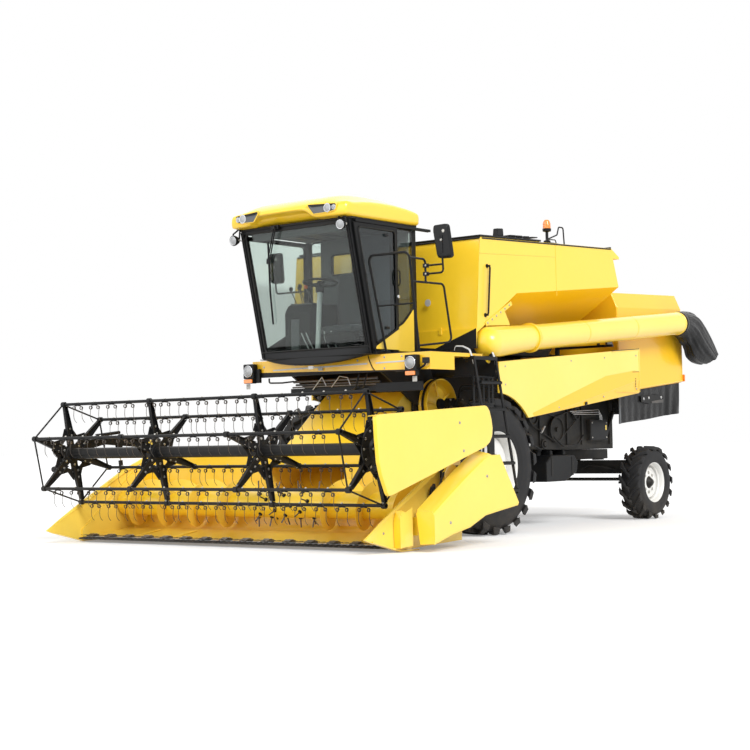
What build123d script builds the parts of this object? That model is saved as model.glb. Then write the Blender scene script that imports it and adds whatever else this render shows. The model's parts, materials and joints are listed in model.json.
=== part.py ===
from build123d import *
import os
from math import atan2, cos, degrees, radians, sin

os.makedirs("parts", exist_ok=True)

# Combine harvester with a grain header, in millimetres.
# +Z is up from the ground, -Y is forwards and +X is the machine's own left.
# Places are given as (x, behind, z): x to the left of the body's middle, behind the front
# axle, and up from the ground. A place ahead of the front axle has a negative "behind".

# ---------------------------------------------------------------- driving dimensions
front_axle_y = -970.0          # the front axle, ahead of the middle of the whole length
body_middle_x = 125.0          # the body's middle, left of the middle of the whole width
wheelbase = 3735.0
running_gap = 8.0              # between pieces that move past each other
hinge_gap = 12.0               # round a lid or a door
pin_gap = 1.0                  # radial play of a shaft in its bore
wall = 25.0                    # sheet walls with their folded ribs

# running gear
front_tyre_radius = 782.5
front_tyre_width = 467.0
front_rim_radius = 400.0
front_wheel_x = 1204.0         # middle of the tyre
rear_tyre_radius = 482.5
rear_tyre_width = 308.0
rear_rim_radius = 262.0
rear_wheel_x = 1220.0
rim_wall = 18.0
wheel_disc = 22.0
front_spindle_radius = 90.0
rear_spindle_radius = 45.0
rail_x, rail_width = 480.0, 90.0
rail_bottom, rail_top = 800.0, 930.0
rail_front = -350.0
rail_overhang = 215.0          # behind the rear axle
beam_low, beam_high = 600.0, 780.0
kingpin_x, kingpin_radius = 960.0, 32.0
arm_reach, arm_low = 190.0, 470.0
hitch_hole_radius = 17.0
hitch_plate = 30.0

# body
body_half = 640.0              # threshing body, between the front wheels
shoe_half = 900.0              # the wider cleaning shoe behind the front wheels
body_front, body_rear = -580.0, 3100.0
body_floor_front, body_floor_rear = 1010.0, 960.0
body_top_front, body_top_rear = 2060.0, 2110.0
shoe_front, shoe_rear = 1250.0, 3450.0
shoe_top_front, shoe_top_rear = 1560.0, 1650.0
shoe_floor = rail_top + 10
panel_x = 1420.0               # outer face of the side panels
panel_thickness = 30.0
panel_front, panel_rear = 33.0, 3306.0
panel_top_front, panel_top_rear = 1979.0, 2234.0
panel_low_front, panel_low_rear = 1334.0, 1655.0
panel_fold_depth = 24.0        # the lower facet leans in this much at its rear corner
pulley_place = (-220.0, 1510.0)
pulley_radius = 295.0

# grain tank
tank_half = 1380.0
tank_neck_half = 800.0
tank_front, tank_rear = -349.0, 2870.0
tank_bottom = 2122.0
tank_corner_foot = 2290.0      # where the side wall's lower edge starts at the front
tank_flare_front = (497.0, 2794.0)
tank_flare_rear = (2870.0, 3015.0)
tank_fold_front = (-262.0, 3201.0)
tank_rim_front = (-221.0, 3395.0)
tank_rim_rear = (2698.0, 3500.0)
tank_hopper_depth = 560.0
tank_cover_end = 1080.0        # the lids reach this far back
lid = 22.0

# straw hood
hood_half = 1220.0
hood_front, hood_rear = body_rear, 4850.0
hood_bottom_front, hood_bottom_rear = 1660.0, 1830.0
hood_shoulder, hood_shoulder_in = 200.0, 90.0
hood_top_front, hood_top_rear = 2975.0, 3035.0
curtain_wall = 8.0
engine_half, engine_length, engine_height = 420.0, 880.0, 560.0

# platform and cab
deck_z = 2050.0                # walkway and cab floor
deck_sheet, deck_skirt = 40.0, 190.0
deck_right, deck_left = -1080.0, 1500.0
deck_front, deck_rear = -1400.0, -410.0
cab_half = 800.0
cab_front_foot, cab_front_head = -1520.0, -1860.0
cab_rear = -680.0
cab_head_z = 3520.0            # underside of the roof
pillar = 55.0
glass_thickness = 12.0
door_gap, door_thickness = 6.0, 28.0
door_rear = -1060.0            # the sliding door's rear edge
door_travel = 620.0
door_post = 55.0
door_track = 36.0              # width of the channels that guide the door
roof_overhang = 60.0
rail_tube = 14.0

# unloading auger
tube_gap = 28.0                # between the straw hood and the tube
tube_radius = 152.0
tube_front = (690.0, 2276.0)
tube_rear = (4390.0, 2612.0)
swing_place = (-130.0, 2190.0)
elbow_swell, elbow_neck_radius = 31.0, 90.0
elbow_pipe_z = 1905.0

# header
header_right, header_left = -2597.0, 2013.0
header_sheet = 20.0
header_back = -1700.0
header_top = 950.0
knife_place = (-2724.0, 63.0)
knife_stroke = 76.0
section_pitch = 76.2
auger_place = (-2050.0, 430.0)
auger_flight_radius, auger_tube_radius, auger_shaft_radius = 275.0, 150.0, 35.0
flight_pitch = 480.0
feeder_half, feeder_wall = 560.0, 40.0
feeder_pivot = (-480.0, 1480.0)
feeder_shaft_radius = 40.0
divider_wall = 34.0
divider_tip = -3235.0
drive_cover_width = 300.0

# reel
reel_place = (-2925.0, 1023.0)
reel_radius = 574.0
reel_bars = 6
reel_phase = 12.5              # degrees from straight up to the first bar, forwards
reel_right, reel_left = -2527.0, 1943.0
reel_tube_radius, reel_shaft_radius = 62.0, 28.0
tine_bar_radius = 17.0
spider_places = (-2515.0, -1110.0, 445.0, 1930.0)
spider_sheet = 12.0
arm_pivot = (-1640.0, 1120.0)
arm_pin_radius = 22.0
arm_width = 40.0
arm_gap = 15.0                 # between an arm and the header's end
shield_offset = 417.0          # from the header's left end out to the shield

# hydraulic cylinders: foot on the carrier, eye on what it lifts
lift_foot, lift_eye, lift_x = (-175.0, 535.0), (-1380.0, 455.0), 400.0
reel_foot, reel_eye = (-2000.0, 640.0), (-2060.0, 1075.0)
lift_pin_radius, reel_pin_radius = 18.0, 9.0
lug_sheet = 15.0

# ---------------------------------------------------------------- sizes worked out from these
hands = (("left", 1), ("right", -1))
rail_rear = wheelbase + rail_overhang
axle_half = front_wheel_x - front_tyre_width / 2 - 60
panel_inner = panel_x - panel_thickness
feeder_wall_half = feeder_half + feeder_wall
feeder_front = header_back + 60
arm_left_x = header_left + divider_wall + arm_gap + arm_width / 2
arm_right_x = header_right - divider_wall - arm_gap - arm_width / 2
drive_cover_x = header_left + divider_wall + 70
door_inner = cab_half + door_gap
door_outer = door_inner + door_thickness
door_middle = door_inner + door_thickness / 2
trough_radius = auger_flight_radius + 25
shield_x = header_left + shield_offset
tube_x = hood_half + tube_gap + tube_radius
elbow_radius = tube_radius + elbow_swell


# ---------------------------------------------------------------- shared helpers
def at(x, behind, z):
    """A point at this distance behind the front axle."""
    return Vector(body_middle_x + x, front_axle_y + behind, z)


def side(x):
    """The plane of a side view at x: local X runs backwards, local Y up, normal +X."""
    return Plane(origin=at(x, 0, 0), x_dir=(0, 1, 0), z_dir=(1, 0, 0))


def front(behind):
    """The plane of a front view: local X to the left, local Y up, normal forwards."""
    return Plane(origin=at(0, behind, 0), x_dir=(1, 0, 0), z_dir=(0, -1, 0))


def level(z):
    """The plane of a plan view: local X to the left, local Y backwards, normal up."""
    return Plane(origin=at(0, 0, z))


def across(x, behind, z):
    """The plane of a section that turns about the X axis: local X along it, local Y up."""
    return Plane(origin=at(x, behind, z), x_dir=(1, 0, 0), z_dir=(0, -1, 0))


def sheet(plane, outline, thickness, mode=Mode.ADD):
    """A flat piece with this outline, extruded along the plane's normal."""
    with BuildSketch(plane) as section:
        with BuildLine():
            Polyline(*outline, close=True)
        make_face()
    extrude(section.sketch, amount=thickness, mode=mode)


def block(low, high, mode=Mode.ADD):
    """A box between two corners (x, behind, z)."""
    with Locations(at(*[(a + b) / 2 for a, b in zip(low, high)])):
        Box(*[abs(b - a) for a, b in zip(low, high)], mode=mode)


def rod(start, end, radius, mode=Mode.ADD):
    """A round bar between two points."""
    with BuildSketch(Plane(origin=start, z_dir=end - start)) as section:
        Circle(radius)
    extrude(section.sketch, amount=(end - start).length, mode=mode)


def cross_pin(place, x_from, x_to, radius, mode=Mode.ADD):
    """A round bar along the X axis at one (behind, z) place."""
    rod(at(min(x_from, x_to), *place), at(max(x_from, x_to), *place), radius, mode)


def bent_tube(points, radius, bend):
    """A round tube along straight runs joined by tangent bends."""
    with BuildLine() as path:
        FilletPolyline(*points, radius=bend)
    with BuildSketch(Plane(origin=path.line @ 0, z_dir=path.line % 0)) as section:
        Circle(radius)
    sweep(section.sketch, path=path.line)


def turn(plane, outline, mode=Mode.ADD):
    """A ring: this outline (along, out) turned about the plane's local X axis."""
    with BuildSketch(plane) as section:
        with BuildLine():
            Polyline(*outline, close=True)
        make_face()
    revolve(section.sketch, axis=Axis(plane.origin, plane.x_dir), mode=mode)


def line_z(start, end, behind):
    """Height at one place of the straight line between two (behind, z) points."""
    share = (behind - start[0]) / (end[0] - start[0])
    return start[1] + share * (end[1] - start[1])


def mirrored(low, high, way):
    """Two X values ordered for the left (1) or the right (-1) side."""
    return (low, high) if way > 0 else (-high, -low)


# ---------------------------------------------------------------- wheels
def tyre_outline(radius, width, rim):
    """A tyre's section: (along the axle, out from the axle)."""
    half = width / 2
    height = radius - rim
    side_points = [
        (half * 0.86, rim),
        (half * 0.98, rim + height * 0.28),
        (half, rim + height * 0.55),
        (half * 0.94, rim + height * 0.86),
        (half * 0.72, radius),
    ]
    return side_points + [(-x, r) for x, r in reversed(side_points)]


def rim_outline(half, rim, disc_at, bore, hub_in, hub_out):
    """A wheel's barrel, disc and hub with its bore, as one section."""
    inner = rim - rim_wall
    hub = bore + 35
    return [
        (-half, inner), (-half, rim), (half, rim), (half, inner),
        (disc_at + wheel_disc, inner), (disc_at + wheel_disc, hub),
        (hub_out, hub), (hub_out, bore), (hub_in, bore), (hub_in, hub), (disc_at, hub), (disc_at, inner),
    ]


wheel_bolts = 8
# columns: end of the machine, axle place behind, tyre radius, width, rim radius,
# middle of the tyre, disc place out from the middle, spindle radius
wheel_table = [
    ("front", 0.0, front_tyre_radius, front_tyre_width, front_rim_radius,
     front_wheel_x, 60.0, front_spindle_radius),
    ("rear", wheelbase, rear_tyre_radius, rear_tyre_width, rear_rim_radius,
     rear_wheel_x, 20.0, rear_spindle_radius),
]
for end, behind, radius, width, rim, wheel_x, disc_at, spindle in wheel_table:
    for hand, way in hands:
        wheel_plane = Plane(origin=at(way * wheel_x, behind, radius), x_dir=(way, 0, 0), z_dir=(0, -way, 0))
        with BuildPart() as tyre:
            turn(wheel_plane, tyre_outline(radius, width, rim))
        tyre.part.label = f"{end}_tyre_{hand}"
        export_step(tyre.part, f"parts/{end}_tyre_{hand}.step")

        with BuildPart() as wheel_rim:
            bore = spindle + pin_gap
            turn(wheel_plane, rim_outline(width * 0.42, rim, disc_at, bore, disc_at - 70, disc_at + 60))
            for step in range(wheel_bolts):
                angle = radians(360 * step / wheel_bolts)
                bolt = wheel_plane.origin + Vector(0, cos(angle), sin(angle)) * (bore + 75)
                face = disc_at + wheel_disc
                rod(bolt + wheel_plane.x_dir * (face - 1), bolt + wheel_plane.x_dir * (face + 14), 14)
        wheel_rim.part.label = f"{end}_rim_{hand}"
        export_step(wheel_rim.part, f"parts/{end}_rim_{hand}.step")


# ---------------------------------------------------------------- chassis
def body_floor(behind):
    """Height of the threshing body's underside at one place."""
    if behind > shoe_front:
        return shoe_floor
    return line_z((body_front, body_floor_front), (shoe_front, body_floor_rear), behind)


with BuildPart() as chassis_frame:
    for _, way in hands:
        low_x, high_x = mirrored(rail_x - rail_width / 2, rail_x + rail_width / 2, way)
        block((low_x, rail_front, rail_bottom), (high_x, rail_rear, rail_top))
        for post in (-300.0, 900.0, 2300.0):
            block((low_x, post, rail_top - 5), (high_x, post + 120, body_floor(post + 120)))
    for cross in (rail_front + 50, 900.0, 2200.0, wheelbase, rail_rear - 50):
        block((-rail_x, cross - 45, rail_bottom), (rail_x, cross + 45, rail_top))
    with BuildSketch(level(rail_bottom)) as hitch_section:
        with Locations((0, rail_rear + 40)):
            RectangleRounded(160, 260, 40)
        with Locations((0, rail_rear + 110)):
            Circle(hitch_hole_radius, mode=Mode.SUBTRACT)
    extrude(hitch_section.sketch, amount=hitch_plate)
chassis_frame.part.label = "chassis_frame"
export_step(chassis_frame.part, "parts/chassis_frame.step")

axle_low = rail_bottom - 200
lift_lug_x = 50.0              # clear of the lift barrel's eye on each side
with BuildPart() as front_axle:
    block((-axle_half, -95, axle_low), (axle_half, 95, rail_bottom))
    for _, way in hands:
        hub = at(way * (axle_half - 40), 0, front_tyre_radius)
        rod(hub, hub + Vector(way * 120, 0, 0), 210)
        rod(hub, at(way * (front_wheel_x + 105), 0, front_tyre_radius), front_spindle_radius)
        block((way * (axle_half - 160), -80, axle_low + 10),
              (way * (axle_half - 30), 80, front_tyre_radius + 60))
        for lug_side in (1, -1):
            lug_x = way * lift_x + (lift_lug_x if lug_side > 0 else -lift_lug_x - lug_sheet)
            sheet(side(lug_x), [
                (-40, axle_low + 5), (-90, axle_low + 90), (lift_foot[0] - 45, lift_foot[1] + 40),
                (lift_foot[0] - 45, lift_foot[1] - 40), (lift_foot[0] + 40, lift_foot[1] - 45)], lug_sheet)
        cross_pin(lift_foot, way * lift_x - lift_lug_x, way * lift_x + lift_lug_x, lift_pin_radius)
front_axle.part.label = "front_axle"
export_step(front_axle.part, "parts/front_axle.step")

beam_end = kingpin_x + 60
with BuildPart() as rear_axle:
    block((-beam_end, wheelbase - 85, beam_low), (beam_end, wheelbase + 85, beam_high))
    block((-190, wheelbase - 60, beam_high - 5), (190, wheelbase + 60, rail_bottom))
    for _, way in hands:
        rod(at(way * kingpin_x, wheelbase, beam_low - 10), at(way * kingpin_x, wheelbase, beam_high + 10),
            kingpin_radius + pin_gap, mode=Mode.SUBTRACT)
rear_axle.part.label = "rear_axle"
export_step(rear_axle.part, "parts/rear_axle.step")

# The knuckles carry the rear spindles and turn on kingpins through the beam's ends.
for hand, way in hands:
    with BuildPart() as knuckle:
        pin_x = way * kingpin_x
        rod(at(pin_x, wheelbase, arm_low), at(pin_x, wheelbase, beam_high + 40), kingpin_radius)
        rod(at(pin_x, wheelbase, rear_tyre_radius - 75), at(pin_x, wheelbase, beam_low - running_gap), 62)
        rod(at(pin_x, wheelbase, beam_high + running_gap), at(pin_x, wheelbase, beam_high + 40), 55)
        rod(at(pin_x, wheelbase, rear_tyre_radius),
            at(way * (rear_wheel_x + 70), wheelbase, rear_tyre_radius), rear_spindle_radius)
        block((pin_x - 30, wheelbase - arm_reach - 30, arm_low), (pin_x + 30, wheelbase, arm_low + 30))
    knuckle.part.label = f"rear_knuckle_{hand}"
    export_step(knuckle.part, f"parts/rear_knuckle_{hand}.step")

tie_rod_radius = 22.0
tie_rod_z = arm_low + 30 + running_gap + tie_rod_radius
with BuildPart() as tie_rod:
    rod(at(-kingpin_x + 20, wheelbase - arm_reach, tie_rod_z),
        at(kingpin_x - 20, wheelbase - arm_reach, tie_rod_z), tie_rod_radius)
tie_rod.part.label = "tie_rod"
export_step(tie_rod.part, "parts/tie_rod.step")


# ---------------------------------------------------------------- threshing body
def body_outline(inset, past):
    """The threshing body's side view, drawn in by the inset, its open ends longer by past."""
    return [
        (body_front - past, body_floor_front + inset), (body_front - past, 1640),
        (body_front + 80 + inset, 1640), (body_front + 200 + inset, body_top_front - inset),
        (body_rear + past, body_top_rear - inset), (body_rear + past, 1200),
        (shoe_front, body_floor_rear + inset),
    ]


def shoe_outline(inset, past):
    """The cleaning shoe's side view behind the front wheels, drawn in by the inset."""
    return [
        (shoe_front + inset, body_floor_rear + inset), (shoe_front + inset, shoe_top_front - inset),
        (shoe_rear + past, shoe_top_rear - inset), (shoe_rear + past, shoe_floor + inset),
        (2500, shoe_floor + inset),
    ]


bracket = 40.0
tube_rest_behind = 2560.0
beam_x, beam_half, beam_rise = 350.0, 40.0, 80.0
with BuildPart() as threshing_body:
    sheet(side(-body_half), body_outline(0, 0), 2 * body_half)
    sheet(side(-shoe_half), shoe_outline(0, 0), 2 * shoe_half)
    sheet(side(-body_half + wall), body_outline(wall, 10), 2 * (body_half - wall), mode=Mode.SUBTRACT)
    sheet(side(-shoe_half + wall), shoe_outline(wall, 10), 2 * (shoe_half - wall), mode=Mode.SUBTRACT)
    cross_pin(feeder_pivot, -body_half + 5, body_half - 5, feeder_shaft_radius)
    for _, way in hands:
        # brackets that hold the side panels at their hinge edge
        for behind, z in ((100.0, 1900.0), (1500.0, 2010.0)):
            low_x, high_x = mirrored(body_half - 5, panel_inner - running_gap, way)
            block((low_x, behind, z), (high_x, behind + bracket, z + bracket))
        # beams under the engine
        block((way * beam_x - beam_half, 2700, body_top_front),
              (way * beam_x + beam_half, hood_front + 1000, body_top_rear + beam_rise))
    # control box on the left side of the shoe
    block((shoe_half - 5, 2780, 1050), (shoe_half + 60, 3220, 1320))
    # arm and cheek that the unloading tube rests against
    rest_z = line_z(tube_front, tube_rear, tube_rest_behind) - tube_radius - 30
    block((body_half - 50, tube_rest_behind, body_top_front), (body_half, tube_rest_behind + bracket, rest_z))
    block((body_half - 50, tube_rest_behind, rest_z - 30), (tube_x + 40, tube_rest_behind + bracket, rest_z))
    block((tube_x - tube_radius - 26, tube_rest_behind, rest_z - 5),
          (tube_x - tube_radius - 8, tube_rest_behind + bracket, rest_z + 150))
threshing_body.part.label = "threshing_body"
export_step(threshing_body.part, "parts/threshing_body.step")

tank_box_front, tank_box_rear, tank_box_top = 1650.0, 2400.0, 880.0
with BuildPart() as fuel_tanks:
    for _, way in hands:
        low_x, high_x = mirrored(rail_x + rail_width / 2 + 30, shoe_half + 100, way)
        sheet(side(low_x), [
            (tank_box_front, 550), (tank_box_front, 790), (tank_box_front + 120, tank_box_top),
            (tank_box_rear - 90, tank_box_top), (tank_box_rear, 790), (tank_box_rear - 30, 655),
            (tank_box_rear - 280, 550)], high_x - low_x)
        for strap in (tank_box_front + 200, tank_box_rear - 250):
            block((low_x + 60, strap, tank_box_top - 10), (high_x - 60, strap + 50, body_floor_rear - 20))
fuel_tanks.part.label = "fuel_tanks"
export_step(fuel_tanks.part, "parts/fuel_tanks.step")

with BuildPart() as drive_pulley:
    rim_in = pulley_radius - 20
    turn(across(body_half, *pulley_place),
         [(0, 0), (0, 45), (20, 60), (20, 75), (65, 90), (40, rim_in - 10), (40, pulley_radius),
          (105, pulley_radius), (105, rim_in), (80, rim_in - 20), (90, 90), (150, 60), (150, 0)])
drive_pulley.part.label = "drive_pulley"
export_step(drive_pulley.part, "parts/drive_pulley.step")

# The lower part of each side panel folds in below a line that starts at its lower edge.
arch_radius = front_tyre_radius + 55
fold_start, fold_rear_z = (1150.0, 1400.0), 1830.0
for hand, way in hands:
    with BuildPart() as side_panel:
        low_x, high_x = mirrored(panel_inner, panel_x, way)
        sheet(side(low_x), [
            (panel_front, panel_top_front), (panel_front, panel_low_front + 66), (620, panel_low_front),
            (panel_rear, panel_low_rear), (panel_rear, panel_top_rear)], panel_thickness)
        cross_pin((0, front_tyre_radius), low_x - 5, high_x + 5, arch_radius, mode=Mode.SUBTRACT)
        fold_line = at(way * panel_x, panel_rear, fold_rear_z) - at(way * panel_x, *fold_start)
        to_corner = (at(way * (panel_x - panel_fold_depth), panel_rear, panel_low_rear)
                     - at(way * panel_x, *fold_start))
        outward = fold_line.cross(to_corner) * -way
        split(bisect_by=Plane(origin=at(way * panel_x, *fold_start), z_dir=outward), keep=Keep.BOTTOM)
    side_panel.part.label = f"side_panel_{hand}"
    export_step(side_panel.part, f"parts/side_panel_{hand}.step")

# ---------------------------------------------------------------- engine and hood
engine_front = hood_front + wall + 60
engine_low = body_top_rear + beam_rise
with BuildPart() as engine:
    block((-engine_half, engine_front, engine_low),
          (engine_half, engine_front + engine_length, engine_low + engine_height))
engine.part.label = "engine"
export_step(engine.part, "parts/engine.step")


def hood_section(inset):
    """The hood's front view, drawn in from the outside."""
    half = hood_half - inset
    top = hood_top_front
    return [(-half, 1500), (-half, top - hood_shoulder), (-half + hood_shoulder_in, top - inset),
            (half - hood_shoulder_in, top - inset), (half, top - hood_shoulder), (half, 1500)]


hood_rise = hood_top_rear - hood_top_front
with BuildPart() as straw_hood:
    # the hood's section runs backwards and rises a little to the rear
    for inset, length, mode in ((0.0, hood_rear - hood_front, Mode.ADD),
                                (wall, hood_rear - hood_front - 2 * wall, Mode.SUBTRACT)):
        with BuildSketch(front(hood_front + inset)) as hood_face:
            with BuildLine():
                Polyline(*hood_section(inset), close=True)
            make_face()
        slope = hood_rise / (hood_rear - hood_front)
        extrude(hood_face.sketch, amount=length, dir=(0, 1, slope), mode=mode)
    sheet(side(-hood_half - 5), [(hood_front - 5, 1400), (hood_front - 5, hood_bottom_front),
                                 (hood_rear + 5, hood_bottom_rear), (hood_rear + 5, 1400)],
          2 * hood_half + 10, mode=Mode.SUBTRACT)
    block((-body_half + wall, hood_front - 5, 1600),
          (body_half - wall, hood_front + wall + 5, body_top_rear - wall), mode=Mode.SUBTRACT)
    for _, way in hands:
        block((way * beam_x - beam_half - 2, hood_front - 5, body_top_front),
              (way * beam_x + beam_half + 2, hood_front + wall + 5, engine_low + 2), mode=Mode.SUBTRACT)
        low_x, high_x = mirrored(hood_half - 5, panel_inner - running_gap, way)
        block((low_x, hood_front + 50, 2120), (high_x, hood_front + 50 + bracket, 2120 + bracket))
straw_hood.part.label = "straw_hood"
export_step(straw_hood.part, "parts/straw_hood.step")

curtain_x = hood_half - wall - 3
with BuildPart() as rear_curtain:
    for _, way in hands:
        low_x, high_x = mirrored(curtain_x - curtain_wall, curtain_x, way)
        sheet(side(low_x), [(hood_front + 30, 1254), (hood_front + 30, hood_bottom_front + 100),
                            (hood_rear - 60, hood_bottom_rear + 100), (hood_rear - 60, 1397)], curtain_wall)
    block((-curtain_x + 20, hood_rear - wall - curtain_wall - 2, 1400),
          (curtain_x - 20, hood_rear - wall - 2, hood_bottom_rear + 100))
rear_curtain.part.label = "rear_curtain"
export_step(rear_curtain.part, "parts/rear_curtain.step")

# ---------------------------------------------------------------- grain tank
flare_rise = atan2(tank_flare_rear[1] - tank_flare_front[1], tank_flare_rear[0] - tank_flare_front[0])
above_tank = tank_rim_rear[1] + 400


def rim_z(behind):
    """Height of the tank's rim at one place."""
    return line_z(tank_rim_front, tank_rim_rear, behind)


def tank_side(inset, lift):
    """The tank's side view, drawn in by the inset, its open top raised by the lift."""
    return [(tank_front + inset, tank_bottom + inset), (tank_fold_front[0] + inset, tank_fold_front[1]),
            (tank_rim_front[0] + inset, tank_rim_front[1] + lift),
            (tank_rim_rear[0] - inset, tank_rim_rear[1] + lift),
            (tank_rear - inset, tank_flare_rear[1]),
            (tank_rear - 220 - inset, tank_bottom + tank_hopper_depth + inset),
            (tank_rear - 820 - inset, tank_bottom + inset)]


def tank_front_view(inset):
    """The tank's front view at its front end: upright walls over a narrowing hopper."""
    flare = line_z(tank_flare_front, tank_flare_rear, tank_front)
    half, neck = tank_half - inset, tank_neck_half - inset
    narrow = flare - tank_hopper_depth + inset / 2
    return [(-neck, tank_bottom - 400), (-neck, narrow), (-half, flare + inset / 2), (-half, above_tank),
            (half, above_tank), (half, flare + inset / 2), (neck, narrow), (neck, tank_bottom - 400)]


tank_shapes = {}
for name, inset, lift in (("outer", 0.0, 0.0), ("inner", wall, 60.0)):
    with BuildPart() as tank_cross:
        with BuildSketch(front(tank_front)) as cross_section:
            with BuildLine():
                Polyline(*tank_front_view(inset), close=True)
            make_face()
        extrude(cross_section.sketch, amount=tank_rear - tank_front + 400,
                dir=(0, cos(flare_rise), sin(flare_rise)))
        # ahead of the flare the walls stay upright down to a sloping edge
        sheet(side(-tank_half + inset), [
            (tank_front - 10, tank_bottom - 400), (tank_front - 10, above_tank),
            (tank_flare_front[0] + 100, above_tank),
            (tank_flare_front[0] - inset, tank_flare_front[1] + inset),
            (tank_front + inset, tank_corner_foot + inset)], 2 * (tank_half - inset))
    with BuildPart() as tank_shape:
        sheet(side(-tank_half + inset), tank_side(inset, lift), 2 * (tank_half - inset))
        add(tank_cross.part, mode=Mode.INTERSECT)
    tank_shapes[name] = tank_shape.part

with BuildPart() as grain_tank:
    add(tank_shapes["outer"])
    add(tank_shapes["inner"], mode=Mode.SUBTRACT)
    # roof behind the lids, and the front wall below the corner panels
    roof_low = rim_z(tank_cover_end) - 70
    block((-tank_half, tank_cover_end + 20, roof_low), (tank_half, tank_rim_rear[0] + 200, above_tank - 100))
    block((-tank_half, tank_front + 2, tank_bottom), (tank_half, tank_front + 22, tank_corner_foot + 60))
    sheet(side(-tank_half - 5), [(tank_cover_end, rim_z(tank_cover_end)), tank_rim_rear,
                                 (tank_rim_rear[0] + 400, tank_rim_rear[1] - 200),
                                 (tank_rim_rear[0] + 400, above_tank), (tank_cover_end, above_tank)],
          2 * tank_half + 10, mode=Mode.SUBTRACT)
grain_tank.part.label = "grain_tank"
export_step(grain_tank.part, "parts/grain_tank.step")

# The two lids meet over the middle and hinge on the long edges.
lid_front, lid_rear = tank_rim_front[0] + 10, tank_cover_end - hinge_gap
for hand, way in hands:
    with BuildPart() as tank_cover:
        low_x, high_x = mirrored(hinge_gap / 2, tank_half - 10, way)
        low_front, low_rear = rim_z(lid_front) + running_gap, rim_z(lid_rear) + running_gap
        sheet(side(low_x), [(lid_front, low_front), (lid_rear, low_rear),
                            (lid_rear, low_rear + lid), (lid_front, low_front + lid)], high_x - low_x)
    tank_cover.part.label = f"tank_cover_{hand}"
    export_step(tank_cover.part, f"parts/tank_cover_{hand}.step")

# ---------------------------------------------------------------- unloading auger
elbow_split = swing_place[1] - elbow_radius + 30
swing_behind = swing_place[0]
with BuildPart() as auger_elbow:
    elbow_corner = at(tube_x, swing_behind, elbow_pipe_z)
    rod(at(body_half, swing_behind, elbow_pipe_z), elbow_corner, elbow_neck_radius)
    with Locations(elbow_corner):
        Sphere(elbow_neck_radius)
    rod(elbow_corner, at(tube_x, swing_behind, elbow_split - running_gap), elbow_neck_radius)
auger_elbow.part.label = "auger_elbow"
export_step(auger_elbow.part, "parts/auger_elbow.step")

collar = 30.0
with BuildPart() as unloading_tube:
    elbow_centre = at(tube_x, *swing_place)
    tube_start, tube_end = at(tube_x, *tube_front), at(tube_x, *tube_rear)
    tube_way = (tube_end - tube_start).normalized()
    with Locations(elbow_centre):
        Sphere(elbow_radius)
    with BuildSketch(Plane(origin=elbow_centre, z_dir=(0, 1, 0))) as wide_end:
        Circle(elbow_radius)
    with BuildSketch(Plane(origin=tube_start, z_dir=tube_way)) as narrow_end:
        Circle(tube_radius)
    loft([wide_end.sketch, narrow_end.sketch])
    rod(tube_start, tube_end, tube_radius)
    rod(tube_start, tube_start + tube_way * collar, tube_radius + 22)
    block((tube_x - 300, swing_behind - 300, swing_place[1] - 300),
          (tube_x + 300, swing_behind + 300, elbow_split), mode=Mode.SUBTRACT)
unloading_tube.part.label = "unloading_tube"
export_step(unloading_tube.part, "parts/unloading_tube.step")

with BuildPart() as spout_sock:
    end_behind, end_z = tube_rear
    sheet(side(tube_x - tube_radius + 2), [
        (end_behind + 25, end_z - 150), (end_behind + 12, end_z + 150), (end_behind + 500, end_z + 165),
        (end_behind + 1080, end_z - 382), (end_behind + 680, end_z - 552), (end_behind + 300, end_z - 262)],
        2 * tube_radius - 4)
spout_sock.part.label = "spout_sock"
export_step(spout_sock.part, "parts/spout_sock.step")

# ---------------------------------------------------------------- platform and cab
with BuildPart() as platform:
    block((deck_right, deck_front, deck_z - deck_sheet), (deck_left, deck_rear, deck_z))
    block((deck_right, deck_front, deck_z - deck_skirt), (deck_left, deck_front + 60, deck_z))
    block((deck_left - 60, deck_front, deck_z - deck_skirt), (deck_left, -950, deck_z))
    # bracket for the right headlamp, and the brackets down to the body's sides
    block((-1160, deck_front, 1920), (deck_right + 5, deck_front + 40, 1980))
    for low_x in (body_half, -body_half - 30):
        sheet(side(low_x), [
            (deck_front + 60, deck_z - 35), (deck_front + 60, deck_z - 90), (body_front + 20, 1500),
            (body_front + 180, 1500), (deck_rear, deck_z - 35)], 30)
platform.part.label = "platform"
export_step(platform.part, "parts/platform.step")


def pillar_line(z):
    """The windscreen pillar leans forwards: its place behind the axle at a height."""
    return line_z((deck_z, cab_front_foot), (cab_head_z, cab_front_head), z)


head_front, foot_front = pillar_line(cab_head_z), pillar_line(deck_z)
rear_sill = deck_z + 650
door_low, door_high = deck_z + 50, cab_head_z - 46
window_low, window_high = door_low + 60, door_high - 45
window_rear = cab_rear - 55
window_knee, window_rear_z = (cab_rear - 250, deck_z + 370), deck_z + 550
window_toe = (pillar_line(window_low) + 75, window_low)
window_head = (pillar_line(window_high) + 75, window_high)
post_front, post_rear = door_rear - 50, door_rear - 50 + door_post
track_rear = door_rear + door_travel
tab_half, door_play = 4.0, 5.0


def window_floor(behind):
    """Height of the side windows' slanting lower edge."""
    return line_z(window_toe, window_knee, behind)


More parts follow.
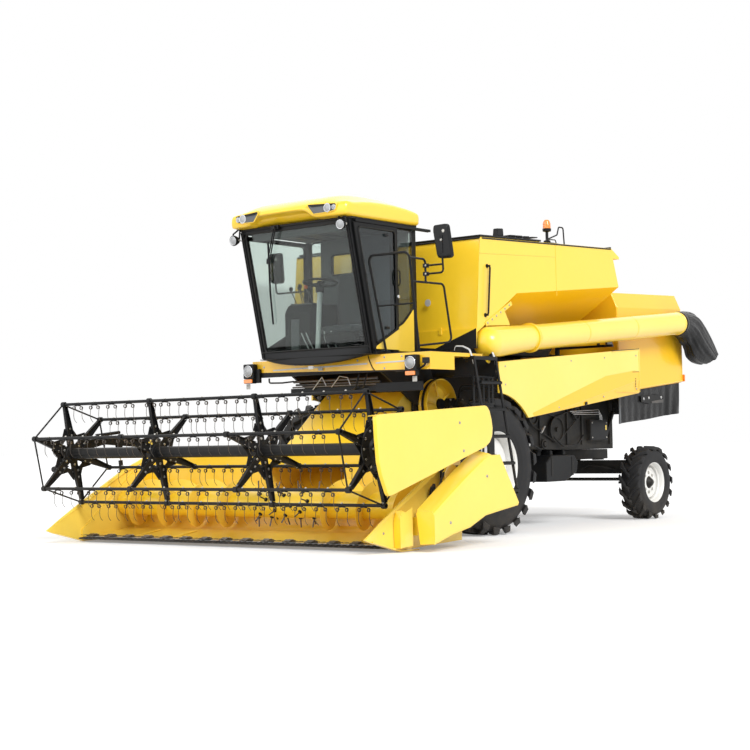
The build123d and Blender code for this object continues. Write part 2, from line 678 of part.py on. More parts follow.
with BuildPart() as cab_frame:
    for _, way in hands:
        low_x, high_x = mirrored(cab_half - pillar, cab_half, way)
        sheet(side(low_x), [(foot_front, deck_z), (head_front, cab_head_z),
                            (head_front + pillar, cab_head_z), (foot_front + pillar, deck_z)], pillar)
        block((low_x, cab_rear - pillar, deck_z), (high_x, cab_rear, cab_head_z))
        block((low_x, head_front, cab_head_z - 40), (high_x, cab_rear, cab_head_z))
        block((low_x, foot_front, deck_z), (high_x, cab_rear, deck_z + 40))
    block((-cab_half, head_front, cab_head_z - 40), (cab_half, head_front + 40, cab_head_z))
    block((-cab_half, cab_rear - 40, cab_head_z - 40), (cab_half, cab_rear, cab_head_z))
    block((-cab_half, foot_front, deck_z), (cab_half, foot_front + 60, deck_z + 60))
    block((-cab_half, cab_rear - 40, deck_z), (cab_half, cab_rear, rear_sill))
    # post and fixed lower panel behind the sliding door
    block((cab_half - pillar, post_front, deck_z), (cab_half, post_rear, cab_head_z))
    sheet(side(cab_half - 20), [
        (post_rear - 5, deck_z + 30), (post_rear - 5, window_floor(post_rear - 5)),
        window_knee, (cab_rear - pillar + 5, window_rear_z), (cab_rear - pillar + 5, deck_z + 30)], 20)
    # channels over and under the door
    for low_z, high_z, slot_low, slot_high in (
            (door_high + 5, door_high + 34, door_high, door_high + 26),
            (deck_z, door_low - 22, deck_z + 6, door_low)):
        block((cab_half - 5, head_front + 60 if low_z > rear_sill else foot_front + 30, low_z),
              (door_middle + door_track / 2, track_rear, high_z))
        block((door_middle - tab_half - door_play, head_front, slot_low),
              (door_middle + tab_half + door_play, track_rear + 10, slot_high), mode=Mode.SUBTRACT)
cab_frame.part.label = "cab_frame"
export_step(cab_frame.part, "parts/cab_frame.step")

roof_half = cab_half + roof_overhang
roof_low = cab_head_z + 5
with BuildPart() as cab_roof:
    sheet(side(-roof_half), [
        (cab_front_head - 190, roof_low + 45), (cab_front_head - 130, roof_low + 175),
        (cab_front_head + 320, roof_low + 305), (cab_front_head + 760, roof_low + 305),
        (cab_rear + 20, roof_low + 195), (cab_rear + 20, roof_low), (cab_front_head, roof_low)],
        2 * roof_half)
    # the corners of the roof slope down to the sides
    for _, way in hands:
        sheet(front(cab_rear + 30), [
            (way * (roof_half + 5), roof_low + 130), (way * (roof_half - 330), roof_low + 310),
            (way * (roof_half + 5), roof_low + 310)],
            cab_rear + 30 - cab_front_head + 200, mode=Mode.SUBTRACT)
cab_roof.part.label = "cab_roof"
export_step(cab_roof.part, "parts/cab_roof.step")

window = [window_toe, window_head, (window_rear, window_high), (window_rear, window_rear_z), window_knee]
stile = door_rear - 45
door_window = [window_toe, window_head, (stile, window_high), (stile, window_floor(stile))]
pane_gap = 3.0
quarter_window = [
    (post_rear + pane_gap, window_floor(post_rear) + pane_gap + 2), (post_rear + pane_gap, cab_head_z - 44),
    (cab_rear - pillar - pane_gap, cab_head_z - 44),
    (cab_rear - pillar - pane_gap, window_rear_z + pane_gap + 2),
    (window_knee[0], window_knee[1] + pane_gap + 2)]

with BuildPart() as cab_glass:
    low, high = deck_z + 70, cab_head_z - 45
    screen_half = cab_half - pillar - 4
    sheet(side(-screen_half), [
        (pillar_line(low) + 6, low), (pillar_line(high) + 6, high),
        (pillar_line(high) + 6 + glass_thickness, high), (pillar_line(low) + 6 + glass_thickness, low)],
        2 * screen_half)
    sheet(side(-door_inner - 20), window, glass_thickness)
    sheet(side(cab_half - 16), quarter_window, glass_thickness)
    block((-screen_half, cab_rear - 26, rear_sill + 3), (screen_half, cab_rear - 14, high))
cab_glass.part.label = "cab_glass"
export_step(cab_glass.part, "parts/cab_glass.step")

# The sliding door on the left, and the fixed panel on the right that is longer.
for name, low_x, rear_edge, opening in (("cab_door", door_inner, door_rear, door_window),
                                        ("cab_side_right", -door_outer, cab_rear - hinge_gap, window)):
    with BuildPart() as cab_side:
        sheet(side(low_x), [
            (pillar_line(door_low) + 20, door_low), (pillar_line(door_high) + 20, door_high),
            (rear_edge, door_high), (rear_edge, door_low)], door_thickness)
        sheet(side(low_x - 1), opening, door_thickness + 2, mode=Mode.SUBTRACT)
        if name == "cab_door":
            # tabs that run in the channels
            for behind in (door_rear - 380, door_rear - 100):
                for low_z, high_z in ((deck_z + 12, door_low + 5), (door_high - 5, door_high + 20)):
                    block((door_middle - tab_half, behind, low_z),
                          (door_middle + tab_half, behind + 60, high_z))
    cab_side.part.label = name
    export_step(cab_side.part, f"parts/{name}.step")

with BuildPart() as door_glass:
    sheet(side(door_inner + 8), door_window, glass_thickness)
door_glass.part.label = "door_glass"
export_step(door_glass.part, "parts/door_glass.step")

seat_behind = cab_rear - 60    # back of the backrest
seat_z = deck_z + 390          # top of the cushion
seat_half = 250.0
with BuildPart() as seat:
    block((-180, seat_behind - 370, deck_z), (180, seat_behind - 120, seat_z - 140))
    block((-seat_half, seat_behind - 440, seat_z - 138), (seat_half, seat_behind, seat_z))
    block((-240, seat_behind - 130, seat_z + 2), (240, seat_behind, seat_z + 620))
seat.part.label = "seat"
export_step(seat.part, "parts/seat.step")

wheel_centre = at(-60, -1292, deck_z + 750)
column_foot, column_head = at(-60, -1420, deck_z + 8), at(-60, -1300, deck_z + 710)
with BuildPart() as cab_controls:
    block((-cab_half + 100, cab_rear - 620, deck_z), (-seat_half - 50, cab_rear - 80, deck_z + 510))
    rod(column_foot, column_head, 30)
    with BuildSketch(Plane(origin=wheel_centre, z_dir=column_head - column_foot)) as wheel_face:
        Circle(205)
        Circle(180, mode=Mode.SUBTRACT)
        Rectangle(370, 30)
        Circle(50)
    extrude(wheel_face.sketch, amount=-28)
cab_controls.part.label = "cab_controls"
export_step(cab_controls.part, "parts/cab_controls.step")

rail_foot, rail_head = deck_front + 40, deck_front - 240
side_rail_x = deck_left - 60
rail_base = deck_z + 6         # the rails stand in flanges on the deck
loop_height = 1060.0
loop_right, loop_left, loop_left_head = cab_half + 80, 1330.0, 1430.0


def loop_post(z):
    """The front loop's left post: its place at a height."""
    share = (z - rail_base) / (deck_z + loop_height - rail_base)
    x = loop_left + share * (loop_left_head - loop_left)
    return at(x, rail_foot + share * (rail_head - rail_foot), z)


gate_top, gate_low, gate_rear = deck_z + 750, deck_z + 70, -905.0
mirror_post = (side_rail_x - 20, rail_foot + 20)
mirror_high = deck_z + 1000
with BuildPart() as handrails:
    bent_tube([at(loop_right, rail_foot, rail_base), at(loop_right - 10, rail_head, deck_z + loop_height),
               at(loop_left_head, rail_head, deck_z + loop_height), at(loop_left, rail_foot, rail_base)],
              rail_tube, 70)
    crossbar = deck_z + 520
    cross_end = loop_post(crossbar)
    rod(Vector(at(loop_right - 5, 0, 0).X, cross_end.Y, crossbar), cross_end, rail_tube - 4)
    bent_tube([loop_post(gate_top), at(side_rail_x, gate_rear - 135, gate_top),
               at(side_rail_x, gate_rear, gate_low + 50), loop_post(gate_low)], rail_tube - 2, 60)
    bent_tube([loop_post(mirror_high), at(*mirror_post, mirror_high), at(*mirror_post, gate_top)],
              rail_tube - 2, 50)
    for x in (loop_right, loop_left):
        rod(at(x, rail_foot, deck_z), at(x, rail_foot, deck_z + 10), 30)
    handle_x = tank_half + 45
    bent_tube([at(tank_half, -110, 3070), at(handle_x, -110, 3070), at(handle_x, -165, 2505),
               at(tank_half, -165, 2505)], 11, 30)
handrails.part.label = "handrails"
export_step(handrails.part, "parts/handrails.step")

mirror_width, mirror_height, mirror_depth = 220.0, 370.0, 60.0
with BuildPart() as mirrors:
    # the left one stands on the handrail's post, the right one on an arm from the cab's side
    for x, behind, z, foot_x, arm_z in (
            (1660, mirror_post[1], deck_z + 990, mirror_post[0] + rail_tube + 1, deck_z + 840),
            (-1264, cab_rear - 80, deck_z + 975, -door_outer - 1, deck_z + 850)):
        block((x - mirror_width / 2, behind - mirror_depth / 2, z),
              (x + mirror_width / 2, behind + mirror_depth / 2, z + mirror_height))
        bent_tube([at(foot_x, behind, arm_z), at(x, behind, arm_z), at(x, behind, z + 20)], rail_tube - 3, 40)
    rod(at(mirror_post[0] + rail_tube + 1, mirror_post[1], mirror_high - 70),
        at(1660, mirror_post[1], mirror_high - 70), rail_tube - 3)
mirrors.part.label = "mirrors"
export_step(mirrors.part, "parts/mirrors.step")

ladder_top_x, ladder_foot_x = deck_left + 40, deck_left + 300
ladder_top_z, ladder_foot_z = deck_z - 30, 480.0
ladder_front, ladder_rear = -640.0, -215.0
ladder_rungs = 5
with BuildPart() as ladder:
    for rail in (ladder_front, ladder_rear):
        rod(at(ladder_top_x, rail, ladder_top_z), at(ladder_foot_x, rail, ladder_foot_z), 16)
    for rung in range(ladder_rungs):
        z = ladder_foot_z + 40 + rung * 300
        x = line_z((ladder_foot_z, ladder_foot_x), (ladder_top_z, ladder_top_x), z)
        rod(at(x, ladder_front, z), at(x, ladder_rear, z), 14)
    block((deck_left + 1, ladder_front - 16, ladder_top_z - 40),
          (ladder_top_x + 16, ladder_rear + 16, ladder_top_z))
ladder.part.label = "ladder"
export_step(ladder.part, "parts/ladder.step")

beacon_behind = tank_cover_end + 230
with BuildPart() as lamps:
    for _, way in hands:
        block((way * 1203 - 70, deck_front - 90, 1860), (way * 1203 + 70, deck_front - 1, 2060))
    beacon_z = rim_z(beacon_behind) + 4
    rod(at(1300, beacon_behind, beacon_z), at(1300, beacon_behind, beacon_z + 300), 50)
lamps.part.label = "lamps"
export_step(lamps.part, "parts/lamps.step")

# ---------------------------------------------------------------- header
feeder_top_rear = (feeder_pivot[0] - 160, feeder_pivot[1] + 180)
feeder_low_rear = (feeder_pivot[0] - 115, feeder_pivot[1] - 390)
feeder_low_front, feeder_high_front = 330.0, 860.0
with BuildPart() as feeder_house:
    sheet(side(-feeder_wall_half), [
        (feeder_front, feeder_low_front), (feeder_front, feeder_high_front), feeder_top_rear,
        (feeder_low_rear[0], feeder_top_rear[1] - 20), feeder_low_rear], 2 * feeder_wall_half)
    sheet(side(-feeder_half), [
        (feeder_front - 20, feeder_low_front + feeder_wall),
        (feeder_front - 20, feeder_high_front - feeder_wall),
        (feeder_top_rear[0], feeder_top_rear[1] - 50), (feeder_low_rear[0] + 25, feeder_top_rear[1] - 60),
        (feeder_low_rear[0] + 25, feeder_low_rear[1] + 60)], 2 * feeder_half, mode=Mode.SUBTRACT)
    for _, way in hands:
        # the side walls reach back into the body and hang on its shaft
        low_x, high_x = mirrored(feeder_half, feeder_wall_half, way)
        sheet(side(low_x), [
            (feeder_low_rear[0] - 20, feeder_pivot[1] - 150),
            (feeder_low_rear[0] - 20, feeder_pivot[1] + 110),
            (feeder_pivot[0] + 30, feeder_pivot[1] + 90), (feeder_pivot[0] + 90, feeder_pivot[1]),
            (feeder_pivot[0] + 30, feeder_pivot[1] - 90)], high_x - low_x)
        cross_pin(feeder_pivot, low_x - 2, high_x + 2, feeder_shaft_radius + pin_gap, mode=Mode.SUBTRACT)
        # lugs either side of each lift cylinder's eye
        for lug_side in (1, -1):
            lug_x = way * lift_x + (lift_lug_x if lug_side > 0 else -lift_lug_x - lug_sheet)
            under = [(b, line_z((feeder_front, feeder_low_front), feeder_low_rear, b) + 12)
                     for b in (lift_eye[0] - 80, lift_eye[0] + 110)]
            sheet(side(lug_x), [
                under[0], (lift_eye[0] - 40, lift_eye[1] - 40), (lift_eye[0] + 40, lift_eye[1] - 40),
                under[1]], lug_sheet)
feeder_house.part.label = "feeder_house"
export_step(feeder_house.part, "parts/feeder_house.step")

knife_behind, knife_z = knife_place
auger_behind, auger_z = auger_place
pan_lip = knife_behind + 60
end_plate = [(knife_behind, 15), (feeder_front, 60), (feeder_front, header_top), (header_back, header_top),
             (knife_behind, 140)]
with BuildPart() as header_pan:
    # floor, trough and back sheet, as one section along the header
    with BuildSketch(side(header_right)) as pan_section:
        with BuildLine():
            Polyline((pan_lip, knife_z - 12), (auger_behind - 120, auger_z - trough_radius - 20),
                     (auger_behind, auger_z - trough_radius))
            ThreePointArc((auger_behind, auger_z - trough_radius),
                          (auger_behind + trough_radius * sin(radians(45)),
                           auger_z - trough_radius * cos(radians(45))),
                          (auger_behind + trough_radius, auger_z))
            Polyline((auger_behind + trough_radius, auger_z), (header_back - 40, auger_z),
                     (header_back - 40, header_top), (feeder_front, header_top), (feeder_front, 110),
                     (auger_behind, auger_z - trough_radius - 50), (pan_lip, knife_z - 32),
                     (pan_lip, knife_z - 12))
        make_face()
    extrude(pan_section.sketch, amount=header_left - header_right)
    for end_x, outward in ((header_left, 1), (header_right, -1)):
        plate_x = end_x - header_sheet if outward > 0 else end_x
        sheet(side(plate_x), end_plate, header_sheet)
        # ear and pin that carry the reel arm
        sheet(side(plate_x), [(header_back - 40, header_top - 30), (arm_pivot[0] - 45, arm_pivot[1] + 45),
                              (arm_pivot[0] + 45, arm_pivot[1] + 45), (feeder_front + 40, header_top - 30)],
              header_sheet)
        arm_x = arm_left_x if outward > 0 else arm_right_x
        cross_pin(arm_pivot, end_x - outward * 5, arm_x + outward * (arm_width / 2 + 12), arm_pin_radius)
        cross_pin(auger_place, plate_x - 1, plate_x + header_sheet + 1, auger_shaft_radius + pin_gap,
                  mode=Mode.SUBTRACT)
    block((-feeder_half, header_back - 80, feeder_low_front + feeder_wall),
          (feeder_half, feeder_front + 60, feeder_high_front - feeder_wall), mode=Mode.SUBTRACT)
header_pan.part.label = "header_pan"
export_step(header_pan.part, "parts/header_pan.step")

drive_cover = [(-2590, 63), (-2690, 402), (-1668, 963), (-1438, 959), (-1124, 337)]
with BuildPart() as header_shields:
    for end_x, outward in ((header_left, 1), (header_right, -1)):
        low_x = end_x if outward > 0 else end_x - divider_wall
        sheet(side(low_x), [
            (divider_tip, 150), (pan_lip, 15), (feeder_front, 60), (feeder_front, header_top),
            (header_back, header_top)], divider_wall)
        cross_pin(auger_place, low_x - 1, low_x + divider_wall + 1, auger_shaft_radius + 10,
                  mode=Mode.SUBTRACT)
        # stub that the reel cylinder's foot turns on
        cross_pin(reel_foot, end_x + outward * (divider_wall - 5),
                  (arm_left_x if outward > 0 else arm_right_x) + outward * 26, reel_pin_radius)
    sheet(side(drive_cover_x), drive_cover, drive_cover_width)
    for stud in ((-1750.0, 820.0), (-2450.0, 330.0)):
        cross_pin(stud, header_left + divider_wall - 5, drive_cover_x + 5, 14)
header_shields.part.label = "header_shields"
export_step(header_shields.part, "parts/header_shields.step")

section_count = int((header_left - header_right - 2 * header_sheet - 2 * knife_stroke) / section_pitch)
knife_half = section_count * section_pitch / 2
header_middle = (header_left + header_right) / 2
with BuildPart() as knife:
    with BuildSketch(level(knife_z)) as knife_section:
        with Locations((header_middle, knife_behind)):
            Rectangle(2 * knife_half, 24)
        for tooth in range(section_count):
            x = header_middle - knife_half + (tooth + 0.5) * section_pitch
            with BuildLine():
                Polyline((x - 37, knife_behind - 11), (x - 9, knife_behind - 75), (x + 9, knife_behind - 75),
                         (x + 37, knife_behind - 11), close=True)
            make_face()
    extrude(knife_section.sketch, amount=6)
knife.part.label = "knife"
export_step(knife.part, "parts/knife.step")

auger_right, auger_left = header_right + header_sheet + 20, header_left - header_sheet - 20
with BuildPart() as header_auger:
    cross_pin(auger_place, auger_right, auger_left, auger_tube_radius)
    cross_pin(auger_place, header_right, header_left, auger_shaft_radius)
    for start, end, way in ((auger_right + 40, 60 - feeder_half, 1), (auger_left - 40, feeder_half - 60, -1)):
        for half_turn in range(int(abs(end - start) / flight_pitch * 2) + 1):
            x = start + way * half_turn * flight_pitch / 2
            cross_pin(auger_place, x, x + way * 10, auger_flight_radius)
header_auger.part.label = "header_auger"
export_step(header_auger.part, "parts/header_auger.step")

# ---------------------------------------------------------------- reel
reel_behind, reel_z = reel_place
arm_bend = (-2300.0, 1120.0)
fork = 6.0
with BuildPart() as reel_arms:
    for arm_x in (arm_right_x, arm_left_x):
        low_x, high_x = arm_x - arm_width / 2, arm_x + arm_width / 2
        sheet(side(low_x), [
            (arm_pivot[0] + 50, arm_pivot[1] - 50), (arm_pivot[0] + 50, arm_pivot[1] + 50),
            (arm_bend[0], arm_bend[1] + 110), (reel_behind - 60, reel_z + 50),
            (reel_behind - 60, reel_z - 50), arm_bend], arm_width)
        for cheek_x in (low_x, high_x - fork):
            sheet(side(cheek_x), [
                (reel_eye[0] - 55, reel_eye[1] + 60), (reel_eye[0] - 25, reel_eye[1] - 25),
                (reel_eye[0] + 25, reel_eye[1] - 25), (reel_eye[0] + 55, reel_eye[1] + 60)], fork)
        cross_pin(reel_place, low_x - 1, high_x + 1, reel_shaft_radius + pin_gap, mode=Mode.SUBTRACT)
        cross_pin(arm_pivot, low_x - 1, high_x + 1, arm_pin_radius + pin_gap, mode=Mode.SUBTRACT)
reel_arms.part.label = "reel_arms"
export_step(reel_arms.part, "parts/reel_arms.step")

shield_sheet = 14.0
with BuildPart() as reel_shield:
    with BuildSketch(side(shield_x)) as shield_face:
        with BuildLine():
            Polyline((-3480, 960), (-3530, 1345), (-1720, 1436), (-1600, 1350), (-1578, 1291), (-1742, 1021),
                     (-3343, 578), (-3480, 960))
        make_face()
    extrude(shield_face.sketch, amount=shield_sheet)
    sheet(side(shield_x - 90), [(-3530, 1345), (-1720, 1436), (-1720, 1422), (-3528, 1331)], 95)
    for behind, z in ((-2650.0, 1160.0), (-1950.0, 1180.0)):
        cross_pin((behind, z), arm_left_x + arm_width / 2, shield_x + 2, 18)
reel_shield.part.label = "reel_shield"
export_step(reel_shield.part, "parts/reel_shield.step")


def bar_angle(index):
    """Turn of one tine bar from straight up at rest, forwards, in radians."""
    return radians(reel_phase + index * 360 / reel_bars)


def bar_place(index):
    """Place behind and height of one tine bar at rest."""
    return (reel_behind - reel_radius * sin(bar_angle(index)), reel_z + reel_radius * cos(bar_angle(index)))


bearing_radius = tine_bar_radius + pin_gap + 13
with BuildPart() as reel:
    cross_pin(reel_place, reel_right + 20, reel_left - 20, reel_tube_radius)
    cross_pin(reel_place, arm_right_x - arm_width / 2, arm_left_x + arm_width / 2 + 60, reel_shaft_radius)
    for spider_x in spider_places:
        with BuildSketch(Plane(origin=at(spider_x, *reel_place), x_dir=(0, 1, 0), z_dir=(1, 0, 0))) as star:
            Circle(210)
            for index in range(reel_bars):
                turned = bar_angle(index)
                with Locations(Location((-reel_radius / 2 * sin(turned), reel_radius / 2 * cos(turned), 0),
                                        (0, 0, 90 + degrees(turned)))):
                    Rectangle(reel_radius, 55)
                with Locations((-reel_radius * sin(turned), reel_radius * cos(turned))):
                    Circle(bearing_radius)
                    Circle(tine_bar_radius + pin_gap, mode=Mode.SUBTRACT)
        extrude(star.sketch, amount=spider_sheet)
reel.part.label = "reel"
export_step(reel.part, "parts/reel.step")

for index in range(reel_bars):
    with BuildPart() as tine_bar:
        cross_pin(bar_place(index), reel_right, reel_left, tine_bar_radius)
    tine_bar.part.label = f"tine_bar_{index + 1}"
    export_step(tine_bar.part, f"parts/tine_bar_{index + 1}.step")

# ---------------------------------------------------------------- hydraulic cylinders
# columns: name, foot, eye, barrel share of the length at rest, barrel radius, rod radius,
# pin radius, half width of both eyes, places along X
cylinder_table = [
    ("lift", lift_foot, lift_eye, 0.62, 45.0, 22.0, lift_pin_radius, 46.0, (-lift_x, lift_x)),
    ("reel_lift", reel_foot, reel_eye, 0.66, 27.0, 10.0, reel_pin_radius, 11.0, (arm_right_x, arm_left_x)),
]
bore_start, rod_start = 0.1, 0.165     # shares of the length at rest, from the foot
for name, foot, eye, share, barrel_radius, rod_radius, pin_radius, eye_half, places in cylinder_table:
    bore_radius = rod_radius + 6
    with BuildPart() as barrels:
        for x in places:
            start, along = at(x, *foot), at(x, *eye) - at(x, *foot)
            rod(start, start + along * share, barrel_radius)
            cross_pin(foot, x - eye_half, x + eye_half, barrel_radius * 0.9)
            rod(start + along * bore_start, start + along * (share + 0.01), bore_radius, mode=Mode.SUBTRACT)
            cross_pin(foot, x - eye_half - barrel_radius, x + eye_half + barrel_radius, pin_radius + pin_gap,
                      mode=Mode.SUBTRACT)
    barrels.part.label = f"{name}_barrels"
    export_step(barrels.part, f"parts/{name}_barrels.step")

    with BuildPart() as rods:
        for x in places:
            start, along = at(x, *foot), at(x, *eye) - at(x, *foot)
            rod(start + along * rod_start, start + along, rod_radius)
            cross_pin(eye, x - eye_half, x + eye_half, pin_radius * 1.7)
    rods.part.label = f"{name}_rods"
    export_step(rods.part, f"parts/{name}_rods.step")
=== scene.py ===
"""Dresses the combine harvester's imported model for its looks."""

import json
import logging
import math
import random
from dataclasses import dataclass, field
from enum import Enum
from typing import Callable, Iterable, Sequence, Union

import bmesh
import bpy
from mathutils import Matrix, Vector
from mathutils.geometry import tessellate_polygon

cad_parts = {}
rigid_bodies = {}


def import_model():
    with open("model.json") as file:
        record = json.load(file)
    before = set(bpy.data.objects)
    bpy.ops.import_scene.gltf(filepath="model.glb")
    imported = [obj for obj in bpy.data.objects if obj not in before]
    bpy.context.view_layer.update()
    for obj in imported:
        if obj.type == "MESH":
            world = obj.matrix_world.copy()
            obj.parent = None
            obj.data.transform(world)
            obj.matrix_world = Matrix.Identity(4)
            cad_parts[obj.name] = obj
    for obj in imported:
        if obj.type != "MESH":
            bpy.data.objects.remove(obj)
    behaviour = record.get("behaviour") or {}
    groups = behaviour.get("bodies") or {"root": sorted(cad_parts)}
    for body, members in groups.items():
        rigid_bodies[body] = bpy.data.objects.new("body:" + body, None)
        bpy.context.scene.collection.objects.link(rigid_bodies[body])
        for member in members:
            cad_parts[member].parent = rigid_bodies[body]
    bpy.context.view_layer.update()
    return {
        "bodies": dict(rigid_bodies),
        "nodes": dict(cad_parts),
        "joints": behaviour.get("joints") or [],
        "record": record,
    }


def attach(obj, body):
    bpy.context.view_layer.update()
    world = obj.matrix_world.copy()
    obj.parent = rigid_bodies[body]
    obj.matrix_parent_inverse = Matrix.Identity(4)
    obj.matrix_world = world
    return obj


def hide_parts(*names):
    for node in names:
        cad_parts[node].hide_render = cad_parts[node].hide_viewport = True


LOG = logging.getLogger("combine")
Place = Union[Vector, Sequence[float]]
Ring = list[Vector]
Finish = bpy.types.Material
Piece = bpy.types.Object
FULL_TURN = 2 * math.pi


class Hand(Enum):
    """The machine's own left and right, as a direction along X."""

    LEFT = 1
    RIGHT = -1

    @property
    def word(self) -> str:
        """The hand's name as it stands in node and body names."""
        return self.name.lower()


class Slot(Enum):
    """The record's material slots."""

    YELLOW = "yellow_paint"
    BLACK = "black_paint"
    WHITE = "rim_white"
    TYRE = "tyre"
    RUBBER = "rubber"
    GLASS = "tinted_glass"
    PLASTIC = "dark_plastic"
    SEAT = "seat_fabric"
    STEEL = "blade_steel"
    CHROME = "chrome_rod"


# ---------------------------------------------------------------- places and lines
@dataclass(frozen=True)
class Datum:
    """Where the machine stands: the middle of its front axle on the ground.

    Places are (x, behind, z): x to the machine's left, behind the front axle, up from the ground.
    """

    middle_x: float
    axle_y: float

    @classmethod
    def of(cls, frame: dict) -> "Datum":
        """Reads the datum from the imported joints.


        Returns:
            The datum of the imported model.
        """
        places = {j["name"]: j.get("pos_m") for j in frame["joints"]}
        left, right = places["front_wheel_left_spin"], places["front_wheel_right_spin"]
        return cls((left[0] + right[0]) / 2, left[1])

    def at(self, x: float, behind: float, z: float) -> Vector:
        """A place in the row frame."""
        return Vector((self.middle_x + x, self.axle_y + behind, z))


def square_to(way: Place) -> tuple[Vector, Vector]:
    """Two directions square to one direction and to each other.

    Args:
        way: the direction.

    Returns:
        The two directions, of length 1.
    """
    along = Vector(way).normalized()
    start = Vector((0, 0, 1)) if abs(along.z) < 0.9 else Vector((0, 1, 0))
    first = along.cross(start).normalized()
    return first, first.cross(along)


def ring_of(centre: Place, first: Vector, second: Vector, radius: float, sides: int,
            turn: float = 0.0) -> Ring:
    """Points evenly round a circle.

    Args:
        centre: its middle.
        first: direction of the first point.
        second: direction square to the first.
        radius: its radius.
        sides: how many points.
        turn: angle of the first point in radians.

    Returns:
        The points.
    """
    middle = Vector(centre)
    angles = [turn + FULL_TURN * i / sides for i in range(sides)]
    return [middle + (first * math.cos(a) + second * math.sin(a)) * radius for a in angles]


def rounded(points: Iterable[Place], radius: float, closed: bool = False, steps: int = 5) -> Ring:
    """A line through these points with its corners rounded.

    Args:
        points: the corners.
        radius: largest radius of a corner.
        closed: whether the line comes back to its start.
        steps: pieces in each corner.

    Returns:
        The points of the rounded line.
    """
    corners = [Vector(p) for p in points]
    made: Ring = []
    count = len(corners)
    for i, corner in enumerate(corners):
        if not closed and i in (0, count - 1):
            made.append(corner)
            continue
        before, after = corners[i - 1] - corner, corners[(i + 1) % count] - corner
        half = before.angle(after) / 2
        reach = radius / max(math.tan(half), 1e-3)
        reach = min(reach, before.length * 0.48, after.length * 0.48)
        start, end = corner + before.normalized() * reach, corner + after.normalized() * reach
        for s in range(steps + 1):
            t = s / steps
            made.append(start.lerp(corner, t).lerp(corner.lerp(end, t), t))
    return made


def between(first: Place, second: Place, share: float) -> Vector:
    """The place this share of the way from the first to the second."""
    return Vector(first).lerp(Vector(second), share)


